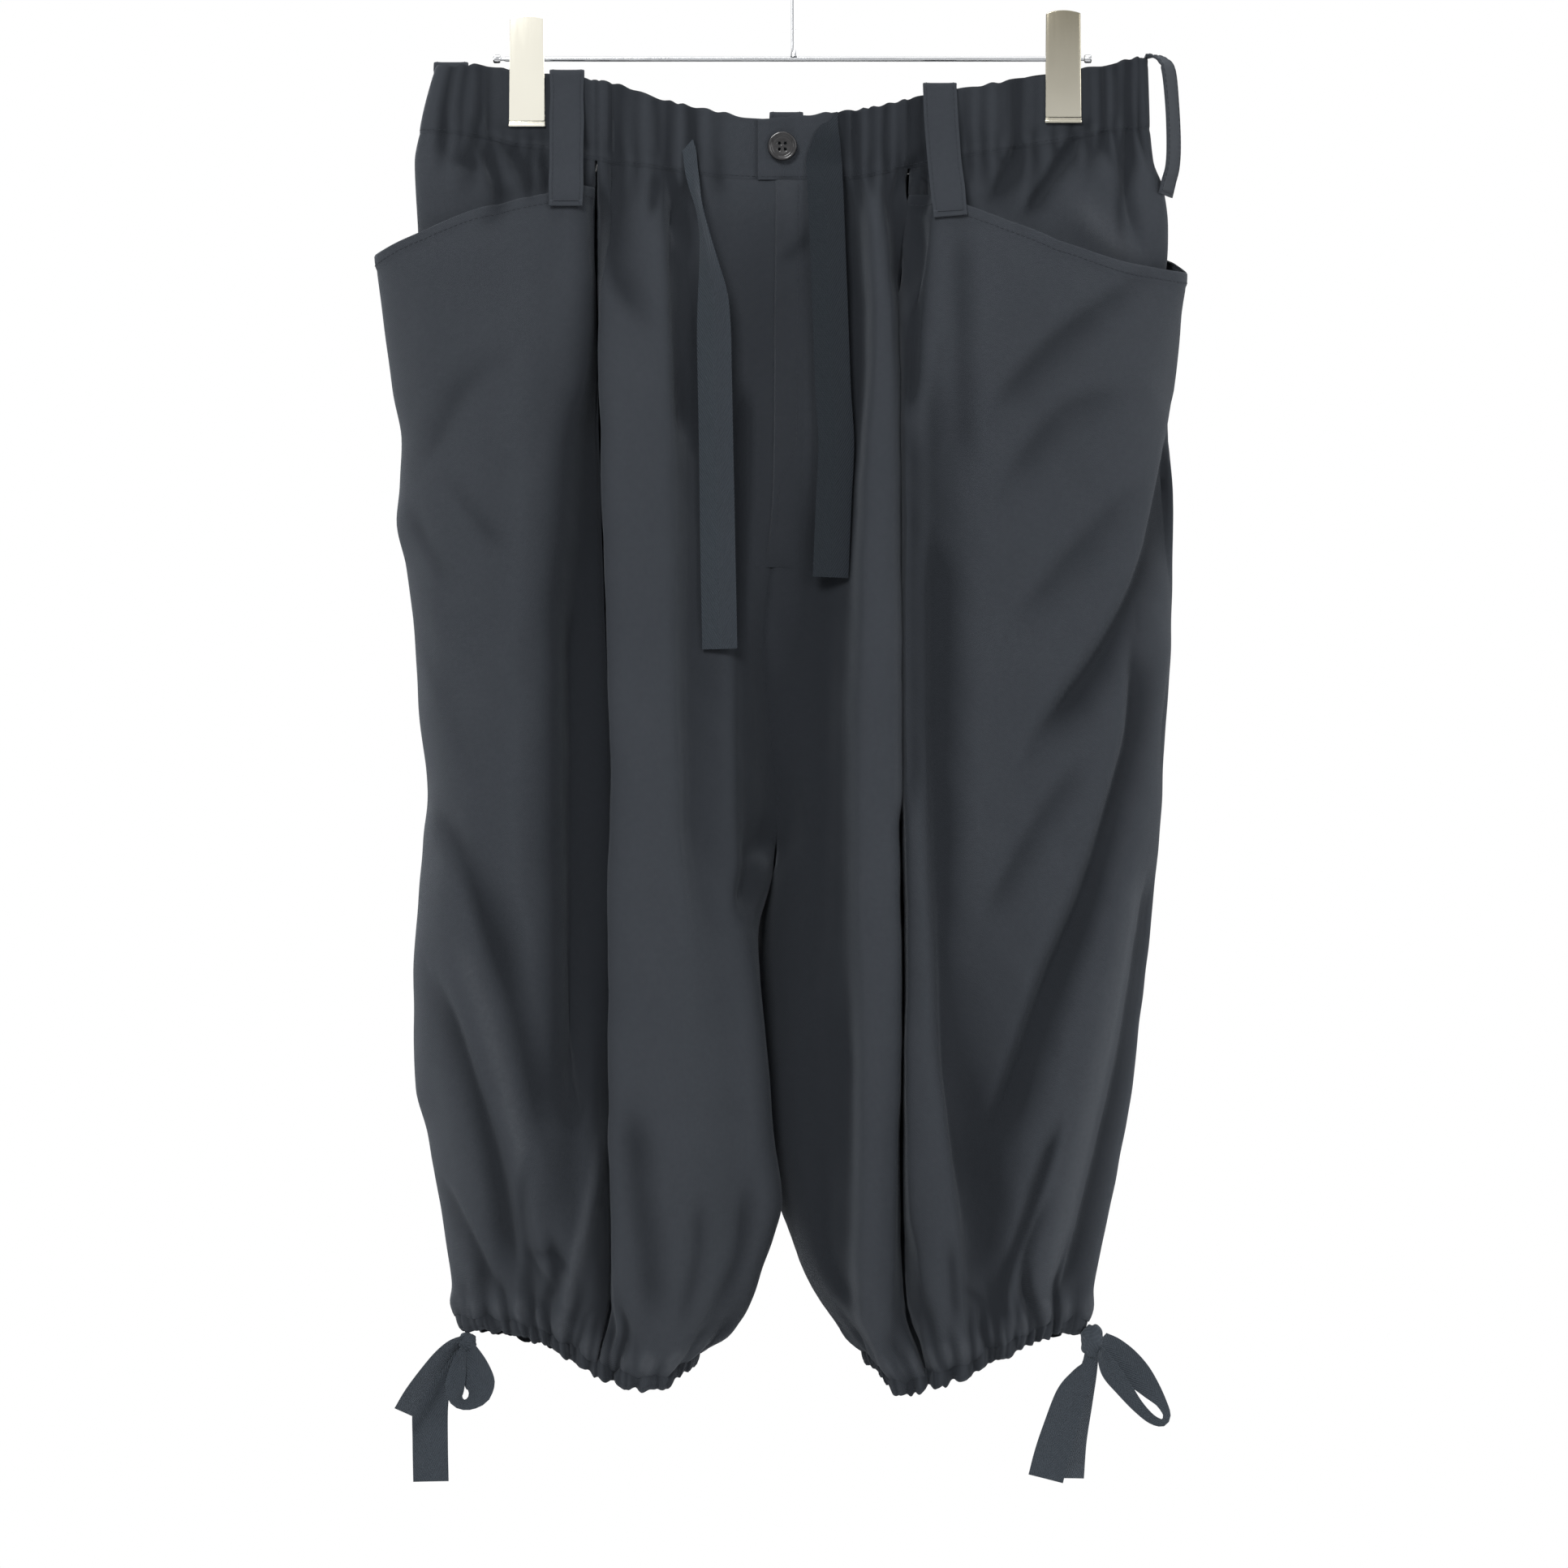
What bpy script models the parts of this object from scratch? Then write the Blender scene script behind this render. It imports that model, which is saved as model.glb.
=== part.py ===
"""Balloon trousers hanging from a clip hanger, as closed solids.

Metres, +Z up, +X to the viewer's right, the front faces -Y, and the origin is where the
hanger's hook bears. Every table is in millimetres: down is measured below the hook,
across to the right of it and forward towards the viewer.
"""

import math

import bmesh
import bpy
import numpy as np

MM = 0.001
WALL = 1.5  # thickness of the cloth's wall
GAP = 0.3  # between two pieces that are sewn together
CROTCH_DOWN = 567.0
WAIST_DOWN = 186.5  # waist seam at the centre front
HEM_DOWN = 816.0  # hem seam at the inseam
CROTCH_V = (CROTCH_DOWN - WAIST_DOWN) / (HEM_DOWN - WAIST_DOWN)
CROTCH_BLEND = 0.05  # over this share above the crotch the torso turns into two legs
HALF_GAP_V = GAP / 2 / (HEM_DOWN - WAIST_DOWN)
TABLE_STEPS = 1400  # heights at which the lines are worked out beforehand
MOUTH_V = 0.022  # where a pocket mouth starts on the side seams
CASING_HEIGHT = 12.0
CASING_TAPER = 0.04
BAND_JAW_SHARE = 0.82  # share of the waistband's height down to the clips' jaws
FLY_BOTTOM_V, FLY_THICKNESS = 0.333, 1.4
TAPE_THICKNESS = 1.0
LOOP_WIDTH, LOOP_THICKNESS = 18.5, 1.4
BUTTON_RADIUS, HOLE_RADIUS, HOLE_FROM_MIDDLE = 8.0, 0.8, 1.5
# (how far inside the radius, how far forward) from the button's back over its rim to its dished face
BUTTON_PROFILE = [(0.6, 0.0), (0, 0.8), (0, 1.8), (0.9, 2.5), (2.1, 2.4), (2.9, 1.5)]
BUTTON_CENTRE = (168.5, -6.2, 17.4)
BAR_DOWN, BAR_RADIUS = 120.0, 1.5
BAR_LEFT, BAR_RIGHT = -163.0, 161.5
STOP_RADIUS, STOP_LENGTH = 2.4, 4.0
HOOK_RADIUS, HOOK_WIRE = 20.0, 1.4
HOOK_BEND = [(66, 0), (58, 1.2), (48, 6.5), (40, 13)]  # (down, across) from the stem up to the hook's arc
CLIP_WIDTH = 20.0
CLIP_INNER, CLIP_PLATE = 2.9, 1.2  # inner face of a plate from the middle, and its thickness
CLIPS = {"clip_left": (-144.5, 96.8, 157.0), "clip_right": (146.1, 93.7, 155.0)}  # across, top and bottom
BLOCK_UP, BLOCK_BELOW, BLOCK_HALF = 10.0, 3.2, 7.0  # the block round the bar, from the bar's middle

# The lines of cloth that run from the waist seam to the hem seam, in order from the
# centre front round the side to the centre back. A row is (down, across, forward).
RISE_FRONT = [
    (WAIST_DOWN, -6, 16), (260, -7, 21), (352, -8, 25), (440, -16, 23), (484, -13, 20),
    (528, -9, 13), (552, -10, 6), (CROTCH_DOWN, -13, 0),
]
RISE_BACK = [
    (WAIST_DOWN, -4, -16), (240, -4, -30), (352, -4, -38), (440, -5, -37), (484, -6, -32),
    (528, -8, -20), (552, -10, -9), (CROTCH_DOWN, -13, 0),
]
INSEAM_LEFT = [(590, -19, 7), (616, -22, 10), (660, -26, 12), (704, -28, 12), (748, -30, 10), (780, -32, 6),
               (800, -38, 3), (HEM_DOWN, -50, 0)]
INSEAM_RIGHT = [(590, -19.5, -6), (616, -21.5, -9), (660, -22, -10), (700, -19, -8), (725, -13, -7),
                (739, -8, -6), (757, -1, -5), (774, 5, -4), (792, 13, -2), (802, 20, 0), (HEM_DOWN, 36, 0)]

FRONT_LEFT = [
    RISE_FRONT + INSEAM_LEFT,
    # inner fold edge
    [(186, -30, 16.5), (260, -29, 22), (352, -29, 26), (440, -28.6, 34), (528, -28.6, 38), (572, -27, 38),
     (616, -19.4, 36), (660, -14, 34), (704, -10, 31), (735, -6, 28), (757, -11, 26), (774, -17, 24),
     (792, -22.4, 20), (806, -31, 16), (818, -51, 12)],
    # hollow under the drawstring
    [(184, -51, 16), (260, -54, 27), (352, -56, 33), (440, -56, 37), (528, -55, 43), (616, -43, 47),
     (704, -36.5, 45), (757, -36.5, 40), (792, -41, 33), (810, -48, 25), (822, -58, 20)],
    # inner shoulder of the pleat
    [(182, -63, 17), (230, -65.6, 36), (260, -65.6, 43), (352, -65.6, 47), (440, -65.6, 49), (528, -63, 52),
     (616, -58.5, 55), (704, -58.5, 54), (757, -61, 50), (792, -62.5, 43), (815, -64, 33), (829, -70, 24)],
    # crest of the pleat
    [(180, -78, 17), (230, -82, 38), (260, -84.5, 46), (352, -84, 51), (440, -83, 53), (528, -80.5, 56),
     (616, -81, 58), (704, -81, 57), (757, -82, 53), (792, -82, 46), (815, -83, 36), (829, -84, 25)],
    # sharp outer edge of the pleat
    [(178, -99, 17), (215, -101, 30), (250, -104, 40), (300, -105, 45), (352, -104, 47), (440, -101, 49),
     (528, -98, 51), (572, -100, 52), (616, -100, 53), (704, -99, 53), (757, -97.7, 50), (792, -96, 42),
     (812, -94.6, 34), (826, -97, 24)],
]
SIDE_LEFT = [
    # front side seam, in the trough behind the pleat
    [(176, -107, 15), (215, -107, 17), (260, -106, 22), (352, -104, 24), (440, -101, 26), (528, -98, 28),
     (616, -99, 33), (704, -99, 36), (757, -98, 34), (792, -99, 30), (822, -106, 23)],
    # inner shoulder of the side panel
    [(173, -118, 15), (190, -115, 24), (220, -112, 32), (260, -110, 36), (290, -112, 38), (352, -119.7, 39),
     (396, -123.6, 40), (484, -123.6, 42), (552, -122, 44), (616, -117, 46), (704, -112.6, 47),
     (757, -112, 44), (792, -113, 36), (814, -120, 22)],
    [(170, -131, 11), (193.6, -131, 28), (230, -134, 36), (260, -135, 40), (352, -142, 43), (440, -144, 44),
     (528, -144, 47), (616, -142, 50), (704, -138, 50), (757, -136, 44), (785, -136, 34), (806, -134, 21)],
    [(168, -149, 7), (197.6, -149, 30), (240, -152, 38), (300, -156, 41), (396, -157, 42), (484, -157, 44),
     (572, -157, 47), (660, -155, 48), (720, -151, 45), (765, -146, 35), (802, -145, 20)],
    [(164, -166, 9), (203, -171, 29), (240, -177, 36), (300, -180, 39), (396, -178, 39), (484, -177, 41),
     (572, -176, 44), (660, -175, 44.5), (720, -170, 40), (765, -163, 30), (799, -158, 17)],
    [(161, -186, 9), (213, -197, 24), (240, -204, 28), (300, -202, 28), (352, -200, 27), (396, -197, 28),
     (484, -193, 29), (528, -190, 29), (572, -192, 30), (660, -192, 31), (704, -186, 29), (760, -178, 22),
     (798, -172, 12)],
    # outline at the side
    [(160.6, -203, 0), (226.6, -226.5, 6), (237.6, -225.5, 2), (264, -222, 0), (299, -217, 0),
     (326, -212.5, 0),
     (352, -214, 0), (370, -215.6, 0), (396, -210, 0), (431, -206, 0), (466, -204, 0), (519, -198.5, 0),
     (546, -201, 0), (581, -204, 0), (616, -206, 0), (660, -206, 0), (678, -205, 0), (704, -198, 0),
     (739, -192, 0), (774, -186.5, 0), (798, -184, 0)],
    [(161, -186, -9), (216, -196, -20), (240, -203, -24), (352, -196, -25), (484, -190, -28),
     (572, -190, -30), (660, -190, -31), (704, -184, -28), (760, -176, -20), (800, -174, -12)],
    [(168, -150, -7), (200, -156, -27), (240, -162, -34), (352, -160, -38), (484, -158, -41),
     (572, -158, -44), (660, -157, -46), (720, -154, -42), (765, -148, -32), (806, -148, -20)],
    # back side seam
    [(176, -107, -15), (192, -110, -20), (240, -116, -30), (352, -120, -36), (484, -120, -40),
     (572, -120, -43), (660, -118, -45), (720, -118, -42), (765, -120, -32), (812, -125, -22)],
]
BACK_LEFT = [
    [(178, -92, -17), (240, -98, -36), (352, -100, -44), (484, -100, -48), (572, -99, -51), (660, -98, -53),
     (720, -98, -48), (770, -102, -36), (820, -106, -25)],
    [(180, -76, -16), (240, -78, -30), (352, -80, -38), (484, -80, -44), (572, -78, -48), (660, -76, -50),
     (720, -76, -46), (770, -82, -35), (824, -90, -26)],
    [(182, -52, -17), (240, -52, -36), (352, -52, -45), (484, -52, -49), (572, -52, -52), (616, -54, -53),
     (660, -54, -52), (720, -54, -46), (770, -60, -35), (824, -74, -23)],
    [(185, -26, -16), (240, -26, -31), (352, -26, -39), (440, -27, -41), (484, -28, -38), (528, -30, -34),
     (572, -36, -30), (616, -38, -28), (660, -38, -27), (704, -36, -25), (748, -36, -22), (790, -46, -16),
     (820, -60, -14)],
    RISE_BACK + INSEAM_LEFT,
]
FRONT_RIGHT = [
    RISE_FRONT + INSEAM_RIGHT,
    # flat of the front beside the fly
    [(186.5, 10, 16.5), (260, 10, 22), (352, 10, 26), (440, 8, 26), (528, 8, 27), (572, 6, 27), (616, 2, 27),
     (660, -2, 27), (704, 0, 27), (739, 4, 24), (774, 12, 20), (800, 24, 14), (820, 42, 11)],
    # foot of the pleat
    [(186, 32, 16), (215, 34, 20), (260, 37, 25), (352, 32.5, 29), (440, 27, 32), (484, 25.5, 34),
     (572, 26, 36),
     (616, 27, 37), (660, 30, 37), (704, 29.5, 36), (757, 27.7, 33), (792, 29, 27), (806, 34, 22),
     (826, 47, 18)],
    # crest of the pleat
    [(185, 40, 17), (215, 43, 34), (260, 44, 42), (352, 39, 45), (440, 37, 47), (528, 36, 49), (616, 38, 51),
     (704, 38, 51), (757, 37, 48), (792, 36, 40), (812, 42, 30), (832, 54, 22)],
    # sharp outer edge of the pleat
    [(183, 50, 17), (215, 52, 32), (260, 53, 42), (440, 54.5, 48), (528, 55, 50), (616, 57, 52),
     (704, 55.4, 51), (757, 54, 47), (782, 53, 42), (800, 52, 36), (815, 54, 29), (832, 64, 22)],
]
SIDE_RIGHT = [
    # front side seam, in the slot beside the pleat
    [(180, 62.5, 15), (215, 60.5, 18), (260, 57, 24), (352, 57, 26), (440, 57, 28), (528, 57.5, 31),
     (616, 59, 35), (704, 58, 34), (757, 58.5, 30), (782, 59.5, 28), (800, 61.5, 26), (828, 72, 22)],
    # inner edge of the side panel, lower down the edge of its first ridge
    [(177, 76, 15), (194, 76, 26), (230, 69, 36), (264, 61.5, 40), (308, 60.5, 42), (440, 60.5, 45),
     (528, 61, 48), (616, 61.5, 50), (660, 61, 51), (704, 61, 51), (748, 63, 48), (782, 66, 42),
     (800, 70, 35), (827, 80, 23)],
    # crest of the first ridge
    [(173, 96, 16), (201.5, 95.5, 29), (230, 92, 37), (264, 86, 42), (352, 82, 45), (440, 80, 47),
     (528, 78, 50),
     (572, 78, 52), (616, 78, 54), (704, 80, 54), (748, 84.5, 51), (782, 87, 44), (804, 88, 34),
     (823, 92, 23)],
    # valley beside it
    [(170, 116, 12), (209, 115, 31), (264, 112, 41), (352, 110, 44), (440, 108, 45), (528, 106, 45),
     (616, 100, 44), (704, 98, 40), (748, 102, 37), (782, 104, 32), (815, 108, 21)],
    [(165, 146, 7), (220, 142, 31), (264, 146, 40), (352, 148, 42), (440, 146, 43), (528, 142, 43),
     (616, 137, 42), (704, 125, 42), (748, 120, 38), (782, 118, 30), (809, 122, 19)],
    [(160, 172, 10), (233, 186, 26), (264, 186, 33), (352, 182, 34), (440, 180, 35), (528, 174, 35),
     (616, 164, 36), (704, 147, 35), (748, 138, 31), (782, 134, 23), (803, 136, 14)],
    # fold beside the outline
    [(159, 188, 7), (236, 213, 4), (264, 209, 6), (308, 203, 8), (352, 202, 9), (440, 203, 10),
     (484, 199, 10),
     (524, 194.5, 12), (594, 185.7, 14), (677, 170.7, 15), (740, 157.5, 14), (774, 148.7, 12), (800, 148, 9)],
    # outline at the side
    [(158.4, 193, 0), (230, 206, -8), (264, 209, -6), (299, 206, -5), (317, 201, -5), (334, 203, -4),
     (370, 206, -3), (396, 205.5, -3), (431, 204.6, -3), (484, 201, -4), (528, 199, -4), (563, 196, -4),
     (598, 193, -4), (642, 188, -4), (678, 183.5, -4), (704, 178.6, -4), (739, 172.5, -4), (774, 165.4, -3),
     (800, 160, -1)],
    [(160, 180, -9), (222, 190, -22), (264, 192, -26), (352, 186, -28), (440, 184, -30), (528, 180, -32),
     (616, 172, -33), (704, 160, -31), (760, 148, -22), (802, 148, -13)],
    [(166, 146, -7), (208, 156, -29), (264, 158, -36), (352, 154, -40), (440, 152, -42), (528, 148, -44),
     (616, 142, -46), (704, 136, -44), (760, 128, -32), (808, 126, -19)],
    # back side seam
    [(172, 107, -15), (192, 110, -20), (264, 114, -32), (352, 116, -38), (440, 116, -41), (528, 114, -44),
     (616, 112, -47), (704, 108, -46), (760, 104, -35), (815, 104, -22)],
]
BACK_RIGHT = [
    [(176, 92, -17), (240, 96, -36), (352, 97, -45), (484, 96, -49), (572, 94, -52), (660, 92, -53),
     (720, 90, -48), (770, 88, -37), (822, 88, -25)],
    [(180, 76, -16), (240, 77, -30), (352, 78, -38), (484, 76, -44), (572, 74, -48), (660, 72, -50),
     (720, 70, -46), (770, 70, -35), (826, 74, -25)],
    [(182, 50, -17), (240, 50, -37), (352, 50, -46), (484, 50, -50), (572, 48, -53), (660, 46, -53),
     (720, 44, -48), (770, 48, -36), (826, 60, -23)],
    [(185, 20, -16), (240, 20, -31), (352, 19, -40), (440, 18, -43), (484, 17, -42), (528, 14, -40),
     (572, 8, -38),
     (616, 4, -38), (660, 4, -37), (704, 8, -34), (748, 16, -28), (790, 30, -18), (822, 46, -14)],
    RISE_BACK + INSEAM_RIGHT,
]
# The hip pieces inside the pocket mouths share their first and last line with the side panels.
HIP_LEFT = [
    SIDE_LEFT[0],
    [(173, -118, 15), (190, -120, 17), (260, -122, 20)],
    [(170, -131, 11), (200, -134, 18), (260, -136, 23)],
    [(168, -149, 7), (195, -150, 16), (260, -152, 24)],
    [(164, -166, 9), (190, -168, 17), (260, -170, 23)],
    [(161, -186, 9), (185, -190, 15), (260, -190, 18)],
    [(160.6, -203, 0), (176, -205.5, 0), (211, -204.5, 0), (260, -203, 0)],
    [(161, -186, -9), (190, -190, -14), (260, -188, -17)],
    [(168, -150, -7), (195, -150, -16), (260, -150, -23)],
    SIDE_LEFT[-1],
]
HIP_RIGHT = [
    SIDE_RIGHT[0],
    [(177, 76, 15), (201, 78, 18), (260, 80, 21)],
    [(173, 96, 16), (205, 97, 20), (260, 98, 24)],
    [(170, 116, 12), (200, 117, 19), (260, 118, 26)],
    [(165, 146, 7), (195, 148, 17), (270, 148, 25)],
    [(160, 172, 10), (190, 176, 17), (270, 176, 20)],
    [(159, 188, 7), (190, 192, 11), (270, 190, 12)],
    [(158.4, 193, 0), (176, 195, 0), (190, 200.5, 0), (211, 203, 0), (232, 202, 0), (270, 198, 0)],
    [(160, 180, -9), (190, 184, -14), (270, 180, -17)],
    [(166, 146, -7), (195, 148, -16), (270, 148, -22)],
    SIDE_RIGHT[-1],
]
# How round the cloth turns at a line: 1 is soft, and the pleats' edges are sharper.
CRISP = {"left": {5: 0.4, 6: 0.25}, "right": {4: 0.4, 5: 0.25, 6: 0.5}}

# Upper edge of the waistband, (across, down), and how far forward it stands there.
TOP_EDGE = [
    (-200, 124), (-170, 123.4), (-154, 126), (-107, 132), (-91.5, 135.5), (-77, 141), (-40, 149.6),
    (-19, 153),
    (3, 151.5), (36, 148), (69.5, 141), (117, 132), (136, 128.5), (155, 125.5), (172, 123), (188, 119.5),
    (206, 121),
]
TOP_FORWARD = [
    (-200, 8), (-168, 8), (-158, 2.5), (-131, 2.5), (-120, 6), (-90, 12), (-40, 14.5), (40, 14.5), (90, 12),
    (120, 7), (133, 2.5), (159, 2.5), (168, 7), (206, 7),
]
JAW_FORWARD = [
    (-200, 9), (-168, 8.5), (-158, 2.5), (-131, 2.5), (-119, 8), (-90, 14), (-40, 15.5), (40, 15.5), (90, 14),
    (121, 9), (133, 2.5), (159, 2.5), (168, 8), (206, 8),
]

LAP_SLOPE = 1.6  # how much further forward the lapped ends stand at the waist seam than at the top edge
LAP_OVER = [(-19.4, 16.2), (-13, 16.2)]  # (across, forward) of the right end, which laps over
LAP_UNDER = [(8, 12.4), (-4, 12.4), (-14, 12.5)]  # and of the left end, which lies under it
LAP_UNDER_FROM = 0.8  # line number at which the left end joins the waist seam's own course

# Belt loops: their turn in degrees, then rows of (down, across, forward).
BELT_LOOPS = {
    "belt_loop_front_left": (0, [
        (127, -122.8, 7.3), (140, -122.8, 9.3), (153, -122.8, 12.3), (165, -122.8, 16.5), (178, -122.8, 21.5),
        (190, -122.8, 27.7), (201.5, -122.8, 32.8),
    ]),
    "belt_loop_front_right": (0, [
        (134.5, 79, 12.8), (150, 79.5, 15.2), (165, 80.5, 17.8), (178, 81.5, 21.5), (192, 83, 27),
        (207, 84.5, 33),
    ]),
    "belt_loop_side_right": (90, [
        (118.5, 190.5, 0), (118.6, 195, 0), (120.5, 199.5, 0), (126, 203.2, 0), (145, 205.2, 0),
        (165, 206, 0), (178, 205.4, 0), (187, 203.2, 0), (194, 201.6, 0),
    ]),
    "belt_loop_side_left": (180, [
        (122, -186, -7.2), (140, -187, -8), (160, -188, -10), (185, -189, -13.5),
    ]),
    "belt_loop_back": (180, [
        (148.5, -4, -15.3), (165, -4, -17), (180, -4, -18.6), (192, -4, -20.2), (200, -4, -22),
    ]),
}
# Tapes: rows of (down, across, forward, width, turn in degrees).
TAPES = {
    "drawstring_left": [
        (171.6, -56.3, 16.3, 7.5, 10), (183, -55, 20.5, 7.5, 20), (200, -51.5, 27, 8, 60),
        (215.6, -48.4, 30, 10, 58),
        (233.2, -45.8, 33, 14, 41), (250.8, -43.6, 34, 18, 25), (270, -43, 34, 19.4, 18),
        (287.3, -42.7, 34.5, 19.4, 17), (332.6, -41.8, 36, 19.4, 17), (387.2, -40.9, 38, 19.4, 12),
        (440.4, -39.8, 39.5, 19.4, 12),
    ],
    "drawstring_right": [
        (155, 16.3, 15.9, 19.4, 0), (176, 16.4, 17, 19.4, 1), (182, 16.6, 18.4, 19.4, 2),
        (187, 16.8, 19.8, 19.4, 3),
        (204, 17.6, 22.3, 19.4, 5), (228, 18.5, 25, 19.4, 6), (251, 19.4, 27, 19.4, 6),
        (298, 21.1, 29.6, 19.4, 4),
        (330, 22.9, 31.4, 19.4, 2), (358.6, 21.6, 32, 19.4, 2), (401.7, 19.8, 33.2, 19.4, 2),
    ],
    "hem_tail_long_left": [
        (820.6, -179.6, 3.5, 7, 10), (828, -186, 1, 12, 20), (838, -193.5, -2, 17, 10),
        (850, -197, -3, 19.4, 4), (870, -197.2, -3, 19.4, 2), (891.4, -196.8, -3, 19.4, 0),
    ],
    "hem_tail_long_right": [
        (825.0, 160.2, 4.2, 7, -10), (829.5, 159.6, 4.5, 10, -9), (836, 155.5, 4.5, 14, -8),
        (845, 150, 4, 17, -6), (862, 144.5, 3, 19, -4),
        (876, 140, 3, 19.4, -2), (889.5, 136.5, 3, 19.4, 0),
    ],
}
KNOT_SIDES, KNOT_END = 10, 0.25  # share of the width that is left at a knot's ends
KNOT_RINGS = (-90, -60, -20, 20, 60, 90)  # degrees up a knot's round
# Each hem tie's knot (centre, radii) with its loop and its short tail, which grow out of it.
BOWS = {
    "hem_bow_left": (((815.2, -177, 5), (5.2, 5.2, 4.4)), [
        [(816, -174, 6, 7, 60), (819, -169.5, 7.5, 10, 60), (824, -166.5, 8.5, 14, 60),
         (830, -164.5, 9.5, 17, 62),
         (838, -164.5, 10, 18, 64), (845, -168, 10.5, 18, 60), (850, -174, 11, 17, 55),
         (849, -180, 12.5, 14, 60),
         (841, -181.5, 14, 11, 70), (832, -179.5, 12, 8, 80), (824, -177.8, 9, 6, 85), (817, -177, 6, 5, 85)],
        [(814.5, -179, 6.5, 7, -40), (817, -184.5, 10, 8, -45), (823, -190.5, 12, 9, -50),
         (832, -197.5, 13.5, 11, -55), (843, -206, 14, 13, -55), (852.7, -211, 14, 14, -50)],
    ]),
    "hem_bow_right": (((815, 161.8, 2.0), (9.5, 6.4, 5.5)), [
        [(812, 165, 4, 8, -40), (813, 171, 5, 11, -45), (817.5, 178, 6, 14, -50), (825, 188, 7, 17, -55),
         (836, 197, 8, 18, -58), (845.5, 203.5, 9, 16, -66), (855, 206.5, 10, 14, -78),
         (861, 202, 12, 12, -88),
         (857, 194, 13.5, 12, -84), (846, 184.5, 13.5, 12, -76), (833, 175, 12, 10, -72),
         (821, 167, 9, 8, -75), (814, 163, 5, 6, -75)],
        [(815, 162.5, 0, 6, -60), (822, 163, -2, 8, -60), (834, 161, -4.5, 12, -62),
         (850, 158.5, -6, 14, -58), (870, 156, -7, 15, -55), (890, 154.5, -7, 16, -50)],
    ]),
}

# Gathers along the waist seam: (across, depth, half width, length below the seam).
WAIST_GATHERS_FRONT = {
    "left": [
        (-41, 1.2, 3.0, 14), (-55, 2.6, 3.2, 60), (-68.5, 2.2, 3.0, 40), (-75, 1.6, 2.4, 30),
        (-85, 1.6, 3.0, 24),
        (-94, 2.2, 3.0, 30), (-101.5, 1.6, 2.6, 18), (-112, 1.4, 2.6, 16), (-122, 1.2, 2.6, 20),
        (-136, 1.2, 2.4, 24), (-143, 2.0, 2.4, 34), (-150, 1.6, 2.4, 24), (-157.5, 1.4, 2.4, 20),
        (-164, 2.2, 2.6, 36), (-172, 2.4, 3.0, 40), (-180, 1.6, 2.6, 22), (-190, 2.2, 2.8, 26),
    ],
    "right": [
        (26, 1.8, 2.6, 24), (34, 1.8, 2.4, 20), (41.5, 1.6, 2.4, 18), (50, 2.0, 2.6, 34), (57, 1.6, 2.4, 20),
        (65, 2.0, 2.6, 26), (72, 2.2, 2.6, 40), (81, 1.4, 2.4, 20), (88, 1.4, 2.4, 18), (95, 2.0, 2.6, 26),
        (103, 1.8, 2.6, 30), (111, 1.4, 2.6, 20), (121, 2.2, 2.8, 40), (131, 2.0, 2.8, 40),
        (141, 1.6, 2.4, 24),
        (150, 1.6, 2.4, 24), (159, 2.0, 2.4, 30), (167, 1.8, 2.4, 34), (174, 1.8, 2.4, 34),
        (181, 2.2, 2.4, 40), (188, 1.6, 2.0, 24),
    ],
}
BACK_GATHER_PITCH = 11.0
BACK_GATHER_FIRST, BACK_GATHER_LAST = 14.0, 178.0
BACK_GATHER_DEPTH, BACK_GATHER_HALF, BACK_GATHER_LENGTH = 1.9, 2.8, 34.0
BACK_GATHER_SWAY = 2.2  # how far a gather may stand off its even place
GATHER_UNEVEN = 0.3  # share by which depths and lengths vary
HEM_GATHER_PITCH = 8.4
HEM_GATHER_DEPTH, HEM_GATHER_HALF, HEM_GATHER_LENGTH = 1.9, 2.7, 34.0
HEM_FLAT_PAST = 0.52  # of a side line's spacing on each side of the outline stays flat at the tie

# Folds away from the seams: rows of (down, across), then depth and half width.
FOLDS_FRONT = {
    "left": [
        ([(704, -161), (734, -154), (762, -149), (783, -140)], 7.0, 8.0),
        ([(594, -122), (660, -120), (704, -121), (739, -126), (770, -131)], 9.0, 11.0),
        ([(179, -75), (198, -83), (224, -92), (251, -89)], 6.0, 6.0),
    ],
    "right": [
        ([(466, 179.5), (511, 174), (580, 156), (621, 135), (669, 117), (693, 105)], 8.0, 11.0),
        ([(332, 197.6), (373, 191), (439, 162), (480, 138)], 5.0, 12.0),
        ([(248, 179.5), (275, 150), (299, 120)], 4.0, 10.0),
        ([(719, 135), (749, 124), (775, 116.6), (790, 109)], 7.0, 6.0),
    ],
}
FOLD_FADE = 14.0  # a fold rises to its depth over this distance from its ends

# Heights of the mesh's rows as shares of a line, and how many columns lie between two lines.
ROWS = [
    0, MOUTH_V, 0.052, 0.095, 0.14, 0.19, 0.26, FLY_BOTTOM_V, 0.4, 0.47, 0.53, CROTCH_V, 0.66, 0.72, 0.78,
    0.835, 0.88, 0.92, 0.96, 1,
]
GATHERED_AT_WAIST = 2  # rows that carry the waist's gathers
GATHERED_AT_HEM = 2  # rows that carry the hem's gathers
HIP_BELOW_MOUTH = 0.055  # how far a hip piece reaches below the mouth
HIP_ROWS = 4

CLOTH = ("cloth", (0.048, 0.054, 0.062), 0.9, 0.0)
TAPE = ("tape", (0.030, 0.036, 0.038), 0.85, 0.0)
HORN = ("button_black", (0.012, 0.012, 0.014), 0.25, 0.0)
CHROME = ("hanger_chrome", (0.72, 0.73, 0.75), 0.18, 1.0)
NICKEL = ("clip_nickel", (0.62, 0.60, 0.54), 0.38, 1.0)


def unit(v):
    return v / np.maximum(np.linalg.norm(v, axis=-1, keepdims=True), 1e-9)


def soft_step(x):
    x = np.clip(x, 0.0, 1.0)
    return x * x * (3 - 2 * x)


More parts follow.
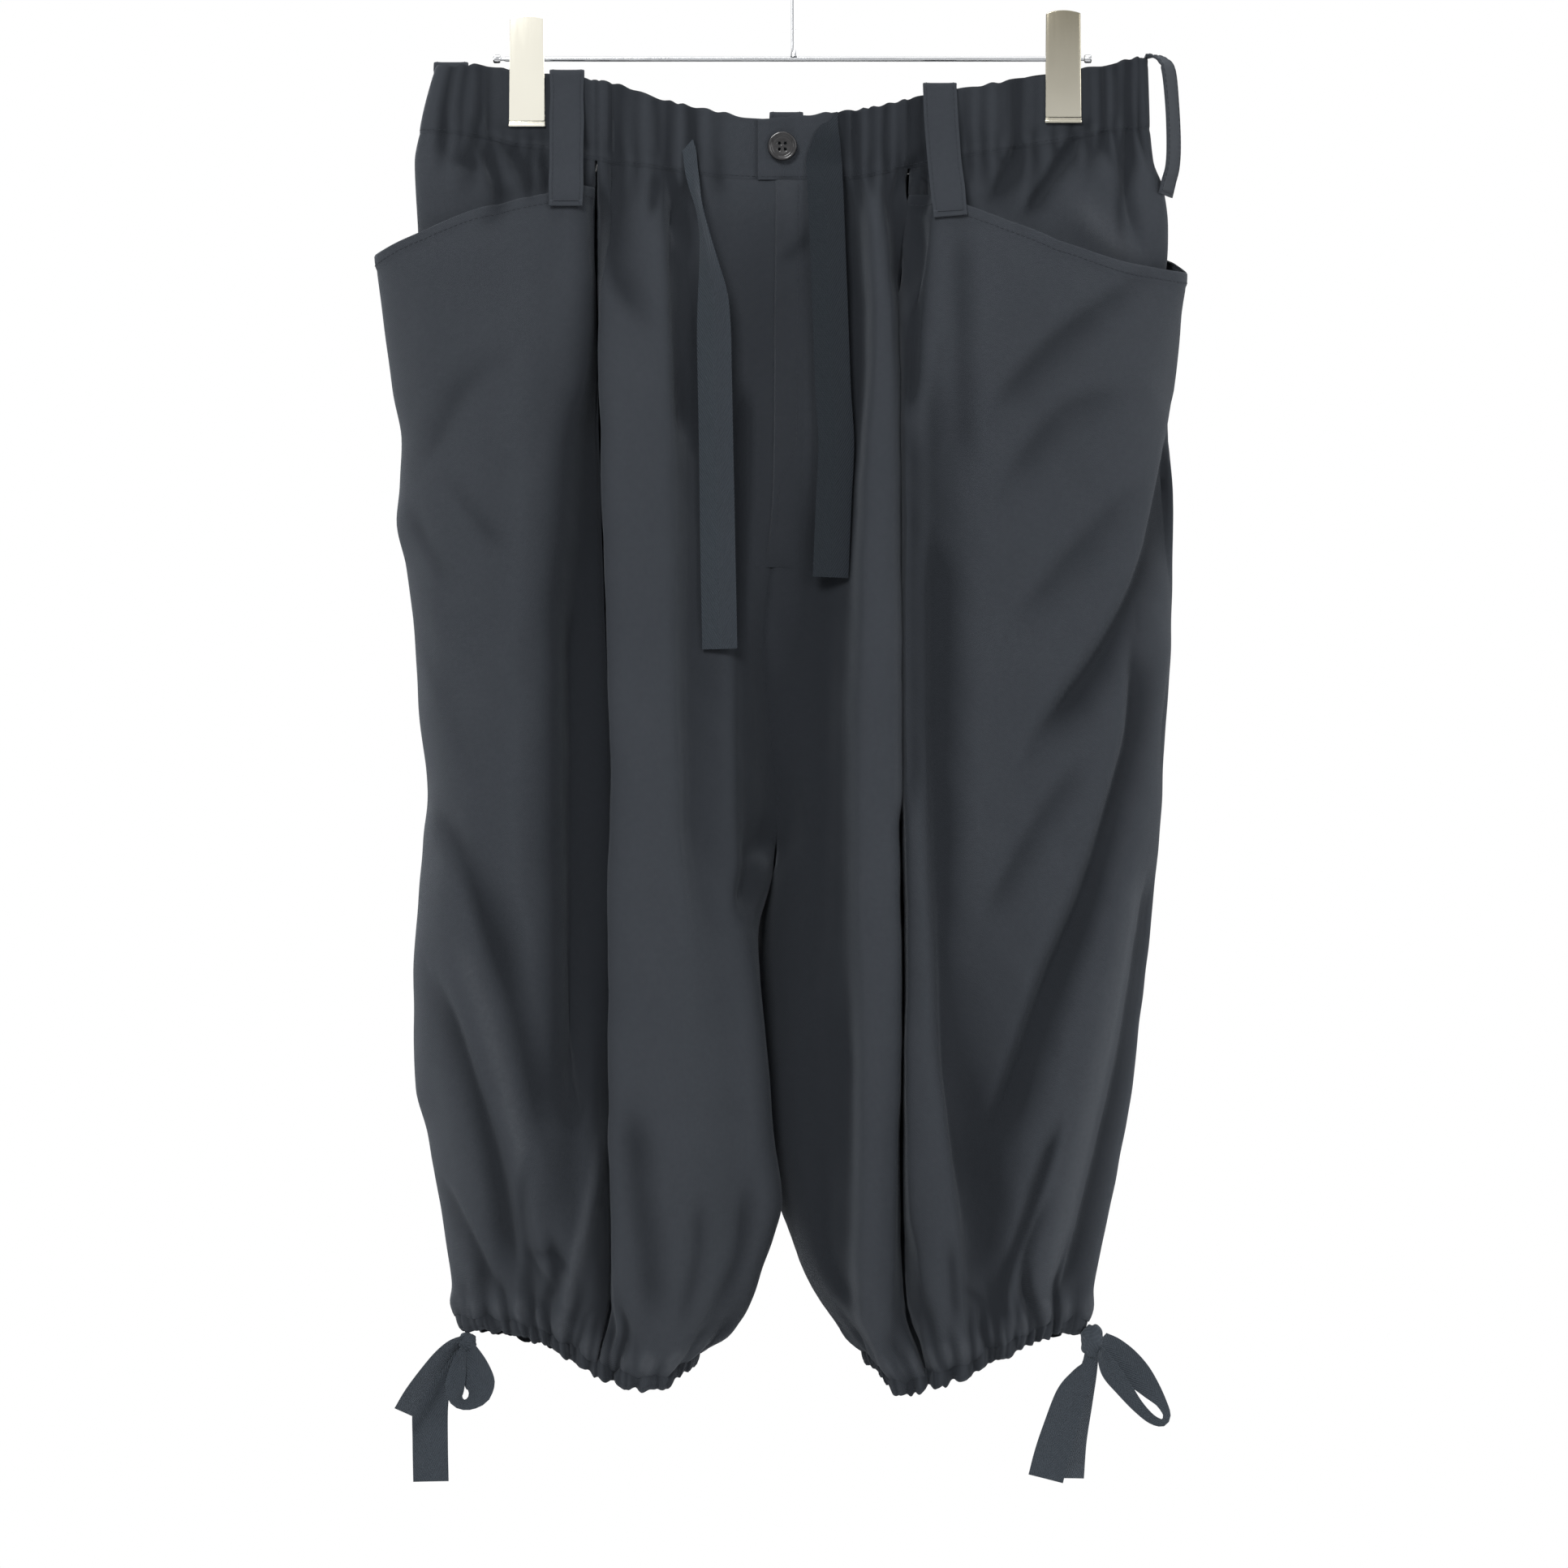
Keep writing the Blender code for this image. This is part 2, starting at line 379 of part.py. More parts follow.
def between(rows, at):
    """A table's other columns at each value of its first, on a smooth curve that never overshoots."""
    rows = np.array(rows, float)
    x, y = rows[:, 0], rows[:, 1:]
    at = np.clip(np.atleast_1d(np.asarray(at, float)), x[0], x[-1])
    step = np.diff(x)[:, None]
    slope = np.diff(y, axis=0) / step
    tangent = np.zeros_like(y)
    tangent[0], tangent[-1] = slope[0], slope[-1]
    before, after = slope[:-1], slope[1:]
    agree = before * after > 0
    tangent[1:-1] = np.where(agree, 2 * before * after / np.where(agree, before + after, 1), 0)
    i = np.clip(np.searchsorted(x, at, side="right") - 1, 0, len(x) - 2)
    h = step[i]
    t = (at - x[i])[:, None] / h
    return (
        y[i] * (1 + 2 * t) * (1 - t) ** 2 + tangent[i] * h * t * (1 - t) ** 2
        + y[i + 1] * t * t * (3 - 2 * t) + tangent[i + 1] * h * t * t * (t - 1)
    )


class Half:
    """One half of the trousers: a sheet over a, the line number round the half, and v, 0 to 1 down it."""

    def __init__(self, name, front, side, hip, back):
        self.name = name
        self.sign = -1 if name == "left" else 1
        self.side_from, self.side_to = len(front), len(front) + len(side) - 1
        self.outer = front + side + back
        self.upper = front + hip + back
        self.last = len(self.outer) - 1
        self.seams = (0, self.side_from, self.side_to, self.last)
        self.span = np.array([(rows[0][0], rows[-1][0]) for rows in self.outer], float)
        self.crisp = np.ones(self.last + 1)
        for line, value in CRISP[name].items():
            self.crisp[line] = value
        self.tables = {False: self.worked_out(self.outer), True: self.worked_out(self.upper)}
        mouth = [MOUTH_V] + [self.share(i + self.side_from, side[i][1][0]) for i in range(1, len(side) - 1)]
        self.mouth_rows = [(self.side_from + i, v) for i, v in enumerate(mouth + [MOUTH_V])]
        self.folds = FOLDS_FRONT[name]
        self.waist = self.waist_gathers()
        self.hem = self.hem_gathers()

    def share(self, line, down):
        return (down - self.span[line, 0]) / (self.span[line, 1] - self.span[line, 0])

    def place(self, across, v, in_front):
        """The line number at which the sheet lies that far across, at v, on its front or its back."""
        widest = [abs(rows[0][1]) for rows in self.outer[self.side_from:self.side_to]]
        middle = self.side_from + int(np.argmax(widest))
        a = np.linspace(0, middle, 400) if in_front else np.linspace(middle, self.last, 400)
        found = self.base(a, np.full(len(a), float(v)))[:, 1] * self.sign
        order = np.argsort(found)
        return float(np.interp(across * self.sign, found[order], a[order]))

    def waist_gathers(self):
        found = []
        for across, depth, half, length in WAIST_GATHERS_FRONT[self.name]:
            found.append((self.place(across, 0, True), depth, half, length))
        for n, across in enumerate(np.arange(BACK_GATHER_FIRST, BACK_GATHER_LAST, BACK_GATHER_PITCH)):
            across = self.sign * (across + BACK_GATHER_SWAY * math.sin(2.3 * n + self.sign))
            uneven = 1 + GATHER_UNEVEN * math.sin(1.7 * n)
            found.append((self.place(across, 0, False), BACK_GATHER_DEPTH * uneven, BACK_GATHER_HALF,
                          BACK_GATHER_LENGTH * uneven))
        return sorted(found)

    def hem_gathers(self):
        """Evenly uneven gathers round the hem, none at the flat stretch where the tie comes out."""
        a = np.linspace(0, self.last, 600)
        p = self.base(a, np.ones(600))
        along = np.concatenate([[0], np.cumsum(np.linalg.norm(np.diff(p, axis=0), axis=1))])
        outline = float(a[np.argmax(p[:, 1] * self.sign)])
        found = []
        for n in range(int(along[-1] / HEM_GATHER_PITCH)):
            at = float(np.interp((n + 0.5 + 0.22 * math.sin(2.1 * n)) * HEM_GATHER_PITCH, along, a))
            if abs(at - outline) > HEM_FLAT_PAST:
                uneven = 1 + GATHER_UNEVEN * math.sin(1.3 * n + self.sign)
                found.append((at, HEM_GATHER_DEPTH * uneven, HEM_GATHER_HALF, HEM_GATHER_LENGTH * uneven))
        return found

    def worked_out(self, lines):
        """Points of every line and directions round the half there, at TABLE_STEPS heights."""
        v = np.linspace(0, 1, TABLE_STEPS + 1)
        down = self.span[:, 0] + (self.span[:, 1] - self.span[:, 0]) * v[:, None]
        s = np.stack([
            np.column_stack([down[:, i], between(rows, down[:, i])]) for i, rows in enumerate(lines)
        ], axis=1)
        leg = soft_step((v - CROTCH_V + CROTCH_BLEND) / CROTCH_BLEND)[:, None]
        u = unit(np.diff(s, axis=1))
        d = np.empty_like(s)
        d[:, 1:-1] = unit(u[:, 1:] + u[:, :-1])
        closed = unit(u[:, -1] + u[:, 0])
        across = np.array([0.0, self.sign, 0.0])
        d[:, 0] = unit(across * (1 - leg) + closed * leg)
        d[:, -1] = unit(-across * (1 - leg) + closed * leg)
        d[:, self.side_from] = across
        return s, d

    def at_height(self, v, upper=False):
        """Points and directions of every line at each v."""
        row = np.clip(np.asarray(v, float), 0, 1) * TABLE_STEPS
        k = np.minimum(row.astype(int), TABLE_STEPS - 1)
        t = (row - k)[:, None, None]
        return tuple(table[k] * (1 - t) + table[k + 1] * t for table in self.tables[upper])

    def base(self, a, v, upper=False):
        """Points (down, across, forward) of the sheet without gathers and folds."""
        s, d = self.at_height(v, upper)
        i = np.clip(np.floor(a).astype(int), 0, self.last - 1)
        k = np.arange(len(a))
        t = (a - i)[:, None]
        p0, p1 = s[k, i], s[k, i + 1]
        length = np.linalg.norm(p1 - p0, axis=1)[:, None]
        m0 = d[k, i] * length * self.crisp[i][:, None]
        m1 = d[k, i + 1] * length * self.crisp[i + 1][:, None]
        return (
            p0 * (1 + 2 * t) * (1 - t) ** 2 + m0 * t * (1 - t) ** 2
            + p1 * t * t * (3 - 2 * t) + m1 * t * t * (t - 1)
        )

    def sunk(self, a, v, p):
        """How far gathers and folds press the sheet in at points p."""
        down, across, forward = p.T
        total = np.zeros(len(a))
        step = 0.05
        ahead = self.base(np.clip(a + step, 0, self.last), v)
        behind = self.base(np.clip(a - step, 0, self.last), v)
        spacing = np.linalg.norm(ahead - behind, axis=1) / (2 * step)
        height = HEM_DOWN - WAIST_DOWN
        for gathers, reach in ((self.waist, v * height), (self.hem, (1 - v) * height)):
            for at, depth, half, length in gathers:
                fade = 1 - soft_step(reach / length)
                total += depth * fade * np.exp(-(((a - at) * spacing / half) ** 2))
        for path, depth, half in self.folds:
            path = np.array(path, float)
            middle = np.interp(down, path[:, 0], path[:, 1])
            fade = soft_step((down - path[0, 0]) / FOLD_FADE) * soft_step((path[-1, 0] - down) / FOLD_FADE)
            total += depth * fade * np.exp(-(((across - middle) / half) ** 2)) * (forward > 0)
        return total

    def facing(self, point, a, v, upper=False):
        """Unit normals, out of the cloth, of the sheet that point(a, v) gives."""
        da, dv = 0.06, 0.006
        at_leg = v >= CROTCH_V - 1e-6
        up, low = np.where(at_leg & (v < CROTCH_V + dv), v, v - dv), v + dv
        along = point(np.clip(a + da, 0, self.last), v) - point(np.clip(a - da, 0, self.last), v)
        for seam in self.seams:
            there = np.abs(a - seam) < 1e-6
            along[there] = self.at_height(v[there], upper)[1][:, seam]
        downward = point(a, np.clip(low, 0, 1)) - point(a, np.clip(up, 0, 1))
        return unit(np.cross(unit(downward), unit(along))) * self.sign

    def point(self, a, v, upper=False):
        p = self.base(a, v, upper)
        n = self.facing(lambda aa, vv: self.base(aa, vv, upper), a, v, upper)
        return p - n * self.sunk(a, v, p)[:, None]

    def skin(self, a, v, upper=False):
        """Points and normals at pairs of a and v."""
        a, v = np.asarray(a, float), np.asarray(v, float)
        return self.point(a, v, upper), self.facing(lambda aa, vv: self.point(aa, vv, upper), a, v, upper)

    def seamed(self, a, v, upper=False):
        """A row of columns, points and normals whose two ends stop half a gap before their seams."""
        points, normals = self.skin(a, v, upper)
        for end, way in ((0, 1), (-1, -1)):
            seam = int(round(a[end]))
            points[end] += self.at_height(v[[end]], upper)[1][0, seam] * way * GAP / 2
            if seam in (0, self.last) and abs(v[end] - CROTCH_V) < 1e-6:
                points[end] -= normals[end] * GAP / 2
        return a, points, normals

    def mouth(self, a):
        return between(self.mouth_rows, a)[:, 0]


def to_world(p):
    """Metres in the part's frame from (down, across, forward) in millimetres."""
    p = np.asarray(p, float)
    return np.stack([p[..., 1], -p[..., 2], -p[..., 0]], axis=-1) * MM


def material(spec):
    name, colour, roughness, metallic = spec
    made = bpy.data.materials.get(name)
    if made is None:
        made = bpy.data.materials.new(name)
        made.use_nodes = True
        shader = made.node_tree.nodes["Principled BSDF"]
        shader.inputs["Base Color"].default_value = (*colour, 1)
        shader.inputs["Roughness"].default_value = roughness
        shader.inputs["Metallic"].default_value = metallic
    return made


def solid(name, points, faces, spec, smooth=False):
    """An object from points (down, across, forward), with its faces turned outwards."""
    mesh = bpy.data.meshes.new(name)
    mesh.from_pydata(to_world(points).tolist(), [], faces)
    bm = bmesh.new()
    bm.from_mesh(mesh)
    bmesh.ops.triangulate(bm, faces=bm.faces)
    bmesh.ops.recalc_face_normals(bm, faces=bm.faces)
    if bm.calc_volume(signed=True) < 0:
        bmesh.ops.reverse_faces(bm, faces=bm.faces)
    bm.to_mesh(mesh)
    bm.free()
    mesh.materials.append(material(spec))
    if smooth:
        mesh.shade_smooth()
        mesh.set_sharp_from_angle(angle=math.radians(40))
    made = bpy.data.objects.new(name, mesh)
    bpy.context.collection.objects.link(made)
    return made


def strip(upper, lower, keys_upper, keys_lower):
    """Triangles between two rows of point numbers whose columns need not match."""
    faces, i, j = [], 0, 0
    while i < len(upper) - 1 or j < len(lower) - 1:
        if j == len(lower) - 1 or (i < len(upper) - 1 and keys_upper[i + 1] <= keys_lower[j + 1]):
            faces.append((upper[i], upper[i + 1], lower[j]))
            i += 1
        else:
            faces.append((upper[i], lower[j + 1], lower[j]))
            j += 1
    return faces


def wall(name, rows, spec=CLOTH, thickness=WALL):
    """A closed wall from rows of (columns, outer points, normals); the inner skin lies behind the outer."""
    outer, inner, faces, numbers, count = [], [], [], [], 0
    for _, points, normals in rows:
        numbers.append(list(range(count, count + len(points))))
        count += len(points)
        outer.append(points)
        inner.append(points - normals * thickness)
    for k in range(len(rows) - 1):
        for face in strip(numbers[k], numbers[k + 1], rows[k][0], rows[k + 1][0]):
            faces.append(face)
            faces.append(tuple(n + count for n in reversed(face)))
    top_and_right = numbers[0] + [row[-1] for row in numbers[1:]]
    left_and_bottom = [row[0] for row in numbers] + numbers[-1][1:]
    for m, n in zip(top_and_right, top_and_right[1:]):
        faces += [(n, m, m + count), (n, m + count, n + count)]
    for m, n in zip(left_and_bottom, left_and_bottom[1:]):
        faces += [(m, n, m + count), (m + count, n, n + count)]
    return solid(name, np.concatenate(outer + inner), faces, spec)


def spread(first, last, per_line):
    """Columns from one line to another, per_line of them in each space between two lines."""
    return np.linspace(first, last, max(1, round((last - first) * per_line)) + 1)


def gathered(first, last, gathers):
    """Columns at each gather, at the crests between them and at the ends."""
    inside = sorted(g[0] for g in gathers if first + 0.12 < g[0] < last - 0.12)
    marks = [first] + inside + [last]
    columns = [first]
    for m, n in zip(marks, marks[1:]):
        columns += [(m + n) / 2, n] if n - m > 0.1 else [n]
    return np.array(columns)


def all_round(half, gathers):
    """The columns of a whole half: those of its three panels side by side."""
    parts = [gathered(m, n, gathers) for m, n in zip(half.seams, half.seams[1:])]
    return np.concatenate([parts[0], parts[1][1:], parts[2][1:]])


def columns_for(half, first, last, row, waist_rows=GATHERED_AT_WAIST):
    if row < waist_rows:
        return gathered(first, last, half.waist)
    if row >= len(ROWS) - GATHERED_AT_HEM:
        return gathered(first, last, half.hem)
    return spread(first, last, 2)


def row_share(row):
    """A row's share of its lines, half a gap inside the panel at the waist and hem seams."""
    return min(max(ROWS[row], HALF_GAP_V), 1 - HALF_GAP_V)


def leg_panel(name, half, first, last):
    """A front or back panel, from the waist seam to the hem seam."""
    rows = []
    for row in range(len(ROWS)):
        a = columns_for(half, first, last, row)
        rows.append(half.seamed(a, np.full(len(a), row_share(row))))
    return wall(name, rows)


def side_panel(name, half):
    """The side panel: its upper edge is the pocket mouth."""
    rows = []
    for row in range(1, len(ROWS)):
        a = columns_for(half, half.side_from, half.side_to, row, waist_rows=0)
        mouth = half.mouth(a)
        v = mouth + (1 - mouth) * (row_share(row) - MOUTH_V) / (1 - MOUTH_V)
        if row == 1:
            v = v + HALF_GAP_V
        rows.append(half.seamed(a, v))
    return wall(name, rows)


def hip_piece(name, half):
    """The hip piece, from the waist seam to below the pocket mouth, inside the side panel."""
    first, last = half.side_from, half.side_to
    rows = []
    for row in range(HIP_ROWS + 1):
        a = gathered(first, last, half.waist) if row < HIP_ROWS - 1 else spread(first, last, 2)
        inside = soft_step((a - first - 0.4) / 0.8) * soft_step((last - 0.4 - a) / 0.8)
        bottom = half.mouth(a) + HIP_BELOW_MOUTH * inside - 3 * HALF_GAP_V
        rows.append(half.seamed(a, np.maximum(bottom * row / HIP_ROWS, HALF_GAP_V), upper=True))
    return wall(name, rows)


def waistband(name, half, lap, first):
    """Half of the waistband over its half's waist seam; lap holds (across, forward) of its lapped end."""
    a = all_round(half, half.waist)
    a = a[a >= first]
    seam, normals = half.skin(a, np.zeros(len(a)), upper=True)
    sunk = half.sunk(a, np.zeros(len(a)), seam)
    normals[:, 0] = 0
    normals = np.concatenate([np.tile([0.0, 0.0, 1.0], (len(lap), 1)), unit(normals)])
    keys = np.concatenate([np.linspace(-1, -0.1, len(lap)), a])
    rows = []
    for share, limits in ((0, TOP_FORWARD), (BAND_JAW_SHARE, JAW_FORWARD), (1, None)):
        lapped = np.array([(WAIST_DOWN, x, f + LAP_SLOPE * share) for x, f in lap])
        p = np.concatenate([lapped, seam])
        top = between(TOP_EDGE, p[:, 1])[:, 0]
        if limits is not None:
            limit = between(limits, seam[:, 1])[:, 0]
            limit = limit - np.clip(sunk, 0, 2) * (limit > 4)
            p[len(lap):, 2] = np.sign(seam[:, 2]) * np.minimum(np.abs(seam[:, 2]), limit)
        p[:, 0] = top + (p[:, 0] - GAP / 2 - top) * share
        p[-1, 1] += half.sign * GAP / 2
        rows.append((keys, p, normals))
    return wall(name, rows)


def casing(name, half):
    """The gathered hem casing: a short tube below the hem seam."""
    a, seam, normals = half.seamed(all_round(half, half.hem), np.ones(len(all_round(half, half.hem))))
    normals[:, 0] = 0
    normals = unit(normals)
    middle = seam.mean(axis=0)
    rows = []
    for share in (0.0, 1.0):
        p = seam.copy()
        p[:, 0] += GAP / 2 + CASING_HEIGHT * share
        p[:, 1:] += (middle[1:] - p[:, 1:]) * CASING_TAPER * share
        rows.append((a, p, normals))
    return wall(name, rows)


def fly_front(left, right):
    """The fly front, moved out from the points of both front panels."""
    rows = []
    for v in [2 * HALF_GAP_V] + [share for share in ROWS[1:] if share <= FLY_BOTTOM_V]:
        p0, n0 = left.skin([0.5], [v])
        p1, n1 = right.skin([0.0, 0.5, 1.0], [v] * 3)
        points, normals = np.concatenate([p0, p1]), np.concatenate([n0, n1])
        rows.append((np.arange(4.0), points + normals * (GAP + FLY_THICKNESS), normals))
    return wall("fly_front", rows, thickness=FLY_THICKNESS)


def ribbon(name, path, thickness, spec):
    """A flat tape along rows of (down, across, forward, width, turn); at turn 0 it faces the viewer.

    turn is in degrees about the tape's own length, and a positive one brings its left edge forward.
    """
    path = np.array(path, float)
    centre, width, turn = path[:, :3], path[:, 3], np.radians(path[:, 4])
    along = unit(np.gradient(centre, axis=0))
    forward = np.array([0.0, 0.0, 1.0])
    level = unit(np.cross(forward, along))
    upright = unit(np.cross(along, level))
    side = level * np.cos(turn)[:, None] + upright * np.sin(turn)[:, None]
    face = unit(np.cross(side, along))
    points = np.stack([
        centre + side * sx * width[:, None] / 2 + face * sy * thickness / 2
        for sx, sy in ((-1, -1), (1, -1), (1, 1), (-1, 1))
    ], axis=1).reshape(-1, 3)
    faces = [(0, 1, 2, 3), tuple(range(len(points) - 4, len(points)))]
    for k in range(len(path) - 1):
        for c in range(4):
            m, n = 4 * k + c, 4 * k + (c + 1) % 4
            faces.append((m, n, n + 4, m + 4))
    return solid(name, points, faces, spec)


def turned(name, outline, centre, spec, sides=24):
    """A round piece that faces forward; outline rows are (radius, forward of the centre)."""
    rings = []
    for radius, forward in outline:
        angle = 2 * math.pi * np.arange(sides) / sides
        ring = np.column_stack([radius * np.cos(angle), radius * np.sin(angle), np.full(sides, forward)])
        rings.append(ring + np.array(centre))
    return tube(name, rings, spec)


def tube(name, rings, spec):
    """A closed solid through rings that have the same number of points."""
    sides = len(rings[0])
    points = np.concatenate(rings)
    faces = [tuple(range(sides)), tuple(range(len(points) - sides, len(points)))]
    for k in range(len(rings) - 1):
        for n in range(sides):
            m = (n + 1) % sides
            faces.append((k * sides + n, k * sides + m, (k + 1) * sides + m, (k + 1) * sides + n))
    return solid(name, points, faces, spec, smooth=True)


def wire(name, route, radius, spec, sides=10):
    """A round wire along points (down, across, forward) that lie in one upright plane facing forward."""
    route = np.array(route, float)
    forward = np.array([0.0, 0.0, 1.0])
    side = unit(np.cross(unit(np.gradient(route, axis=0)), forward))
    angles = 2 * math.pi * np.arange(sides)[:, None] / sides
    return tube(name, [p + radius * (np.cos(angles) * s + np.sin(angles) * forward)
                       for p, s in zip(route, side)], spec)


def hanger():
    """The bar with its end stops, and the hook on its stem."""
    angles = 2 * math.pi * np.arange(12) / 12
    bar = [(BAR_LEFT, STOP_RADIUS), (BAR_LEFT + STOP_LENGTH, STOP_RADIUS),
    (BAR_LEFT + STOP_LENGTH, BAR_RADIUS),
           (BAR_RIGHT - STOP_LENGTH, BAR_RADIUS), (BAR_RIGHT - STOP_LENGTH, STOP_RADIUS),
           (BAR_RIGHT, STOP_RADIUS)]
    tube("hanger_bar", [
        np.column_stack([BAR_DOWN + r * np.cos(angles), np.full(12, x), r * np.sin(angles)]) for x, r in bar
    ], CHROME)
    radius = HOOK_RADIUS + HOOK_WIRE  # the inside of the hook's top is the origin
    arc = [(HOOK_RADIUS - radius * math.sin(t), radius * math.cos(t),
    0) for t in np.radians(np.linspace(-35, 205, 17))]
    stem = [(BAR_DOWN - BAR_RADIUS - GAP, 0, 0)] + [(down, across, 0) for down, across in HOOK_BEND]
    wire("hanger_hook", stem + arc, HOOK_WIRE, CHROME)


def box(name, low, high, spec):
    """A box between two corners (down, across, forward)."""
    (d0, x0, f0), (d1, x1, f1) = low, high
    points = [(d, x, f) for d in (d0, d1) for x in (x0, x1) for f in (f0, f1)]
    faces = [(0, 1, 3, 2), (4, 6, 7, 5), (0, 4, 5, 1), (2, 3, 7, 6), (0, 2, 6, 4), (1, 5, 7, 3)]
    return solid(name, points, faces, spec)


def combine(made, other, operation, folded=False):
    """Join or cut; folded is for a ribbon that touches itself."""
    other.hide_render = True
    other.display_type = "WIRE"
    step = made.modifiers.new(other.name, "BOOLEAN")
    step.object = other
    step.operation = operation
    step.use_self = folded


def clip(name, across, top, bottom):
    """A flat clip: two plates on both sides of the waistband, joined by a block that the bar runs through."""
    half = CLIP_WIDTH / 2
    inner, outer = CLIP_INNER, CLIP_INNER + CLIP_PLATE
    made = box(name, (top, across - half, inner), (bottom, across + half, outer), NICKEL)
    back = box(name + "_back", (top, across - half, -outer), (bottom, across + half, -inner), NICKEL)
    block = box(name + "_block", (BAR_DOWN - BLOCK_UP, across - BLOCK_HALF, -inner - CLIP_PLATE / 2),
                (BAR_DOWN + BLOCK_BELOW, across + BLOCK_HALF, inner + CLIP_PLATE / 2), NICKEL)
    past = 3 * BLOCK_HALF / 2
    bore = wire(name + "_bore", [(BAR_DOWN, across - past, 0), (BAR_DOWN, across + past, 0)],
                BAR_RADIUS + GAP, NICKEL, sides=14)
    combine(made, back, "UNION")
    combine(made, block, "UNION")
    combine(made, bore, "DIFFERENCE")


def button():
    """The round four-hole button with its raised rim."""
    profile = [(BUTTON_RADIUS - inside, forward) for inside, forward in BUTTON_PROFILE]
    made = turned("button", profile, BUTTON_CENTRE, HORN)
    down, across, forward = BUTTON_CENTRE
    for n, (down_by, across_by) in enumerate(((-1, -1), (-1, 1), (1, 1), (1, -1))):
        middle = (down + down_by * HOLE_FROM_MIDDLE, across + across_by * HOLE_FROM_MIDDLE, forward)
        hole = turned(f"button_hole_{n}", [(HOLE_RADIUS, -1.0), (HOLE_RADIUS, 4.0)], middle, HORN, sides=10)
        combine(made, hole, "DIFFERENCE")


def bow(name, knot, ribbons):
    """A hem tie's knot, a rounded lump, joined with the ribbons that grow out of it."""
    centre, (high, wide, deep) = knot
    angles = 2 * math.pi * np.arange(KNOT_SIDES) / KNOT_SIDES
    rings = []
    for t in np.radians(KNOT_RINGS):
        share = max(math.cos(t), KNOT_END)
        ring = np.column_stack([
            np.full(KNOT_SIDES, high * math.sin(t)), wide * share * np.cos(angles),
            deep * share * np.sin(angles),
        ])
        rings.append(ring + np.array(centre))
    made = tube(name, rings, TAPE)
    for n, path in enumerate(ribbons):
        combine(made, ribbon(f"{name}_{n}", path, TAPE_THICKNESS, TAPE), "UNION", folded=True)


def build():
    for old in list(bpy.data.objects):
        bpy.data.objects.remove(old)
    left = Half("left", FRONT_LEFT, SIDE_LEFT, HIP_LEFT, BACK_LEFT)
    right = Half("right", FRONT_RIGHT, SIDE_RIGHT, HIP_RIGHT, BACK_RIGHT)
    for half in (left, right):
        leg_panel("front_" + half.name, half, 0, half.side_from)
        side_panel("side_panel_" + half.name, half)
        hip_piece("hip_" + half.name, half)
        leg_panel("back_" + half.name, half, half.side_to, half.last)
        casing("hem_casing_" + half.name, half)
    waistband("waistband_left", left, LAP_UNDER, LAP_UNDER_FROM)
    waistband("waistband_right", right, LAP_OVER, 0)
    fly_front(left, right)
    button()
    for name, (turn, path) in BELT_LOOPS.items():
        ribbon(name, [(*row, LOOP_WIDTH, turn) for row in path], LOOP_THICKNESS, CLOTH)
    for name, path in TAPES.items():
        ribbon(name, path, TAPE_THICKNESS, TAPE)
    for name, (knot, ribbons) in BOWS.items():
        bow(name, knot, ribbons)
    hanger()
    for name, (across, top, bottom) in CLIPS.items():
        clip(name, across, top, bottom)


build()
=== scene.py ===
"""Balloon trousers on a clip hanger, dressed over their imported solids.

The tables are in millimetres, as on the drawing: down below the inside of the hanger's hook,
across to the viewer's right and forward towards the viewer.
"""
import math

import bmesh
import bpy
import numpy as np
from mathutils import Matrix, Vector


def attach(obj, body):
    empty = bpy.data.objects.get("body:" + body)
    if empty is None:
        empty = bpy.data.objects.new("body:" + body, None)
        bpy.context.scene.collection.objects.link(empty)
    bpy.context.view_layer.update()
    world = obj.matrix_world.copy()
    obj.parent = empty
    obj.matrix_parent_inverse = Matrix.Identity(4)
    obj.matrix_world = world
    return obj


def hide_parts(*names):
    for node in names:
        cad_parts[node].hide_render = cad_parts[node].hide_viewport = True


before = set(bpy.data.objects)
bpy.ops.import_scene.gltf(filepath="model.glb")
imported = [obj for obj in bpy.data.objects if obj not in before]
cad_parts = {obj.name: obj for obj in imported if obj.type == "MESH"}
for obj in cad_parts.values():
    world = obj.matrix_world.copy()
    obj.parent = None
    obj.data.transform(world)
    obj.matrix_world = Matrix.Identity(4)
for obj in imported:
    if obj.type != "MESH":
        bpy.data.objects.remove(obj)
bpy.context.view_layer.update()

MM = 0.001
ROOT = "root"
CLOTH_THICKNESS = 0.9
GAP = 0.1  # between two sewn panels, which the seam's own dip hides
WAIST_DOWN, CROTCH_DOWN, HEM_DOWN = 186.5, 567.0, 816.0
LEG_HEIGHT = HEM_DOWN - WAIST_DOWN
# A name that ends in V is a share of the height from the waist seam to the hem seam.
CROTCH_V = (CROTCH_DOWN - WAIST_DOWN) / LEG_HEIGHT
CROTCH_BLEND_V = 0.05
HALF_GAP_V = GAP / 2 / LEG_HEIGHT
MOUTH_V = 0.022
FLY_BOTTOM_V = 0.333
FLY_RISE = 1.6  # how far the fly stands off the panels under it
TABLE_STEPS = 1400  # heights at which the cloth's lines are worked out
CASING_HEIGHT, CASING_TAPER = 12.0, 0.04
BAND_HEIGHT = 34.0
BAND_JAW_SHARE = 0.82  # of the band's height is flattened by the clips
TAPE_WIDTH, TAPE_THICKNESS = 19.4, 0.9
LOOP_WIDTH, LOOP_THICKNESS = 18.5, 1.4
BAR_DOWN, BAR_RADIUS = 120.0, 1.5
BAR_LEFT, BAR_RIGHT = -163.0, 161.5
HOOK_RADIUS, HOOK_WIRE = 20.0, 1.4
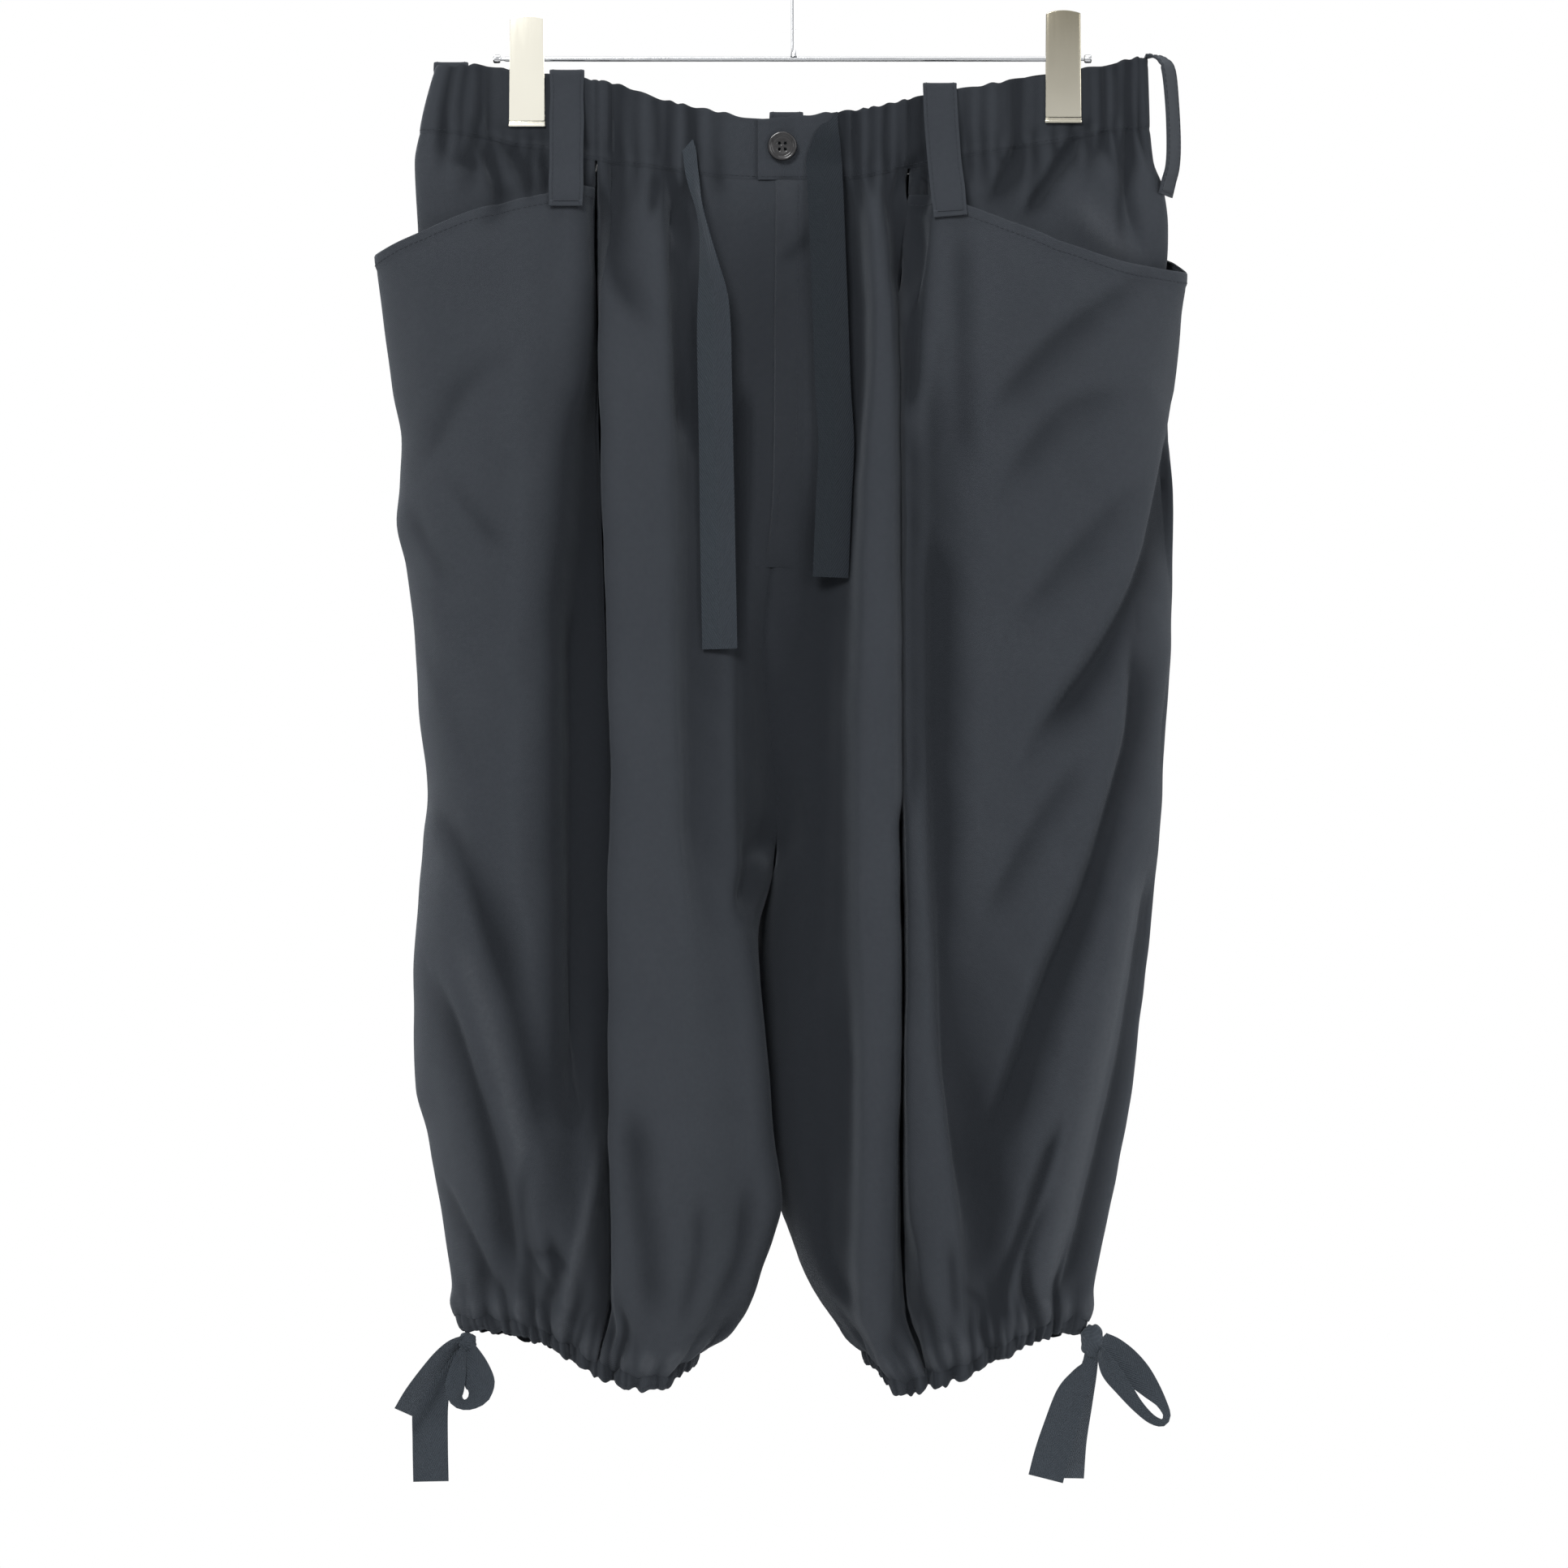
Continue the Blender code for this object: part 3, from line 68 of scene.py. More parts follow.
HOOK_BEND = [(66, 0), (58, 1.2), (48, 6.5), (40, 13)]
CLIPS = {"clip_left": (-144.5, 96.8, 157.0), "clip_right": (146.1, 93.7, 155.0)}
BUTTON_CENTRE = (168.5, -6.2, 17.4)

# ---------------------------------------------------------------- tables

# The lines of cloth that run from the waist seam to the hem seam, in order from the
# centre front round the side to the centre back. A row is (down, across, forward).
RISE_FRONT = [
    (WAIST_DOWN, -6, 16), (260, -7, 21), (352, -8, 25), (440, -16, 23), (484, -13, 20), (528, -9, 13),
    (552, -10, 6), (CROTCH_DOWN, -13, 0),
]
RISE_BACK = [
    (WAIST_DOWN, -4, -16), (240, -4, -30), (352, -4, -38), (440, -5, -37), (484, -6, -32), (528, -8, -20),
    (552, -10, -9), (CROTCH_DOWN, -13, 0),
]
INSEAM_LEFT = [(590, -19, 7), (616, -22, 10), (660, -26, 12), (704, -28, 12), (748, -30, 10), (780, -32, 6),
               (800, -38, 3), (HEM_DOWN, -50, 0)]
INSEAM_RIGHT = [(590, -19.5, -6), (616, -21.5, -9), (660, -22, -10), (700, -19, -8), (725, -13, -7),
                (739, -8, -6), (757, -1, -5), (774, 5, -4), (792, 13, -2), (802, 20, 0),
                (HEM_DOWN, 36, 0)]

FRONT_LEFT = [
    RISE_FRONT + INSEAM_LEFT,
    # inner fold edge
    [(186, -30, 16.5), (260, -29, 22), (352, -29, 26), (440, -28.6, 34), (528, -28.6, 38), (572, -27, 38),
     (616, -19.4, 36), (660, -14, 34), (704, -10, 31), (735, -6, 28), (757, -11, 26), (774, -17, 24),
     (792, -22.4, 20), (806, -31, 16), (818, -51, 12)],
    # hollow under the drawstring
    [(184, -51, 16), (260, -54, 27), (352, -56, 33), (440, -56, 37), (528, -55, 43), (616, -43, 47),
     (704, -36.5, 45), (757, -36.5, 40), (792, -41, 33), (810, -48, 25), (822, -58, 20)],
    # inner shoulder of the pleat
    [(182, -63, 17), (230, -65.6, 36), (260, -65.6, 43), (352, -65.6, 47), (440, -65.6, 49),
     (528, -63, 52), (616, -58.5, 55), (704, -58.5, 54), (757, -61, 50), (792, -62.5, 43), (815, -64, 33),
     (829, -70, 24)],
    # crest of the pleat
    [(180, -78, 17), (230, -82, 38), (260, -84.5, 46), (352, -84, 51), (440, -83, 53), (528, -80.5, 56),
     (616, -81, 58), (704, -81, 57), (757, -82, 53), (792, -82, 46), (815, -83, 36), (829, -84, 25)],
    # sharp outer edge of the pleat
    [(178, -99, 17), (215, -101, 30), (250, -104, 40), (300, -105, 45), (352, -104, 47), (440, -101, 49),
     (528, -98, 51), (572, -100, 52), (616, -100, 53), (704, -99, 53), (757, -97.7, 50), (792, -96, 42),
     (812, -94.6, 34), (826, -97, 24)],
]
SIDE_LEFT = [
    # front side seam, in the trough behind the pleat
    [(176, -107, 15), (215, -107, 17), (260, -106, 22), (352, -104, 24), (440, -101, 26), (528, -98, 28),
     (616, -99, 33), (704, -99, 36), (757, -98, 34), (792, -99, 30), (822, -106, 23)],
    # inner shoulder of the side panel
    [(173, -118, 15), (190, -115, 24), (220, -112, 32), (260, -110, 36), (290, -112, 38),
     (352, -119.7, 39), (396, -123.6, 40), (484, -123.6, 42), (552, -122, 44), (616, -117, 46),
     (704, -112.6, 47), (757, -112, 44), (792, -113, 36), (814, -120, 22)],
    [(170, -131, 11), (193.6, -131, 28), (230, -134, 36), (260, -135, 40), (352, -142, 43),
     (440, -144, 44), (528, -144, 47), (616, -142, 50), (704, -138, 50), (757, -136, 44), (785, -136, 34),
     (806, -134, 21)],
    [(168, -149, 7), (197.6, -149, 30), (240, -152, 38), (300, -156, 41), (396, -157, 42), (484, -157, 44),
     (572, -157, 47), (660, -155, 48), (720, -151, 45), (765, -146, 35), (802, -145, 20)],
    [(164, -166, 9), (203, -171, 29), (240, -177, 36), (300, -180, 39), (396, -178, 39), (484, -177, 41),
     (572, -176, 44), (660, -175, 44.5), (720, -170, 40), (765, -163, 30), (799, -158, 17)],
    [(161, -186, 9), (213, -197, 24), (240, -204, 28), (300, -202, 28), (352, -200, 27), (396, -197, 28),
     (484, -193, 29), (528, -190, 29), (572, -192, 30), (660, -192, 31), (704, -186, 29), (760, -178, 22),
     (798, -172, 12)],
    # outline at the side
    [(160.6, -203, 0), (226.6, -226.5, 6), (237.6, -225.5, 2), (264, -222, 0), (299, -217, 0),
     (326, -212.5, 0), (352, -214, 0), (370, -215.6, 0), (396, -210, 0), (431, -206, 0), (466, -204, 0),
     (519, -198.5, 0), (546, -201, 0), (581, -204, 0), (616, -206, 0), (660, -206, 0), (678, -205, 0),
     (704, -198, 0), (739, -192, 0), (774, -186.5, 0), (798, -184, 0)],
    [(161, -186, -9), (216, -196, -20), (240, -203, -24), (352, -196, -25), (484, -190, -28),
     (572, -190, -30), (660, -190, -31), (704, -184, -28), (760, -176, -20), (800, -174, -12)],
    [(168, -150, -7), (200, -156, -27), (240, -162, -34), (352, -160, -38), (484, -158, -41),
     (572, -158, -44), (660, -157, -46), (720, -154, -42), (765, -148, -32), (806, -148, -20)],
    # back side seam
    [(176, -107, -15), (192, -110, -20), (240, -116, -30), (352, -120, -36), (484, -120, -40),
     (572, -120, -43), (660, -118, -45), (720, -118, -42), (765, -120, -32), (812, -125, -22)],
]
BACK_LEFT = [
    [(178, -92, -17), (240, -98, -36), (352, -100, -44), (484, -100, -48), (572, -99, -51),
     (660, -98, -53), (720, -98, -48), (770, -102, -36), (820, -106, -25)],
    [(180, -76, -16), (240, -78, -30), (352, -80, -38), (484, -80, -44), (572, -78, -48), (660, -76, -50),
     (720, -76, -46), (770, -82, -35), (824, -90, -26)],
    [(182, -52, -17), (240, -52, -36), (352, -52, -45), (484, -52, -49), (572, -52, -52), (616, -54, -53),
     (660, -54, -52), (720, -54, -46), (770, -60, -35), (824, -74, -23)],
    [(185, -26, -16), (240, -26, -31), (352, -26, -39), (440, -27, -41), (484, -28, -38), (528, -30, -34),
     (572, -36, -30), (616, -38, -28), (660, -38, -27), (704, -36, -25), (748, -36, -22), (790, -46, -16),
     (820, -60, -14)],
    RISE_BACK + INSEAM_LEFT,
]
FRONT_RIGHT = [
    RISE_FRONT + INSEAM_RIGHT,
    # flat of the front beside the fly
    [(186.5, 10, 16.5), (260, 10, 22), (352, 10, 26), (440, 8, 26), (528, 8, 27), (572, 6, 27),
     (616, 2, 27), (660, -2, 27), (704, 0, 27), (739, 4, 24), (774, 12, 20), (800, 24, 14),
     (820, 42, 11)],
    # foot of the pleat
    [(186, 32, 16), (215, 34, 20), (260, 37, 25), (352, 32.5, 29), (440, 27, 32), (484, 25.5, 34),
     (572, 26, 36), (616, 27, 37), (660, 30, 37), (704, 29.5, 36), (757, 27.7, 33), (792, 29, 27),
     (806, 34, 22), (826, 47, 18)],
    # crest of the pleat
    [(185, 40, 17), (215, 43, 34), (260, 44, 42), (352, 39, 45), (440, 37, 47), (528, 36, 49),
     (616, 38, 51), (704, 38, 51), (757, 37, 48), (792, 36, 40), (812, 42, 30), (832, 54, 22)],
    # sharp outer edge of the pleat
    [(183, 50, 17), (215, 52, 32), (260, 53, 42), (440, 54.5, 48), (528, 55, 50), (616, 57, 52),
     (704, 55.4, 51), (757, 54, 47), (782, 53, 42), (800, 52, 36), (815, 54, 29), (832, 64, 22)],
]
SIDE_RIGHT = [
    # front side seam, in the slot beside the pleat
    [(180, 62.5, 15), (215, 60.5, 18), (260, 57, 24), (352, 57, 26), (440, 57, 28), (528, 57.5, 31),
     (616, 59, 35), (704, 58, 34), (757, 58.5, 30), (782, 59.5, 28), (800, 61.5, 26), (828, 72, 22)],
    # inner edge of the side panel, lower down the edge of its first ridge
    [(177, 76, 15), (194, 76, 26), (230, 69, 36), (264, 61.5, 40), (308, 60.5, 42), (440, 60.5, 45),
     (528, 61, 48), (616, 61.5, 50), (660, 61, 51), (704, 61, 51), (748, 63, 48), (782, 66, 42),
     (800, 70, 35), (827, 80, 23)],
    # crest of the first ridge
    [(173, 96, 16), (201.5, 95.5, 29), (230, 92, 37), (264, 86, 42), (352, 82, 45), (440, 80, 47),
     (528, 78, 50), (572, 78, 52), (616, 78, 54), (704, 80, 54), (748, 84.5, 51), (782, 87, 44),
     (804, 88, 34), (823, 92, 23)],
    # valley beside it
    [(170, 116, 12), (209, 115, 31), (264, 112, 41), (352, 110, 44), (440, 108, 45), (528, 106, 45),
     (616, 100, 44), (704, 98, 40), (748, 102, 37), (782, 104, 32), (815, 108, 21)],
    [(165, 146, 7), (220, 142, 31), (264, 146, 40), (352, 148, 42), (440, 146, 43), (528, 142, 43),
     (616, 137, 42), (704, 125, 42), (748, 120, 38), (782, 118, 30), (809, 122, 19)],
    [(160, 172, 10), (233, 186, 26), (264, 186, 33), (352, 182, 34), (440, 180, 35), (528, 174, 35),
     (616, 164, 36), (704, 147, 35), (748, 138, 31), (782, 134, 23), (803, 136, 14)],
    # fold beside the outline
    [(159, 188, 7), (236, 213, 4), (264, 209, 6), (308, 203, 8), (352, 202, 9), (440, 203, 10),
     (484, 199, 10), (524, 194.5, 12), (594, 185.7, 14), (677, 170.7, 15), (740, 157.5, 14),
     (774, 148.7, 12), (800, 148, 9)],
    # outline at the side
    [(158.4, 193, 0), (230, 206, -8), (264, 209, -6), (299, 206, -5), (317, 201, -5), (334, 203, -4),
     (370, 206, -3), (396, 205.5, -3), (431, 204.6, -3), (484, 201, -4), (528, 199, -4), (563, 196, -4),
     (598, 193, -4), (642, 188, -4), (678, 183.5, -4), (704, 178.6, -4), (739, 172.5, -4),
     (774, 165.4, -3), (800, 160, -1)],
    [(160, 180, -9), (222, 190, -22), (264, 192, -26), (352, 186, -28), (440, 184, -30), (528, 180, -32),
     (616, 172, -33), (704, 160, -31), (760, 148, -22), (802, 148, -13)],
    [(166, 146, -7), (208, 156, -29), (264, 158, -36), (352, 154, -40), (440, 152, -42), (528, 148, -44),
     (616, 142, -46), (704, 136, -44), (760, 128, -32), (808, 126, -19)],
    # back side seam
    [(172, 107, -15), (192, 110, -20), (264, 114, -32), (352, 116, -38), (440, 116, -41), (528, 114, -44),
     (616, 112, -47), (704, 108, -46), (760, 104, -35), (815, 104, -22)],
]
BACK_RIGHT = [
    [(176, 92, -17), (240, 96, -36), (352, 97, -45), (484, 96, -49), (572, 94, -52), (660, 92, -53),
     (720, 90, -48), (770, 88, -37), (822, 88, -25)],
    [(180, 76, -16), (240, 77, -30), (352, 78, -38), (484, 76, -44), (572, 74, -48), (660, 72, -50),
     (720, 70, -46), (770, 70, -35), (826, 74, -25)],
    [(182, 50, -17), (240, 50, -37), (352, 50, -46), (484, 50, -50), (572, 48, -53), (660, 46, -53),
     (720, 44, -48), (770, 48, -36), (826, 60, -23)],
    [(185, 20, -16), (240, 20, -31), (352, 19, -40), (440, 18, -43), (484, 17, -42), (528, 14, -40),
     (572, 8, -38), (616, 4, -38), (660, 4, -37), (704, 8, -34), (748, 16, -28), (790, 30, -18),
     (822, 46, -14)],
    RISE_BACK + INSEAM_RIGHT,
]
# The hip pieces inside the pocket mouths share their first and last line with the side panels.
HIP_LEFT = [
    SIDE_LEFT[0],
    [(173, -118, 15), (190, -120, 17), (260, -122, 20)],
    [(170, -131, 11), (200, -134, 18), (260, -136, 23)],
    [(168, -149, 7), (195, -150, 16), (260, -152, 24)],
    [(164, -166, 9), (190, -168, 17), (260, -170, 23)],
    [(161, -186, 9), (185, -190, 15), (260, -190, 18)],
    [(160.6, -203, 0), (176, -205.5, 0), (211, -204.5, 0), (260, -203, 0)],
    [(161, -186, -9), (190, -190, -14), (260, -188, -17)],
    [(168, -150, -7), (195, -150, -16), (260, -150, -23)],
    SIDE_LEFT[-1],
]
HIP_RIGHT = [
    SIDE_RIGHT[0],
    [(177, 76, 15), (201, 78, 18), (260, 80, 21)],
    [(173, 96, 16), (205, 97, 20), (260, 98, 24)],
    [(170, 116, 12), (200, 117, 19), (260, 118, 26)],
    [(165, 146, 7), (195, 148, 17), (270, 148, 25)],
    [(160, 172, 10), (190, 176, 17), (270, 176, 20)],
    [(159, 188, 7), (190, 192, 11), (270, 190, 12)],
    [(158.4, 193, 0), (176, 195, 0), (190, 200.5, 0), (211, 203, 0), (232, 202, 0), (270, 198, 0)],
    [(160, 180, -9), (190, 184, -14), (270, 180, -17)],
    [(166, 146, -7), (195, 148, -16), (270, 148, -22)],
    SIDE_RIGHT[-1],
]
# How round the cloth turns at a line: 1 is soft, and the pleats' edges are sharper.
CRISP = {"left": {5: 0.4, 6: 0.25}, "right": {4: 0.4, 5: 0.25, 6: 0.5}}

# Upper edge of the waistband, (across, down), and how far forward it stands there.
TOP_EDGE = [
    (-200, 124), (-170, 123.4), (-154, 126), (-107, 132), (-91.5, 135.5), (-77, 141), (-40, 149.6),
    (-19, 153), (3, 151.5), (36, 148), (69.5, 141), (117, 132), (136, 128.5), (155, 125.5), (172, 123),
    (188, 119.5), (206, 121),
]
TOP_FORWARD = [
    (-200, 8), (-168, 8), (-158, 2.5), (-131, 2.5), (-120, 6), (-90, 12), (-40, 14.5), (40, 14.5),
    (90, 12), (120, 7), (133, 2.5), (159, 2.5), (168, 7), (206, 7),
]
JAW_FORWARD = [
    (-200, 9), (-168, 8.5), (-158, 2.5), (-131, 2.5), (-119, 8), (-90, 14), (-40, 15.5), (40, 15.5),
    (90, 14), (121, 9), (133, 2.5), (159, 2.5), (168, 8), (206, 8),
]

LAP_SLOPE = 1.6  # how much further forward the lapped ends stand at the waist seam than at the top edge
LAP_OVER = [(-19.4, 16.2), (-13, 16.2)]  # (across, forward) of the right end, which laps over
LAP_UNDER = [(8, 12.4), (-4, 12.4), (-14, 12.5)]  # and of the left end, which lies under it
LAP_UNDER_FROM = 0.8  # line number at which the left end joins the waist seam's own course

# Belt loops: the sideways direction of their bands, then rows of (down, across, forward).
BELT_LOOPS = {
    "belt_loop_front_left": ((0, 1, 0), [
        (127, -122.8, 7.3), (140, -122.8, 9.3), (153, -122.8, 12.3), (165, -122.8, 16.5),
        (178, -122.8, 21.5), (190, -122.8, 27.7), (201.5, -122.8, 32.8),
    ]),
    "belt_loop_front_right": ((0, 1, 0), [
        (134.5, 79, 12.8), (150, 79.5, 15.2), (165, 80.5, 17.8), (178, 81.5, 21.5), (192, 83, 27),
        (207, 84.5, 33),
    ]),
    "belt_loop_side_right": ((0, 0.43, -0.9), [
        (118.5, 190.5, 0), (118.6, 195, 0), (120.5, 199.5, 0), (126, 203.2, 0), (145, 205.2, 0),
        (165, 206, 0), (178, 205.4, 0), (187, 203.2, 0), (194, 201.6, 0),
    ]),
    "belt_loop_side_left": ((0, -1, 0), [
        (122, -186, -7.2), (140, -187, -8), (160, -188, -10), (185, -189, -13.5),
    ]),
    "belt_loop_back": ((0, -1, 0), [
        (148.5, -4, -15.3), (165, -4, -17), (180, -4, -18.6), (192, -4, -20.2), (200, -4, -22),
    ]),
}
# Tapes: rows of (down, across, forward, width, turn in degrees).
TAPES = {
    "drawstring_left": [
        (171.6, -56.3, 16.3, 7.5, 10), (183, -55, 20.5, 7.5, 20), (200, -51.5, 27, 8, 60),
        (215.6, -48.4, 30, 10, 58), (233.2, -45.8, 33, 14, 41), (250.8, -43.6, 34, 18, 25),
        (270, -43, 34, 19.4, 18), (287.3, -42.7, 34.5, 19.4, 17), (332.6, -41.8, 36, 19.4, 17),
        (387.2, -40.9, 38, 19.4, 12), (440.4, -39.8, 39.5, 19.4, 12),
    ],
    "drawstring_right": [
        (155, 16.3, 15.9, 19.4, 0), (176, 16.4, 17, 19.4, 1), (182, 16.6, 18.4, 19.4, 2),
        (187, 16.8, 19.8, 19.4, 3), (204, 17.6, 22.3, 19.4, 5), (228, 18.5, 25, 19.4, 6),
        (251, 19.4, 27, 19.4, 6), (298, 21.1, 29.6, 19.4, 4), (330, 22.9, 31.4, 19.4, 2),
        (358.6, 21.6, 32, 19.4, 2), (401.7, 19.8, 33.2, 19.4, 2),
    ],
    "hem_tail_long_left": [
        (820.6, -179.6, 3.5, 7, 10), (828, -186, 1, 12, 20), (838, -193.5, -2, 17, 10),
        (850, -197, -3, 19.4, 4), (870, -197.2, -3, 19.4, 2), (891.4, -196.8, -3, 19.4, 0),
    ],
    "hem_tail_long_right": [
        (825.0, 160.2, 4.2, 7, -10), (829.5, 159.6, 4.5, 10, -9), (836, 155.5, 4.5, 14, -8),
        (845, 150, 4, 17, -6), (862, 144.5, 3, 19, -4), (876, 140, 3, 19.4, -2),
        (889.5, 136.5, 3, 19.4, 0),
    ],
}
# Each hem tie's knot: its centre, its radii and its lean.
KNOTS = {
    "left": ((815.2, -177, 5), (5.2, 5.2, 4.4), 0.5),
    "right": ((815, 161.8, 2.0), (9.5, 6.4, 5.5), -0.35),
}

# Gathers along the front waist seam: (across, depth, half width, length below the seam).
WAIST_GATHERS_FRONT = {
    "left": [
        (-41, 1.2, 3.0, 14), (-55, 2.6, 3.2, 60), (-68.5, 2.2, 3.0, 40), (-75, 1.6, 2.4, 30),
        (-85, 1.6, 3.0, 24), (-94, 2.2, 3.0, 30), (-101.5, 1.6, 2.6, 18), (-112, 1.4, 2.6, 16),
        (-122, 1.2, 2.6, 20), (-136, 1.2, 2.4, 24), (-143, 2.0, 2.4, 34), (-150, 1.6, 2.4, 24),
        (-157.5, 1.4, 2.4, 20), (-164, 2.2, 2.6, 36), (-172, 2.4, 3.0, 40), (-180, 1.6, 2.6, 22),
        (-190, 2.2, 2.8, 26),
    ],
    "right": [
        (26, 1.8, 2.6, 24), (34, 1.8, 2.4, 20), (41.5, 1.6, 2.4, 18), (50, 2.0, 2.6, 34),
        (57, 1.6, 2.4, 20), (65, 2.0, 2.6, 26), (72, 2.2, 2.6, 40), (81, 1.4, 2.4, 20), (88, 1.4, 2.4, 18),
        (95, 2.0, 2.6, 26), (103, 1.8, 2.6, 30), (111, 1.4, 2.6, 20), (121, 2.2, 2.8, 40),
        (131, 2.0, 2.8, 40), (141, 1.6, 2.4, 24), (150, 1.6, 2.4, 24), (159, 2.0, 2.4, 30),
        (167, 1.8, 2.4, 34), (174, 1.8, 2.4, 34), (181, 2.2, 2.4, 40), (188, 1.6, 2.0, 24),
    ],
}
FRONT_GATHER = (1.25, 1.15, 1.1)  # what their depths, widths and lengths are multiplied by
BACK_GATHER_PITCH = 11.0
BACK_GATHER_FIRST, BACK_GATHER_LAST = 14.0, 178.0
BACK_GATHER_DEPTH, BACK_GATHER_HALF, BACK_GATHER_LENGTH = 1.9, 2.8, 34.0
BACK_GATHER_SWAY = 2.2  # how far a gather may stand off its even place
GATHER_UNEVEN = 0.3  # share by which depths and lengths vary
TIGHT_GATHER = (1.5, 0.85, 1.15)  # how a gather's depth, width and length change in a tight stretch
LOOSE_GATHER = (0.8, 1.3, 0.9)  # and elsewhere on the front
HEM_GATHER_PITCH = 8.4
HEM_GATHER_DEPTH, HEM_GATHER_HALF, HEM_GATHER_LENGTH = 1.9, 2.7, 34.0
HEM_FLAT_PAST = 0.52  # of a side line's spacing on each side of the outline stays flat at the tie


# ---------------------------------------------------------------- shapes and curves

def unit(v):
    """Vectors of length 1 in the directions of v."""
    return v / np.maximum(np.linalg.norm(v, axis=-1, keepdims=True), 1e-9)


def soft_step(x):
    """A smooth rise from 0 to 1 while x goes from 0 to 1."""
    x = np.clip(x, 0.0, 1.0)
    return x * x * (3 - 2 * x)


def bell(x):
    """1 at x = 0, falling off smoothly on both sides."""
    return np.exp(-(x ** 2))


def leg_share(v):
    """0 above the crotch, where the halves are open towards each other, and 1 down in the legs."""
    return soft_step((v - CROTCH_V + CROTCH_BLEND_V) / CROTCH_BLEND_V)


def curve(start, end, start_slope, end_slope, t):
    """The cubic curve between two points with given slopes, at shares t of the way."""
    return (start * (1 + 2 * t) * (1 - t) ** 2 + start_slope * t * (1 - t) ** 2
            + end * t * t * (3 - 2 * t) + end_slope * t * t * (t - 1))


def length_along(points):
    """The length along a line of points, from its first one to each."""
    return np.concatenate([[0], np.cumsum(np.linalg.norm(np.diff(points, axis=0), axis=1))])


def line_width(points, a):
    """Millimetres per line number over a grid or a row of points."""
    round_it = a.ndim - 1
    step = np.linalg.norm(np.gradient(points, axis=round_it), axis=-1)
    return step / np.maximum(np.gradient(a, axis=round_it), 1e-9)


def between(rows, at):
    """A table's other columns at each value of its first, on a smooth curve that never overshoots."""
    rows = np.array(rows, float)
    x, y = rows[:, 0], rows[:, 1:]
    at = np.clip(np.atleast_1d(np.asarray(at, float)), x[0], x[-1])
    step = np.diff(x)[:, None]
    slope = np.diff(y, axis=0) / step
    tangent = np.zeros_like(y)
    tangent[0], tangent[-1] = slope[0], slope[-1]
    before, after = slope[:-1], slope[1:]
    agree = before * after > 0
    tangent[1:-1] = np.where(agree, 2 * before * after / np.where(agree, before + after, 1), 0)
    i = np.clip(np.searchsorted(x, at, side="right") - 1, 0, len(x) - 2)
    h = step[i]
    t = (at - x[i])[:, None] / h
    return curve(y[i], y[i + 1], tangent[i] * h, tangent[i + 1] * h, t)


def smooth_path(rows, spacing):
    """Rows on a smooth curve through all the given ones, about spacing millimetres apart."""
    rows = np.array(rows, float)
    padded = np.concatenate([2 * rows[:1] - rows[1:2], rows, 2 * rows[-1:] - rows[-2:-1]])
    found = []
    for k in range(len(rows) - 1):
        p0, p1, p2, p3 = padded[k:k + 4]
        steps = max(2, round(np.linalg.norm((p2 - p1)[:3]) / spacing))
        t = (np.arange(steps) / steps)[:, None]
        found.append(0.5 * (
            2 * p1 + (p2 - p0) * t + (2 * p0 - 5 * p1 + 4 * p2 - p3) * t ** 2
            + (3 * p1 - p0 - 3 * p2 + p3) * t ** 3
        ))
    return np.concatenate(found + [rows[-1:]])


def to_world(p):
    """Metres in the part's frame from (down, across, forward) in millimetres."""
    p = np.asarray(p, float)
    return np.stack([p[..., 1], -p[..., 2], -p[..., 0]], axis=-1) * MM


def groove(down, across, path, left, right, fade):
    """How much of its depth a crease has at each place, with sides as wide as left and right."""
    path = smooth_path(path, 6.0)
    reach = 3.0 * max(left, right)
    low, high = path.min(axis=0) - reach, path.max(axis=0) + reach
    inside = (down > low[0]) & (down < high[0]) & (across > low[1]) & (across < high[1])
    depth = np.zeros(down.shape)
    down, across = down[inside], across[inside]
    nearest = np.full(down.shape, 1e9)
    side, along = np.ones(down.shape), np.zeros(down.shape)
    travelled = 0.0
    for m, n in zip(path, path[1:]):
        step = n - m
        length = math.hypot(*step)
        t = np.clip(((down - m[0]) * step[0] + (across - m[1]) * step[1]) / length ** 2, 0, 1)
        off = down - m[0] - t * step[0], across - m[1] - t * step[1]
        far = np.hypot(*off)
        closer = far < nearest
        nearest = np.where(closer, far, nearest)
        side = np.where(closer, np.sign(step[0] * off[1] - step[1] * off[0]), side)
        along = np.where(closer, travelled + t * length, along)
        travelled += length
    fade = min(fade + 2.4 * max(left, right), travelled / 2.2)
    ends = soft_step((along + 0.3 * fade) / fade) * soft_step((travelled - along + 0.3 * fade) / fade)
    depth[inside] = ends * bell(nearest / np.where(side > 0, right, left))
    return depth


# ---------------------------------------------------------------- the cloth of one half

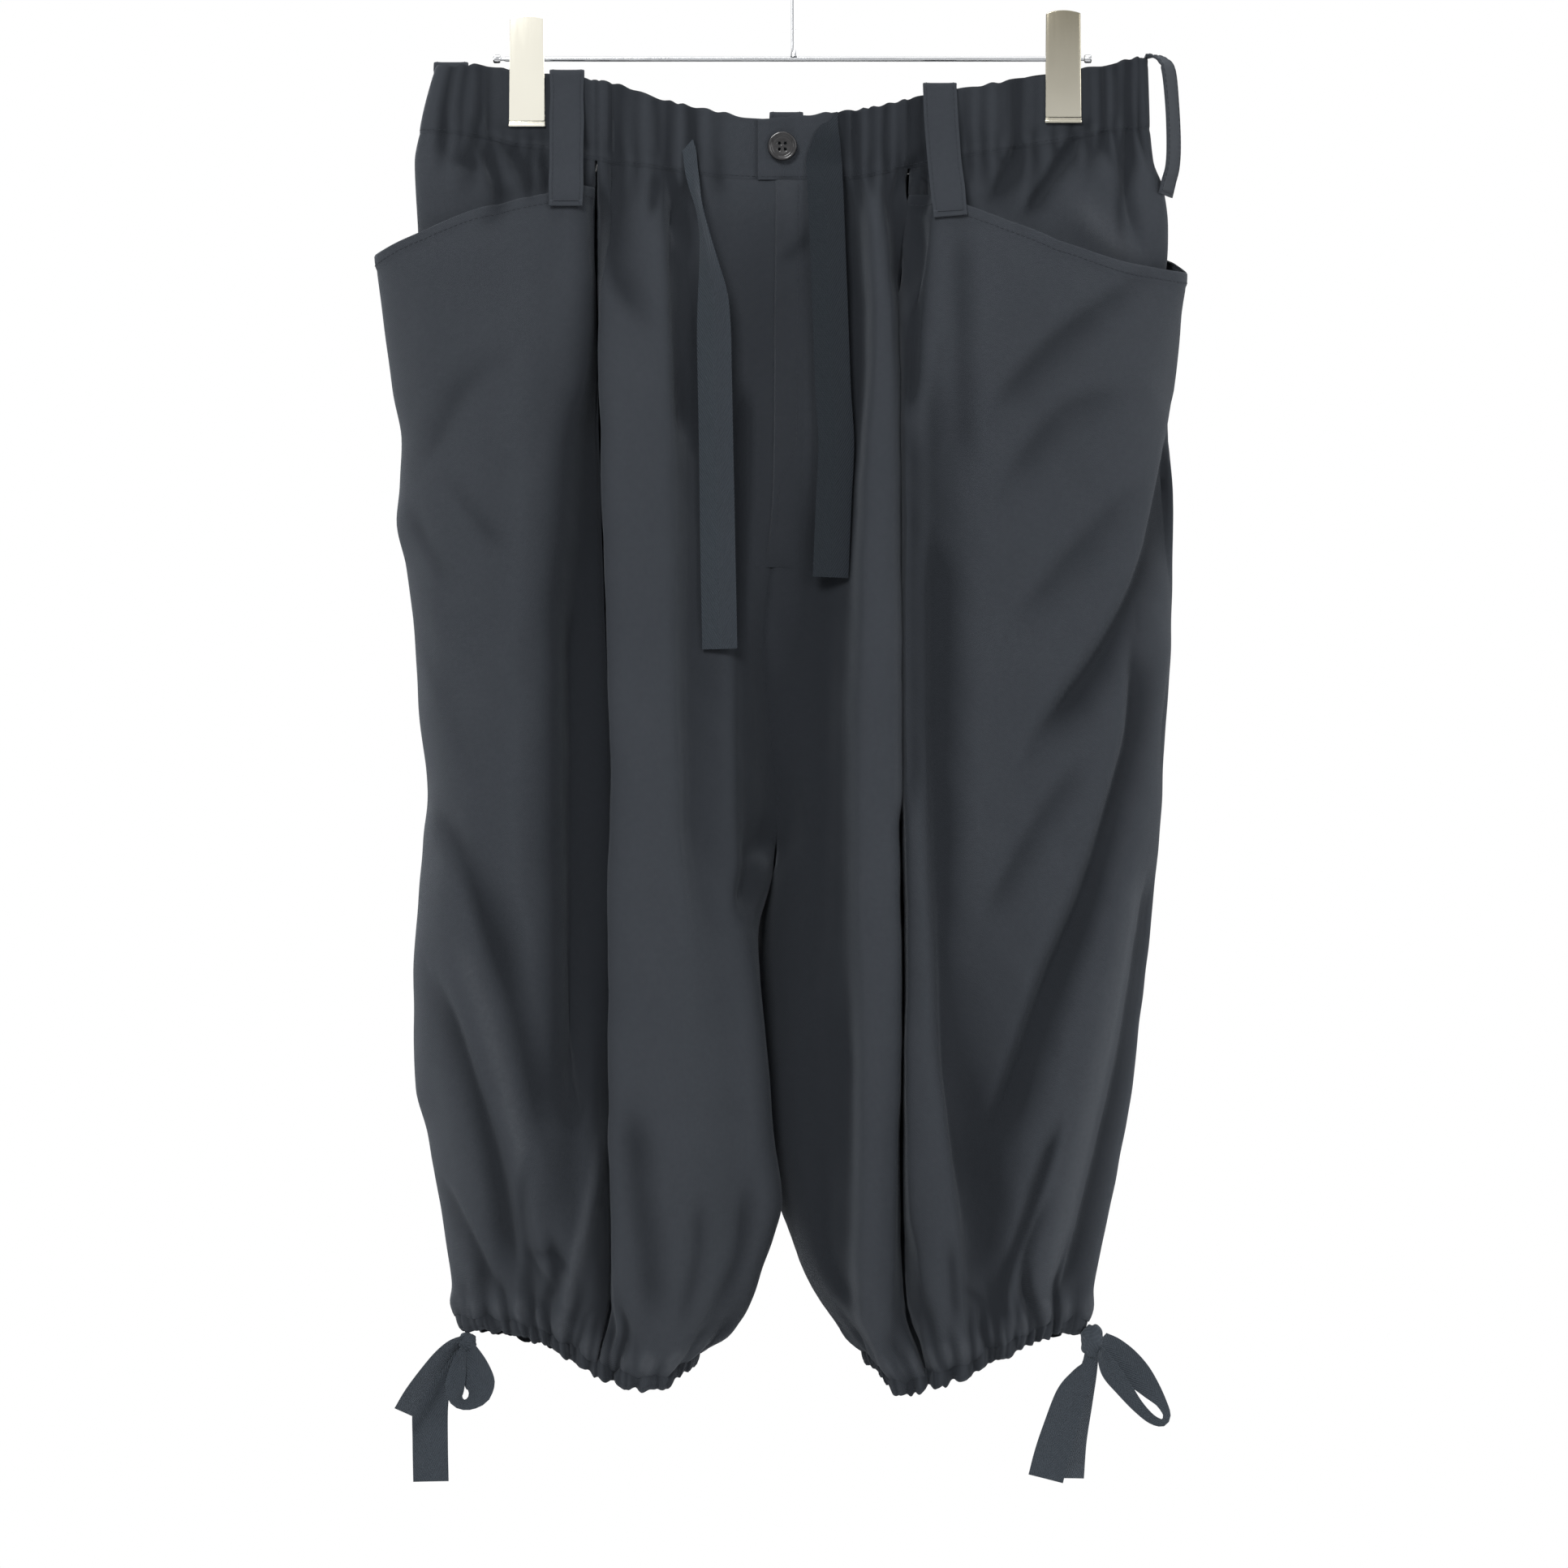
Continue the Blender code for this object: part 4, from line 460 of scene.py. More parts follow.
class Half:
    """One half of the trousers: a sheet over a, the line number round it, and v, 0 to 1 down it."""

    def __init__(self, name, front, side, hip, back):
        self.name = name
        self.sign = -1 if name == "left" else 1
        self.side_from, self.side_to = len(front), len(front) + len(side) - 1
        self.outer = front + side + back
        self.last = len(self.outer) - 1
        self.span = np.array([(rows[0][0], rows[-1][0]) for rows in self.outer], float)
        self.crisp = np.ones(self.last + 1)
        for line, value in CRISP[name].items():
            self.crisp[line] = value
        self.tables = {False: self.worked_out(self.outer), True: self.worked_out(front + hip + back)}
        mouth = [MOUTH_V] + [self.share(i + self.side_from, side[i][1][0]) for i in range(1, len(side) - 1)]
        self.mouth_rows = [(self.side_from + i, v) for i, v in enumerate(mouth + [MOUTH_V])]
        self.waist = self.waist_gathers()
        self.hem = self.hem_gathers()

    def share(self, line, down):
        """The share of a line's height at which it is that far down."""
        return (down - self.span[line, 0]) / (self.span[line, 1] - self.span[line, 0])

    def place(self, across, v, in_front):
        """The line number at which the sheet lies that far across, at v, on its front or its back."""
        widest = [abs(rows[0][1]) for rows in self.outer[self.side_from:self.side_to]]
        middle = self.side_from + int(np.argmax(widest))
        a = np.linspace(0, middle, 400) if in_front else np.linspace(middle, self.last, 400)
        found = self.base(a, np.full(len(a), float(v)))[:, 1] * self.sign
        order = np.argsort(found)
        return float(np.interp(across * self.sign, found[order], a[order]))

    def waist_gathers(self):
        """Gathers along the waist seam: (line number, depth, half width, length, lean)."""
        found = []
        deeper, wider, longer = FRONT_GATHER
        for n, (across, depth, half, length) in enumerate(WAIST_GATHERS_FRONT[self.name]):
            found.append((self.place(across, 0, True), depth * deeper, half * wider, length * longer,
                          0.13 * math.sin(1.9 * n)))
        for n, across in enumerate(np.arange(BACK_GATHER_FIRST, BACK_GATHER_LAST, BACK_GATHER_PITCH)):
            across = self.sign * (across + BACK_GATHER_SWAY * math.sin(2.3 * n + self.sign))
            uneven = 1 + GATHER_UNEVEN * math.sin(1.7 * n)
            found.append((self.place(across, 0, False), BACK_GATHER_DEPTH * uneven, BACK_GATHER_HALF,
                          BACK_GATHER_LENGTH * uneven, 0.08 * math.sin(2.7 * n)))
        found.sort()
        small = [((m[0] + k[0]) / 2, 0.55 + 0.3 * math.sin(1.1 * n), 1.5, 15 + 6 * math.sin(2.9 * n),
                  0.1 * math.sin(n)) for n, (m, k) in enumerate(zip(found, found[1:])) if k[0] - m[0] < 0.8]
        return sorted(found + small)

    def hem_gathers(self):
        """Evenly uneven gathers round the hem, none at the flat stretch where the tie comes out."""
        a = np.linspace(0, self.last, 600)
        p = self.base(a, np.ones(600))
        along = length_along(p)
        outline = float(a[np.argmax(p[:, 1] * self.sign)])
        found = []
        for n in range(int(along[-1] / HEM_GATHER_PITCH)):
            at = float(np.interp((n + 0.5 + 0.22 * math.sin(2.1 * n)) * HEM_GATHER_PITCH, along, a))
            if abs(at - outline) > HEM_FLAT_PAST:
                uneven = 1 + GATHER_UNEVEN * math.sin(1.3 * n + self.sign)
                place = self.base(np.array([at]), np.ones(1))[0]
                tight = place[2] < 0 or HEM_TIGHT[self.name][0] < place[1] < HEM_TIGHT[self.name][1]
                deeper, wider, longer = TIGHT_GATHER if tight else LOOSE_GATHER
                found.append((at, HEM_GATHER_DEPTH * deeper * uneven, HEM_GATHER_HALF * wider,
                              HEM_GATHER_LENGTH * longer * uneven, 0.2 * math.sin(1.7 * n)))
            between_two = float(np.interp((n + 1.03) * HEM_GATHER_PITCH, along, a))
            found.append((between_two, 0.9, 1.3, 13 + 5 * math.sin(2.3 * n), 0.2 * math.sin(n)))
        return found

    def worked_out(self, lines):
        """Points of every line and directions round the half there, at TABLE_STEPS heights."""
        v = np.linspace(0, 1, TABLE_STEPS + 1)
        down = self.span[:, 0] + (self.span[:, 1] - self.span[:, 0]) * v[:, None]
        s = np.stack([
            np.column_stack([down[:, i], between(rows, down[:, i])]) for i, rows in enumerate(lines)
        ], axis=1)
        leg = leg_share(v)[:, None]
        u = unit(np.diff(s, axis=1))
        d = np.empty_like(s)
        d[:, 1:-1] = unit(u[:, 1:] + u[:, :-1])
        closed = unit(u[:, -1] + u[:, 0])
        across = np.array([0.0, self.sign, 0.0])
        d[:, 0] = unit(across * (1 - leg) + closed * leg)
        d[:, -1] = unit(-across * (1 - leg) + closed * leg)
        d[:, self.side_from] = across
        return s, d

    def base(self, a, v, upper=False):
        """Points (down, across, forward) of the sheet without gathers and folds."""
        row = np.clip(np.asarray(v, float), 0, 1) * TABLE_STEPS
        k = np.minimum(row.astype(int), TABLE_STEPS - 1)
        share = (row - k)[..., None]
        i = np.clip(np.floor(a).astype(int), 0, self.last - 1)
        t = (a - i)[..., None]
        s, d = self.tables[upper]
        p0, p1, d0, d1 = (
            table[k, line] * (1 - share) + table[k + 1, line] * share
            for table, line in ((s, i), (s, i + 1), (d, i), (d, i + 1))
        )
        length = np.linalg.norm(p1 - p0, axis=-1)[..., None]
        slope0, slope1 = d0 * length * self.crisp[i][..., None], d1 * length * self.crisp[i + 1][..., None]
        return curve(p0, p1, slope0, slope1, t)

    def evenly(self, first, last, v, pitch, ends=(0.0,), upper=False):
        """Line numbers spaced evenly along the cloth at one height, finer beside both ends."""
        a = np.linspace(first, last, EVEN_STEPS[v])
        along = length_along(self.base(a, np.full(len(a), v), upper))
        near = np.array(ends)
        even = np.linspace(near[-1], along[-1] - near[-1], round((along[-1] - 2 * near[-1]) / pitch))
        return np.interp(np.concatenate([near[:-1], even, along[-1] - near[-2::-1]]), along, a)

    def outward(self, grid):
        """Unit normals, out of the cloth, of a grid of points."""
        return unit(np.cross(np.gradient(grid, axis=0), np.gradient(grid, axis=1))) * self.sign

    def pressing(self, grid, a, v):
        """The directions in which dents press: square to the cloth, but the same beside its seams."""
        square = self.outward(grid)
        level = square.copy()
        level[..., 0] = 0
        near = np.maximum(bell(v * LEG_HEIGHT / 9), bell((1 - v) * LEG_HEIGHT / 9))[..., None]
        pressed = unit(square * (1 - near) + unit(level) * near)
        leg = leg_share(v)
        facing = np.where(a < self.last / 2, 1.0, -1.0)
        centre = np.stack([np.zeros(v.shape), -self.sign * leg, facing * (1.01 - leg)], axis=-1)
        near = bell(np.minimum(a, self.last - a) / 0.2)[..., None]
        return unit(pressed * (1 - near) + unit(centre) * near)

    def dents(self, a, v, p):
        """How far gathers, folds and waves press a grid of points in, and how much painted shade that gives
        the cloth's colour.
        """
        down, across, forward = p[..., 0], p[..., 1], p[..., 2]
        spacing = line_width(p, a)
        total = np.zeros(a.shape)
        for gathers, reach in ((self.waist, v * LEG_HEIGHT), (self.hem, (1 - v) * LEG_HEIGHT)):
            for at, depth, half, length, lean in gathers:
                near = reach < length
                if near.any():
                    sway = lean * reach * (1 + 0.8 * np.sin(reach * 0.16 + at * 5))
                    shape = bell(((a - at) * spacing - sway) / (half * (1 + reach / 50)))
                    total += near * depth * (1 - soft_step(reach / length)) * shape
        shade = total.copy()
        for facing, folds in ((1, FRONT_FOLDS), (-1, BACK_FOLDS)):
            weight = soft_step((forward * facing + 1) / 4)
            for path, depth, left, right in folds:
                pressed = weight * depth * groove(down, across, path, left, right, FOLD_END)
                total += pressed
                shade += pressed * min(1.0, BROAD_FOLD / (left + right))
        loose = soft_step(v * LEG_HEIGHT / 40) * soft_step((1 - v) * LEG_HEIGHT / 30)
        for size, down_turn, across_turn, phase in WAVES:
            total += loose * size * np.sin(down * down_turn + across * across_turn + forward * 0.02 + phase)
        return total, shade

    def mouth(self, a):
        """The share of the height at which the pocket mouth's edge lies."""
        return between(self.mouth_rows, np.ravel(a))[:, 0].reshape(np.shape(a))


# ---------------------------------------------------------------- folds

# Where the hem is drawn together tightly on the front, (across from, across to).
HEM_TIGHT = {"left": (-158, -92), "right": (68, 146)}
# Waves of loose cloth: size, turns per millimetre down and across, phase.
WAVES = [
    (0.22, 0.055, 0.085, 0.4), (0.20, -0.031, 0.062, 2.1), (0.16, 0.023, -0.12, 4.0),
    (0.12, 0.10, 0.19, 1.3), (0.09, -0.15, 0.23, 5.2), (0.07, 0.21, -0.29, 3.3),
]
FOLD_END = 14.0  # a fold rises to its depth over about this distance from its ends
# painted shade: a narrow fold darkens the cloth's colour by its full depth, a broad one by less
BROAD_FOLD = 8.0  # folds whose two sides add up to more than this shade the cloth less
# Folds: rows of (down, across), then the depth (a ridge's is negative) and the widths of the
# left and the right side.
FRONT_FOLDS = [
    # on the hip and beside the belt loop
    ([(166, -171), (187, -161), (202, -161)], 2.8, 2.6, 4.4),
    ([(166, -157), (181, -147), (198, -141)], 2.4, 2.6, 4.4),
    ([(171, -137), (183, -134), (197, -134.5)], 2.2, 2.4, 3.4),
    ([(174, -186), (178, -177), (178.5, -168.5)], 2.2, 3.0, 6.0),
    ([(188, -152), (202, -158), (214, -168)], 1.8, 6.0, 5.0),
    ([(172, -94), (178, -97), (190, -100)], 1.9, 2.2, 3.2),
    ([(185, -75), (192, -76), (206, -77)], 1.8, 2.2, 3.2),
    ([(180, -68), (204, -62), (225, -57.5)], 2.8, 2.4, 4.0),
    ([(182, -56), (190, -53.5), (214, -52.5)], 1.6, 2.0, 3.0),
    # the side panel turns in towards the slot
    ([(296, -111), (400, -113), (484, -113), (616, -113), (704, -119), (764, -121)], 4.0, 15.0, 7.0),
    ([(384, -112), (484, -113), (616, -113), (704, -119)], 4.0, 17.0, 7.0),
    ([(420, -112), (484, -112), (616, -112), (690, -116)], 6.5, 8.0, 6.0),
    ([(694, -103), (720, -106), (748, -112), (776, -119), (800, -122)], -2.6, 3.5, 4.5),
    # long folds from the outline down to the hem
    ([(518, -198), (560, -176), (600, -161), (648, -147), (704, -135)], 4.6, 4.5, 13.0),
    ([(600, -178), (640, -165), (704, -148), (740, -143), (770, -143)], -1.4, 5.0, 5.0),
    ([(618, -194), (660, -177), (704, -163), (740, -155), (776, -151)], 4.6, 10.0, 4.0),
    ([(724, -192), (758, -174), (792, -158)], 2.4, 6.0, 2.6),
    ([(286, -158), (300, -178), (348, -203)], 2.2, 9.0, 5.0),
    ([(350, -186), (388, -156)], 1.2, 3.5, 5.0),
    ([(364, -208), (406, -186)], 1.3, 3.5, 5.0),
    ([(430, -204), (470, -186), (520, -170)], 1.2, 5.0, 9.0),
    # the pleat
    ([(184, -97), (226, -99), (248, -91), (266, -78)], 4.2, 6.0, 10.0),
    ([(188, -65), (250, -61), (330, -56)], 6.0, 5.0, 5.5),
    ([(684, -86), (740, -81), (776, -77), (806, -76)], 3.2, 7.0, 9.0),
    ([(736, -50), (775, -53), (806, -62)], 1.6, 3.5, 4.5),
    ([(730, -26), (768, -30), (800, -44)], 1.8, 3.5, 4.5),
    # tight at the hem
    ([(712, -143), (740, -146), (770, -143), (792, -145)], 2.2, 3.0, 5.5),
    ([(756, -132), (776, -128), (796, -131)], 2.6, 2.4, 4.0),
    ([(766, -140), (768, -128), (776, -120)], 2.0, 2.6, 3.6),
    # below the waist
    ([(156, 75.7), (174, 68), (196, 55.5), (228, 56.5), (252, 57)], 3.4, 4.5, 4.0),
    ([(161, 123), (172, 119.5), (201, 105)], 3.6, 3.0, 6.0),
    ([(158, 156), (178, 142), (208, 123)], 3.8, 2.4, 4.4),
    ([(156, 169), (176, 162)], 2.2, 2.2, 3.6),
    ([(154, 181.5), (193, 180.5), (220, 186.5)], 2.8, 2.4, 4.2),
    ([(198, 150.5), (214, 165), (233, 186)], -2.4, 7.0, 9.0),
    ([(215, 9.5), (222, 4), (231, -7)], 1.6, 2.6, 4.6),
    ([(186, 20), (203, 19.5), (214, 19)], 1.4, 2.0, 3.4),
    ([(182, 27), (203, 27.5), (214, 27)], 1.8, 2.0, 3.4),
    ([(192, 29), (214, 30), (262, 33)], 1.2, 6.0, 3.0),
    ([(178, 72), (192, 71), (208, 68)], 3.0, 4.0, 5.0),
    ([(206, 68), (240, 65.5), (275, 63.5), (312, 61.5)], 4.8, 3.5, 4.5),
    ([(190, 62), (210, 61.2), (235, 60.5), (262, 58), (308, 57), (400, 57), (530, 57.5)], -3.6, 2.4, 2.6),
    ([(318, 64), (400, 64), (484, 64.5), (530, 64)], 2.8, 4.0, 9.0),
    # diagonal folds from the outline
    ([(236, 194), (262, 156), (288, 128), (312, 108)], 3.4, 4.0, 12.0),
    ([(302, 182), (312, 146), (352, 114)], 2.8, 4.0, 12.0),
    ([(348, 190), (378, 160), (428, 118)], 2.6, 4.0, 13.0),
    ([(316, 206), (352, 201), (398, 189), (440, 166), (490, 130)], 6.4, 3.5, 14.0),
    ([(502, 154), (540, 128), (586, 104)], 2.4, 4.0, 9.0),
    ([(436, 186), (484, 184), (528, 171), (572, 156), (616, 137), (660, 121), (706, 104)], 8.4, 4.5, 14.0),
    ([(560, 193), (600, 187), (660, 177), (704, 167), (748, 156), (796, 143)], 3.0, 2.4, 8.0),
    ([(560, 184), (620, 174), (704, 157), (790, 136)], -1.8, 6.0, 4.0),
    ([(698, 143), (748, 126), (784, 113), (806, 115)], 3.2, 5.0, 2.2),
    ([(738, 137), (770, 125), (800, 127)], 2.2, 3.0, 3.4),
    # the valley beside the first ridge, and the ridge
    ([(290, 77), (430, 76), (528, 77), (616, 80), (660, 83), (704, 90), (748, 95), (800, 98)],
     3.5, 5.0, 15.0),
    ([(378, 76), (430, 76), (528, 77), (616, 80), (660, 83), (704, 90), (748, 95)], 3.5, 5.0, 14.0),
    ([(214, 90), (262, 91), (340, 92)], 1.6, 5.0, 6.0),
    # the flat beside the fly
    ([(350, 20), (440, 14), (560, 12), (660, 8), (760, 18)], 4.5, 14.0, 9.0),
    ([(300, -27), (430, -27), (500, -25), (545, -24)], 3.0, 6.0, 3.6),
    ([(536, -22), (556, -22), (584, -28)], 6.0, 5.0, 5.0),
    ([(758, 84), (780, 86), (806, 88)], 2.4, 4.0, 4.5),
    ([(728, 16), (765, 18), (800, 36)], 2.0, 3.5, 5.5),
    ([(752, 62), (782, 66), (812, 76)], 2.4, 4.0, 3.0),
]
BACK_FOLDS = [
    ([(190, -60), (230, -66), (280, -64)], 2.0, 4.0, 6.0),
    ([(186, -30), (222, -36), (262, -34)], 1.8, 4.0, 5.0),
    ([(186, -96), (240, -92), (310, -98)], 2.2, 5.0, 7.0),
    ([(188, -138), (230, -146), (290, -148)], 2.2, 5.0, 7.0),
    ([(300, -70), (400, -64), (520, -70)], 1.8, 11.0, 15.0),
    ([(420, -20), (500, -32), (570, -58)], 3.0, 7.0, 12.0),
    ([(470, -12), (540, -24), (590, -44)], 2.6, 5.0, 9.0),
    ([(330, -140), (440, -132), (540, -138)], 1.8, 11.0, 14.0),
    ([(560, -90), (650, -84), (740, -92)], 2.2, 9.0, 12.0),
    ([(600, -140), (690, -132), (770, -138)], 2.4, 8.0, 10.0),
    ([(640, -62), (720, -58), (790, -70)], 2.0, 6.0, 9.0),
    ([(690, -166), (735, -156), (780, -154)], 3.0, 5.0, 7.0),
    ([(720, -112), (760, -112), (800, -114)], 2.2, 4.0, 5.0),
    ([(190, 56), (232, 62), (288, 60)], 2.0, 6.0, 4.0),
    ([(188, 28), (226, 34), (266, 33)], 1.8, 5.0, 4.0),
    ([(184, 92), (236, 88), (306, 94)], 2.2, 7.0, 5.0),
    ([(180, 134), (228, 142), (288, 146)], 2.2, 7.0, 5.0),
    ([(290, 66), (390, 60), (520, 66)], 1.8, 15.0, 11.0),
    ([(420, 12), (500, 26), (580, 52)], 3.0, 12.0, 7.0),
    ([(470, 2), (545, 14), (590, 32)], 2.6, 9.0, 5.0),
    ([(340, 170), (440, 150), (520, 124)], 3.0, 12.0, 9.0),
    ([(480, 168), (590, 142), (680, 108)], 4.0, 11.0, 9.0),
    ([(560, 80), (650, 74), (740, 82)], 2.2, 12.0, 9.0),
    ([(640, 46), (720, 44), (790, 56)], 2.0, 9.0, 6.0),
    ([(690, 146), (735, 130), (780, 122)], 3.0, 7.0, 5.0),
    ([(722, 98), (762, 100), (800, 100)], 2.2, 5.0, 4.0),
]

# ---------------------------------------------------------------- cloth pieces

COLUMN_PITCH = 1.9  # between two columns of a panel's mesh at mid height
FINE_ROW, COARSE_ROW = 1.9, 3.7
FINE_AT_WAIST, FINE_AT_HEM = 64.0, 46.0
SEAM_COLUMNS = (0.0, 0.45, 1.0, 1.7)  # finer columns beside a seam
SEAM_ROWS = (0.0, 0.5, 1.1, 1.8)
SEAM_DIP, SEAM_HALF = 0.75, 1.3
WELT_RISE, WELT_FROM_SEAM, WELT_HALF = 0.22, 4.2, 2.4  # the turned-in cloth swells beside a seam
WAIST_DIP = 0.25
EVEN_STEPS = {0.0: 900, 0.4: 500, 1.0: 1200}  # points to measure the cloth by, at each height that needs it
HEM_PUFF, HEM_SAG, SAG_ABOVE = 1.9, 3.6, 13  # how far the cloth puffs out and sags, and from how high


def rows_down():
    """Shares of the height for a panel's rows, closer together near the waist and the hem."""
    middle = LEG_HEIGHT - FINE_AT_WAIST - FINE_AT_HEM
    return np.concatenate([
        SEAM_ROWS[:-1], np.linspace(SEAM_ROWS[-1], FINE_AT_WAIST, round(FINE_AT_WAIST / FINE_ROW)),
        FINE_AT_WAIST + np.linspace(0, middle, round(middle / COARSE_ROW))[1:-1],
        LEG_HEIGHT - np.linspace(FINE_AT_HEM, SEAM_ROWS[-1], round(FINE_AT_HEM / FINE_ROW)),
        LEG_HEIGHT - np.array(SEAM_ROWS[-2::-1]),
    ]) / LEG_HEIGHT


def columns(half, first, last, pitch=COLUMN_PITCH):
    """Line numbers of a panel's columns, evenly spaced at mid height and finer beside its seams."""
    return half.evenly(first, last, 0.4, pitch, SEAM_COLUMNS)


def seam_dips(a, v, p, edges, top, bottom):
    """The dips beside the seams at a panel's edges, its top and its bottom, slightly puckered."""
    spacing = line_width(p, a)
    along = v * LEG_HEIGHT
    total = np.zeros(a.shape)
    for edge in edges:
        pucker = 1 + 0.3 * np.sin(along * 0.62 + edge) * np.sin(along * 0.17)
        total += SEAM_DIP * pucker * bell((a - edge) * spacing / SEAM_HALF)
        total -= WELT_RISE * pucker * bell((np.abs(a - edge) * spacing - WELT_FROM_SEAM) / WELT_HALF)
    if top:
        total += WAIST_DIP * bell(along / 1.8)
    if bottom:
        above = (1 - v) * LEG_HEIGHT
        puff = HEM_PUFF * (1 + 0.35 * np.sin(a * 7.1))
        total += 0.3 * bell(above / 1.2) - puff * bell((above - 5.5) / 5.0)
    return total


def weave_lengths(grid):
    """(across, along) in millimetres over a grid of points, from its middle column and its top row."""
    across = np.cumsum(np.linalg.norm(np.diff(grid, axis=1, prepend=grid[:, :1]), axis=-1), axis=1)
    across -= across[:, across.shape[1] // 2][:, None]
    along = np.cumsum(np.linalg.norm(np.diff(grid, axis=0, prepend=grid[:1]), axis=-1), axis=0)
    return np.stack([across, along], axis=-1)


HOLLOW_ROWS, HOLLOW_PITCH, HOLLOW_REACH = 150, 2.6, 34


class Hollows:
    """How closed in a half's cloth lies between its neighbours, 0 in the open to 1 in a slot; the finishes
    paint it as shade.
    """

    def __init__(self, columns_at, closed):
        self.columns_at, self.closed = columns_at, closed

    def at(self, a, v):
        column = np.interp(a, self.columns_at, np.arange(len(self.columns_at)))
        row = np.clip(v, 0, 1) * (HOLLOW_ROWS - 1)
        i = np.minimum(row.astype(int), HOLLOW_ROWS - 2)
        j = np.minimum(column.astype(int), len(self.columns_at) - 2)
        s, t = row - i, column - j
        upper = self.closed[i, j] * (1 - t) + self.closed[i, j + 1] * t
        lower = self.closed[i + 1, j] * (1 - t) + self.closed[i + 1, j + 1] * t
        return upper * (1 - s) + lower * s


def find_hollows(left, right):
    """Measures both halves as one ring at each height: high cloth beside a place closes it in."""
    rings, columns_at = [], []
    for half in (left, right):
        along = columns(half, 0, half.last, HOLLOW_PITCH)
        a, v = np.meshgrid(along, np.linspace(0, 1, HOLLOW_ROWS))
        base = half.base(a, v)
        points = base - half.pressing(base, a, v) * half.dents(a, v, base)[0][..., None]
        rings.append((points, half.outward(points)))
        columns_at.append(along)
    points = np.concatenate([rings[0][0][:, ::-1], rings[1][0]], axis=1)
    normals = np.concatenate([rings[0][1][:, ::-1], rings[1][1]], axis=1)
    closed = np.zeros(points.shape[:2])
    for way in (1, -1):
        horizon = np.zeros(closed.shape)
        for step in list(range(1, 12)) + list(range(12, HOLLOW_REACH, 2)):
            away = np.roll(points, way * step, axis=1) - points
            far = np.maximum(np.linalg.norm(away, axis=-1), 1e-6)
            horizon = np.maximum(horizon, np.clip((away * normals).sum(axis=-1) / far, 0, 1))
        closed += np.arcsin(horizon) / math.pi
    for _ in range(2):
        closed[1:-1] = (closed[:-2] + 2 * closed[1:-1] + closed[2:]) / 4
    split = len(columns_at[0])
    HOLLOWS["left"] = Hollows(columns_at[0], closed[:, :split][:, ::-1])
    HOLLOWS["right"] = Hollows(columns_at[1], closed[:, split:])


HOLLOWS = {}


def finish_mesh(name, points, faces, finish, weave=None, fold=None, hollow=None, sharp=50):
    """A new object from points (down, across, forward), with its weave lengths, dents and hollows."""
    mesh = bpy.data.meshes.new(name)
    mesh.from_pydata(to_world(points).tolist(), [], faces)
    if weave is None:
        weave = np.asarray(points)[:, :2]
    lengths = mesh.attributes.new("weave", "FLOAT_VECTOR", "POINT")
    lengths.data.foreach_set("vector", np.column_stack([weave, np.zeros(len(points))]).ravel())
    # dent and hollow values carry painted shade into the finishes' colours; on cloth a negative dent is also
    # rubbed wear
    for label, values in (("dent", fold), ("hollow", hollow)):
        values = np.zeros(len(points)) if values is None else np.asarray(values, float).ravel()
        mesh.attributes.new(label, "FLOAT", "POINT").data.foreach_set("value", values)
    mesh.materials.append(FINISHES[finish])
    mesh.shade_smooth()
    mesh.set_sharp_from_angle(angle=math.radians(sharp))
    made = bpy.data.objects.new(name, mesh)
    bpy.context.collection.objects.link(made)
    return made


def closed_mesh(name, points, faces, finish, **more):
    """A new object whose faces are all turned outwards."""
    made = finish_mesh(name, points, faces, finish, **more)
    mesh = bmesh.new()
    mesh.from_mesh(made.data)
    bmesh.ops.recalc_face_normals(mesh, faces=mesh.faces)
    mesh.to_mesh(made.data)
    mesh.free()
    return made


def ring_turns(sides):
    """Angles evenly round a circle."""
    return 2 * math.pi * np.arange(sides) / sides


def tube_faces(rings, sides, count=1):
    """Faces of tubes, each a stack of rings of points with a cap on both ends."""
    number = np.arange(count * rings * sides).reshape(count, rings, sides)
    after = np.roll(number, -1, axis=2)
    walls = np.stack([number[:, :-1], after[:, :-1], after[:, 1:], number[:, 1:]], axis=-1).reshape(-1, 4)
    return walls.tolist() + number[:, 0, ::-1].tolist() + number[:, -1].tolist()


# painted shade on the cloth's inner skin, given as its hollow value
INSIDE_HOLLOW = 0.8  # how closed in the cloth's inner skin counts


def shell(name, points, normals, sign, fold, hollow, thickness=CLOTH_THICKNESS):
    """A closed thin shell over a grid of points, with its inner skin behind the outer one."""
    high, wide = points.shape[:2]
    count = high * wide
    number = np.arange(count).reshape(high, wide)
    corners = [number[:-1, :-1], number[1:, :-1], number[1:, 1:], number[:-1, 1:]]
    rim = np.concatenate([number[:-1, 0], number[-1, :-1], number[:0:-1, -1], number[0, :0:-1]])
    if sign < 0:
        corners.reverse()
        rim = rim[::-1]
    outer = np.stack(corners, axis=-1).reshape(-1, 4)
    after = np.roll(rim, -1)
    faces = np.concatenate([outer, outer[:, ::-1] + count,
                            np.stack([after, rim, rim + count, after + count], axis=-1)])
    thickness = np.broadcast_to(thickness, (high, wide))[..., None]
    both = np.concatenate([points.reshape(-1, 3), (points - normals * thickness).reshape(-1, 3)])
    weave = np.tile(weave_lengths(points).reshape(-1, 2), (2, 1))
    shade = np.concatenate([hollow.ravel(), np.full(count, INSIDE_HOLLOW)])
    return finish_mesh(name, both, faces.tolist(), "cloth", weave, np.tile(fold.ravel(), 2), shade)


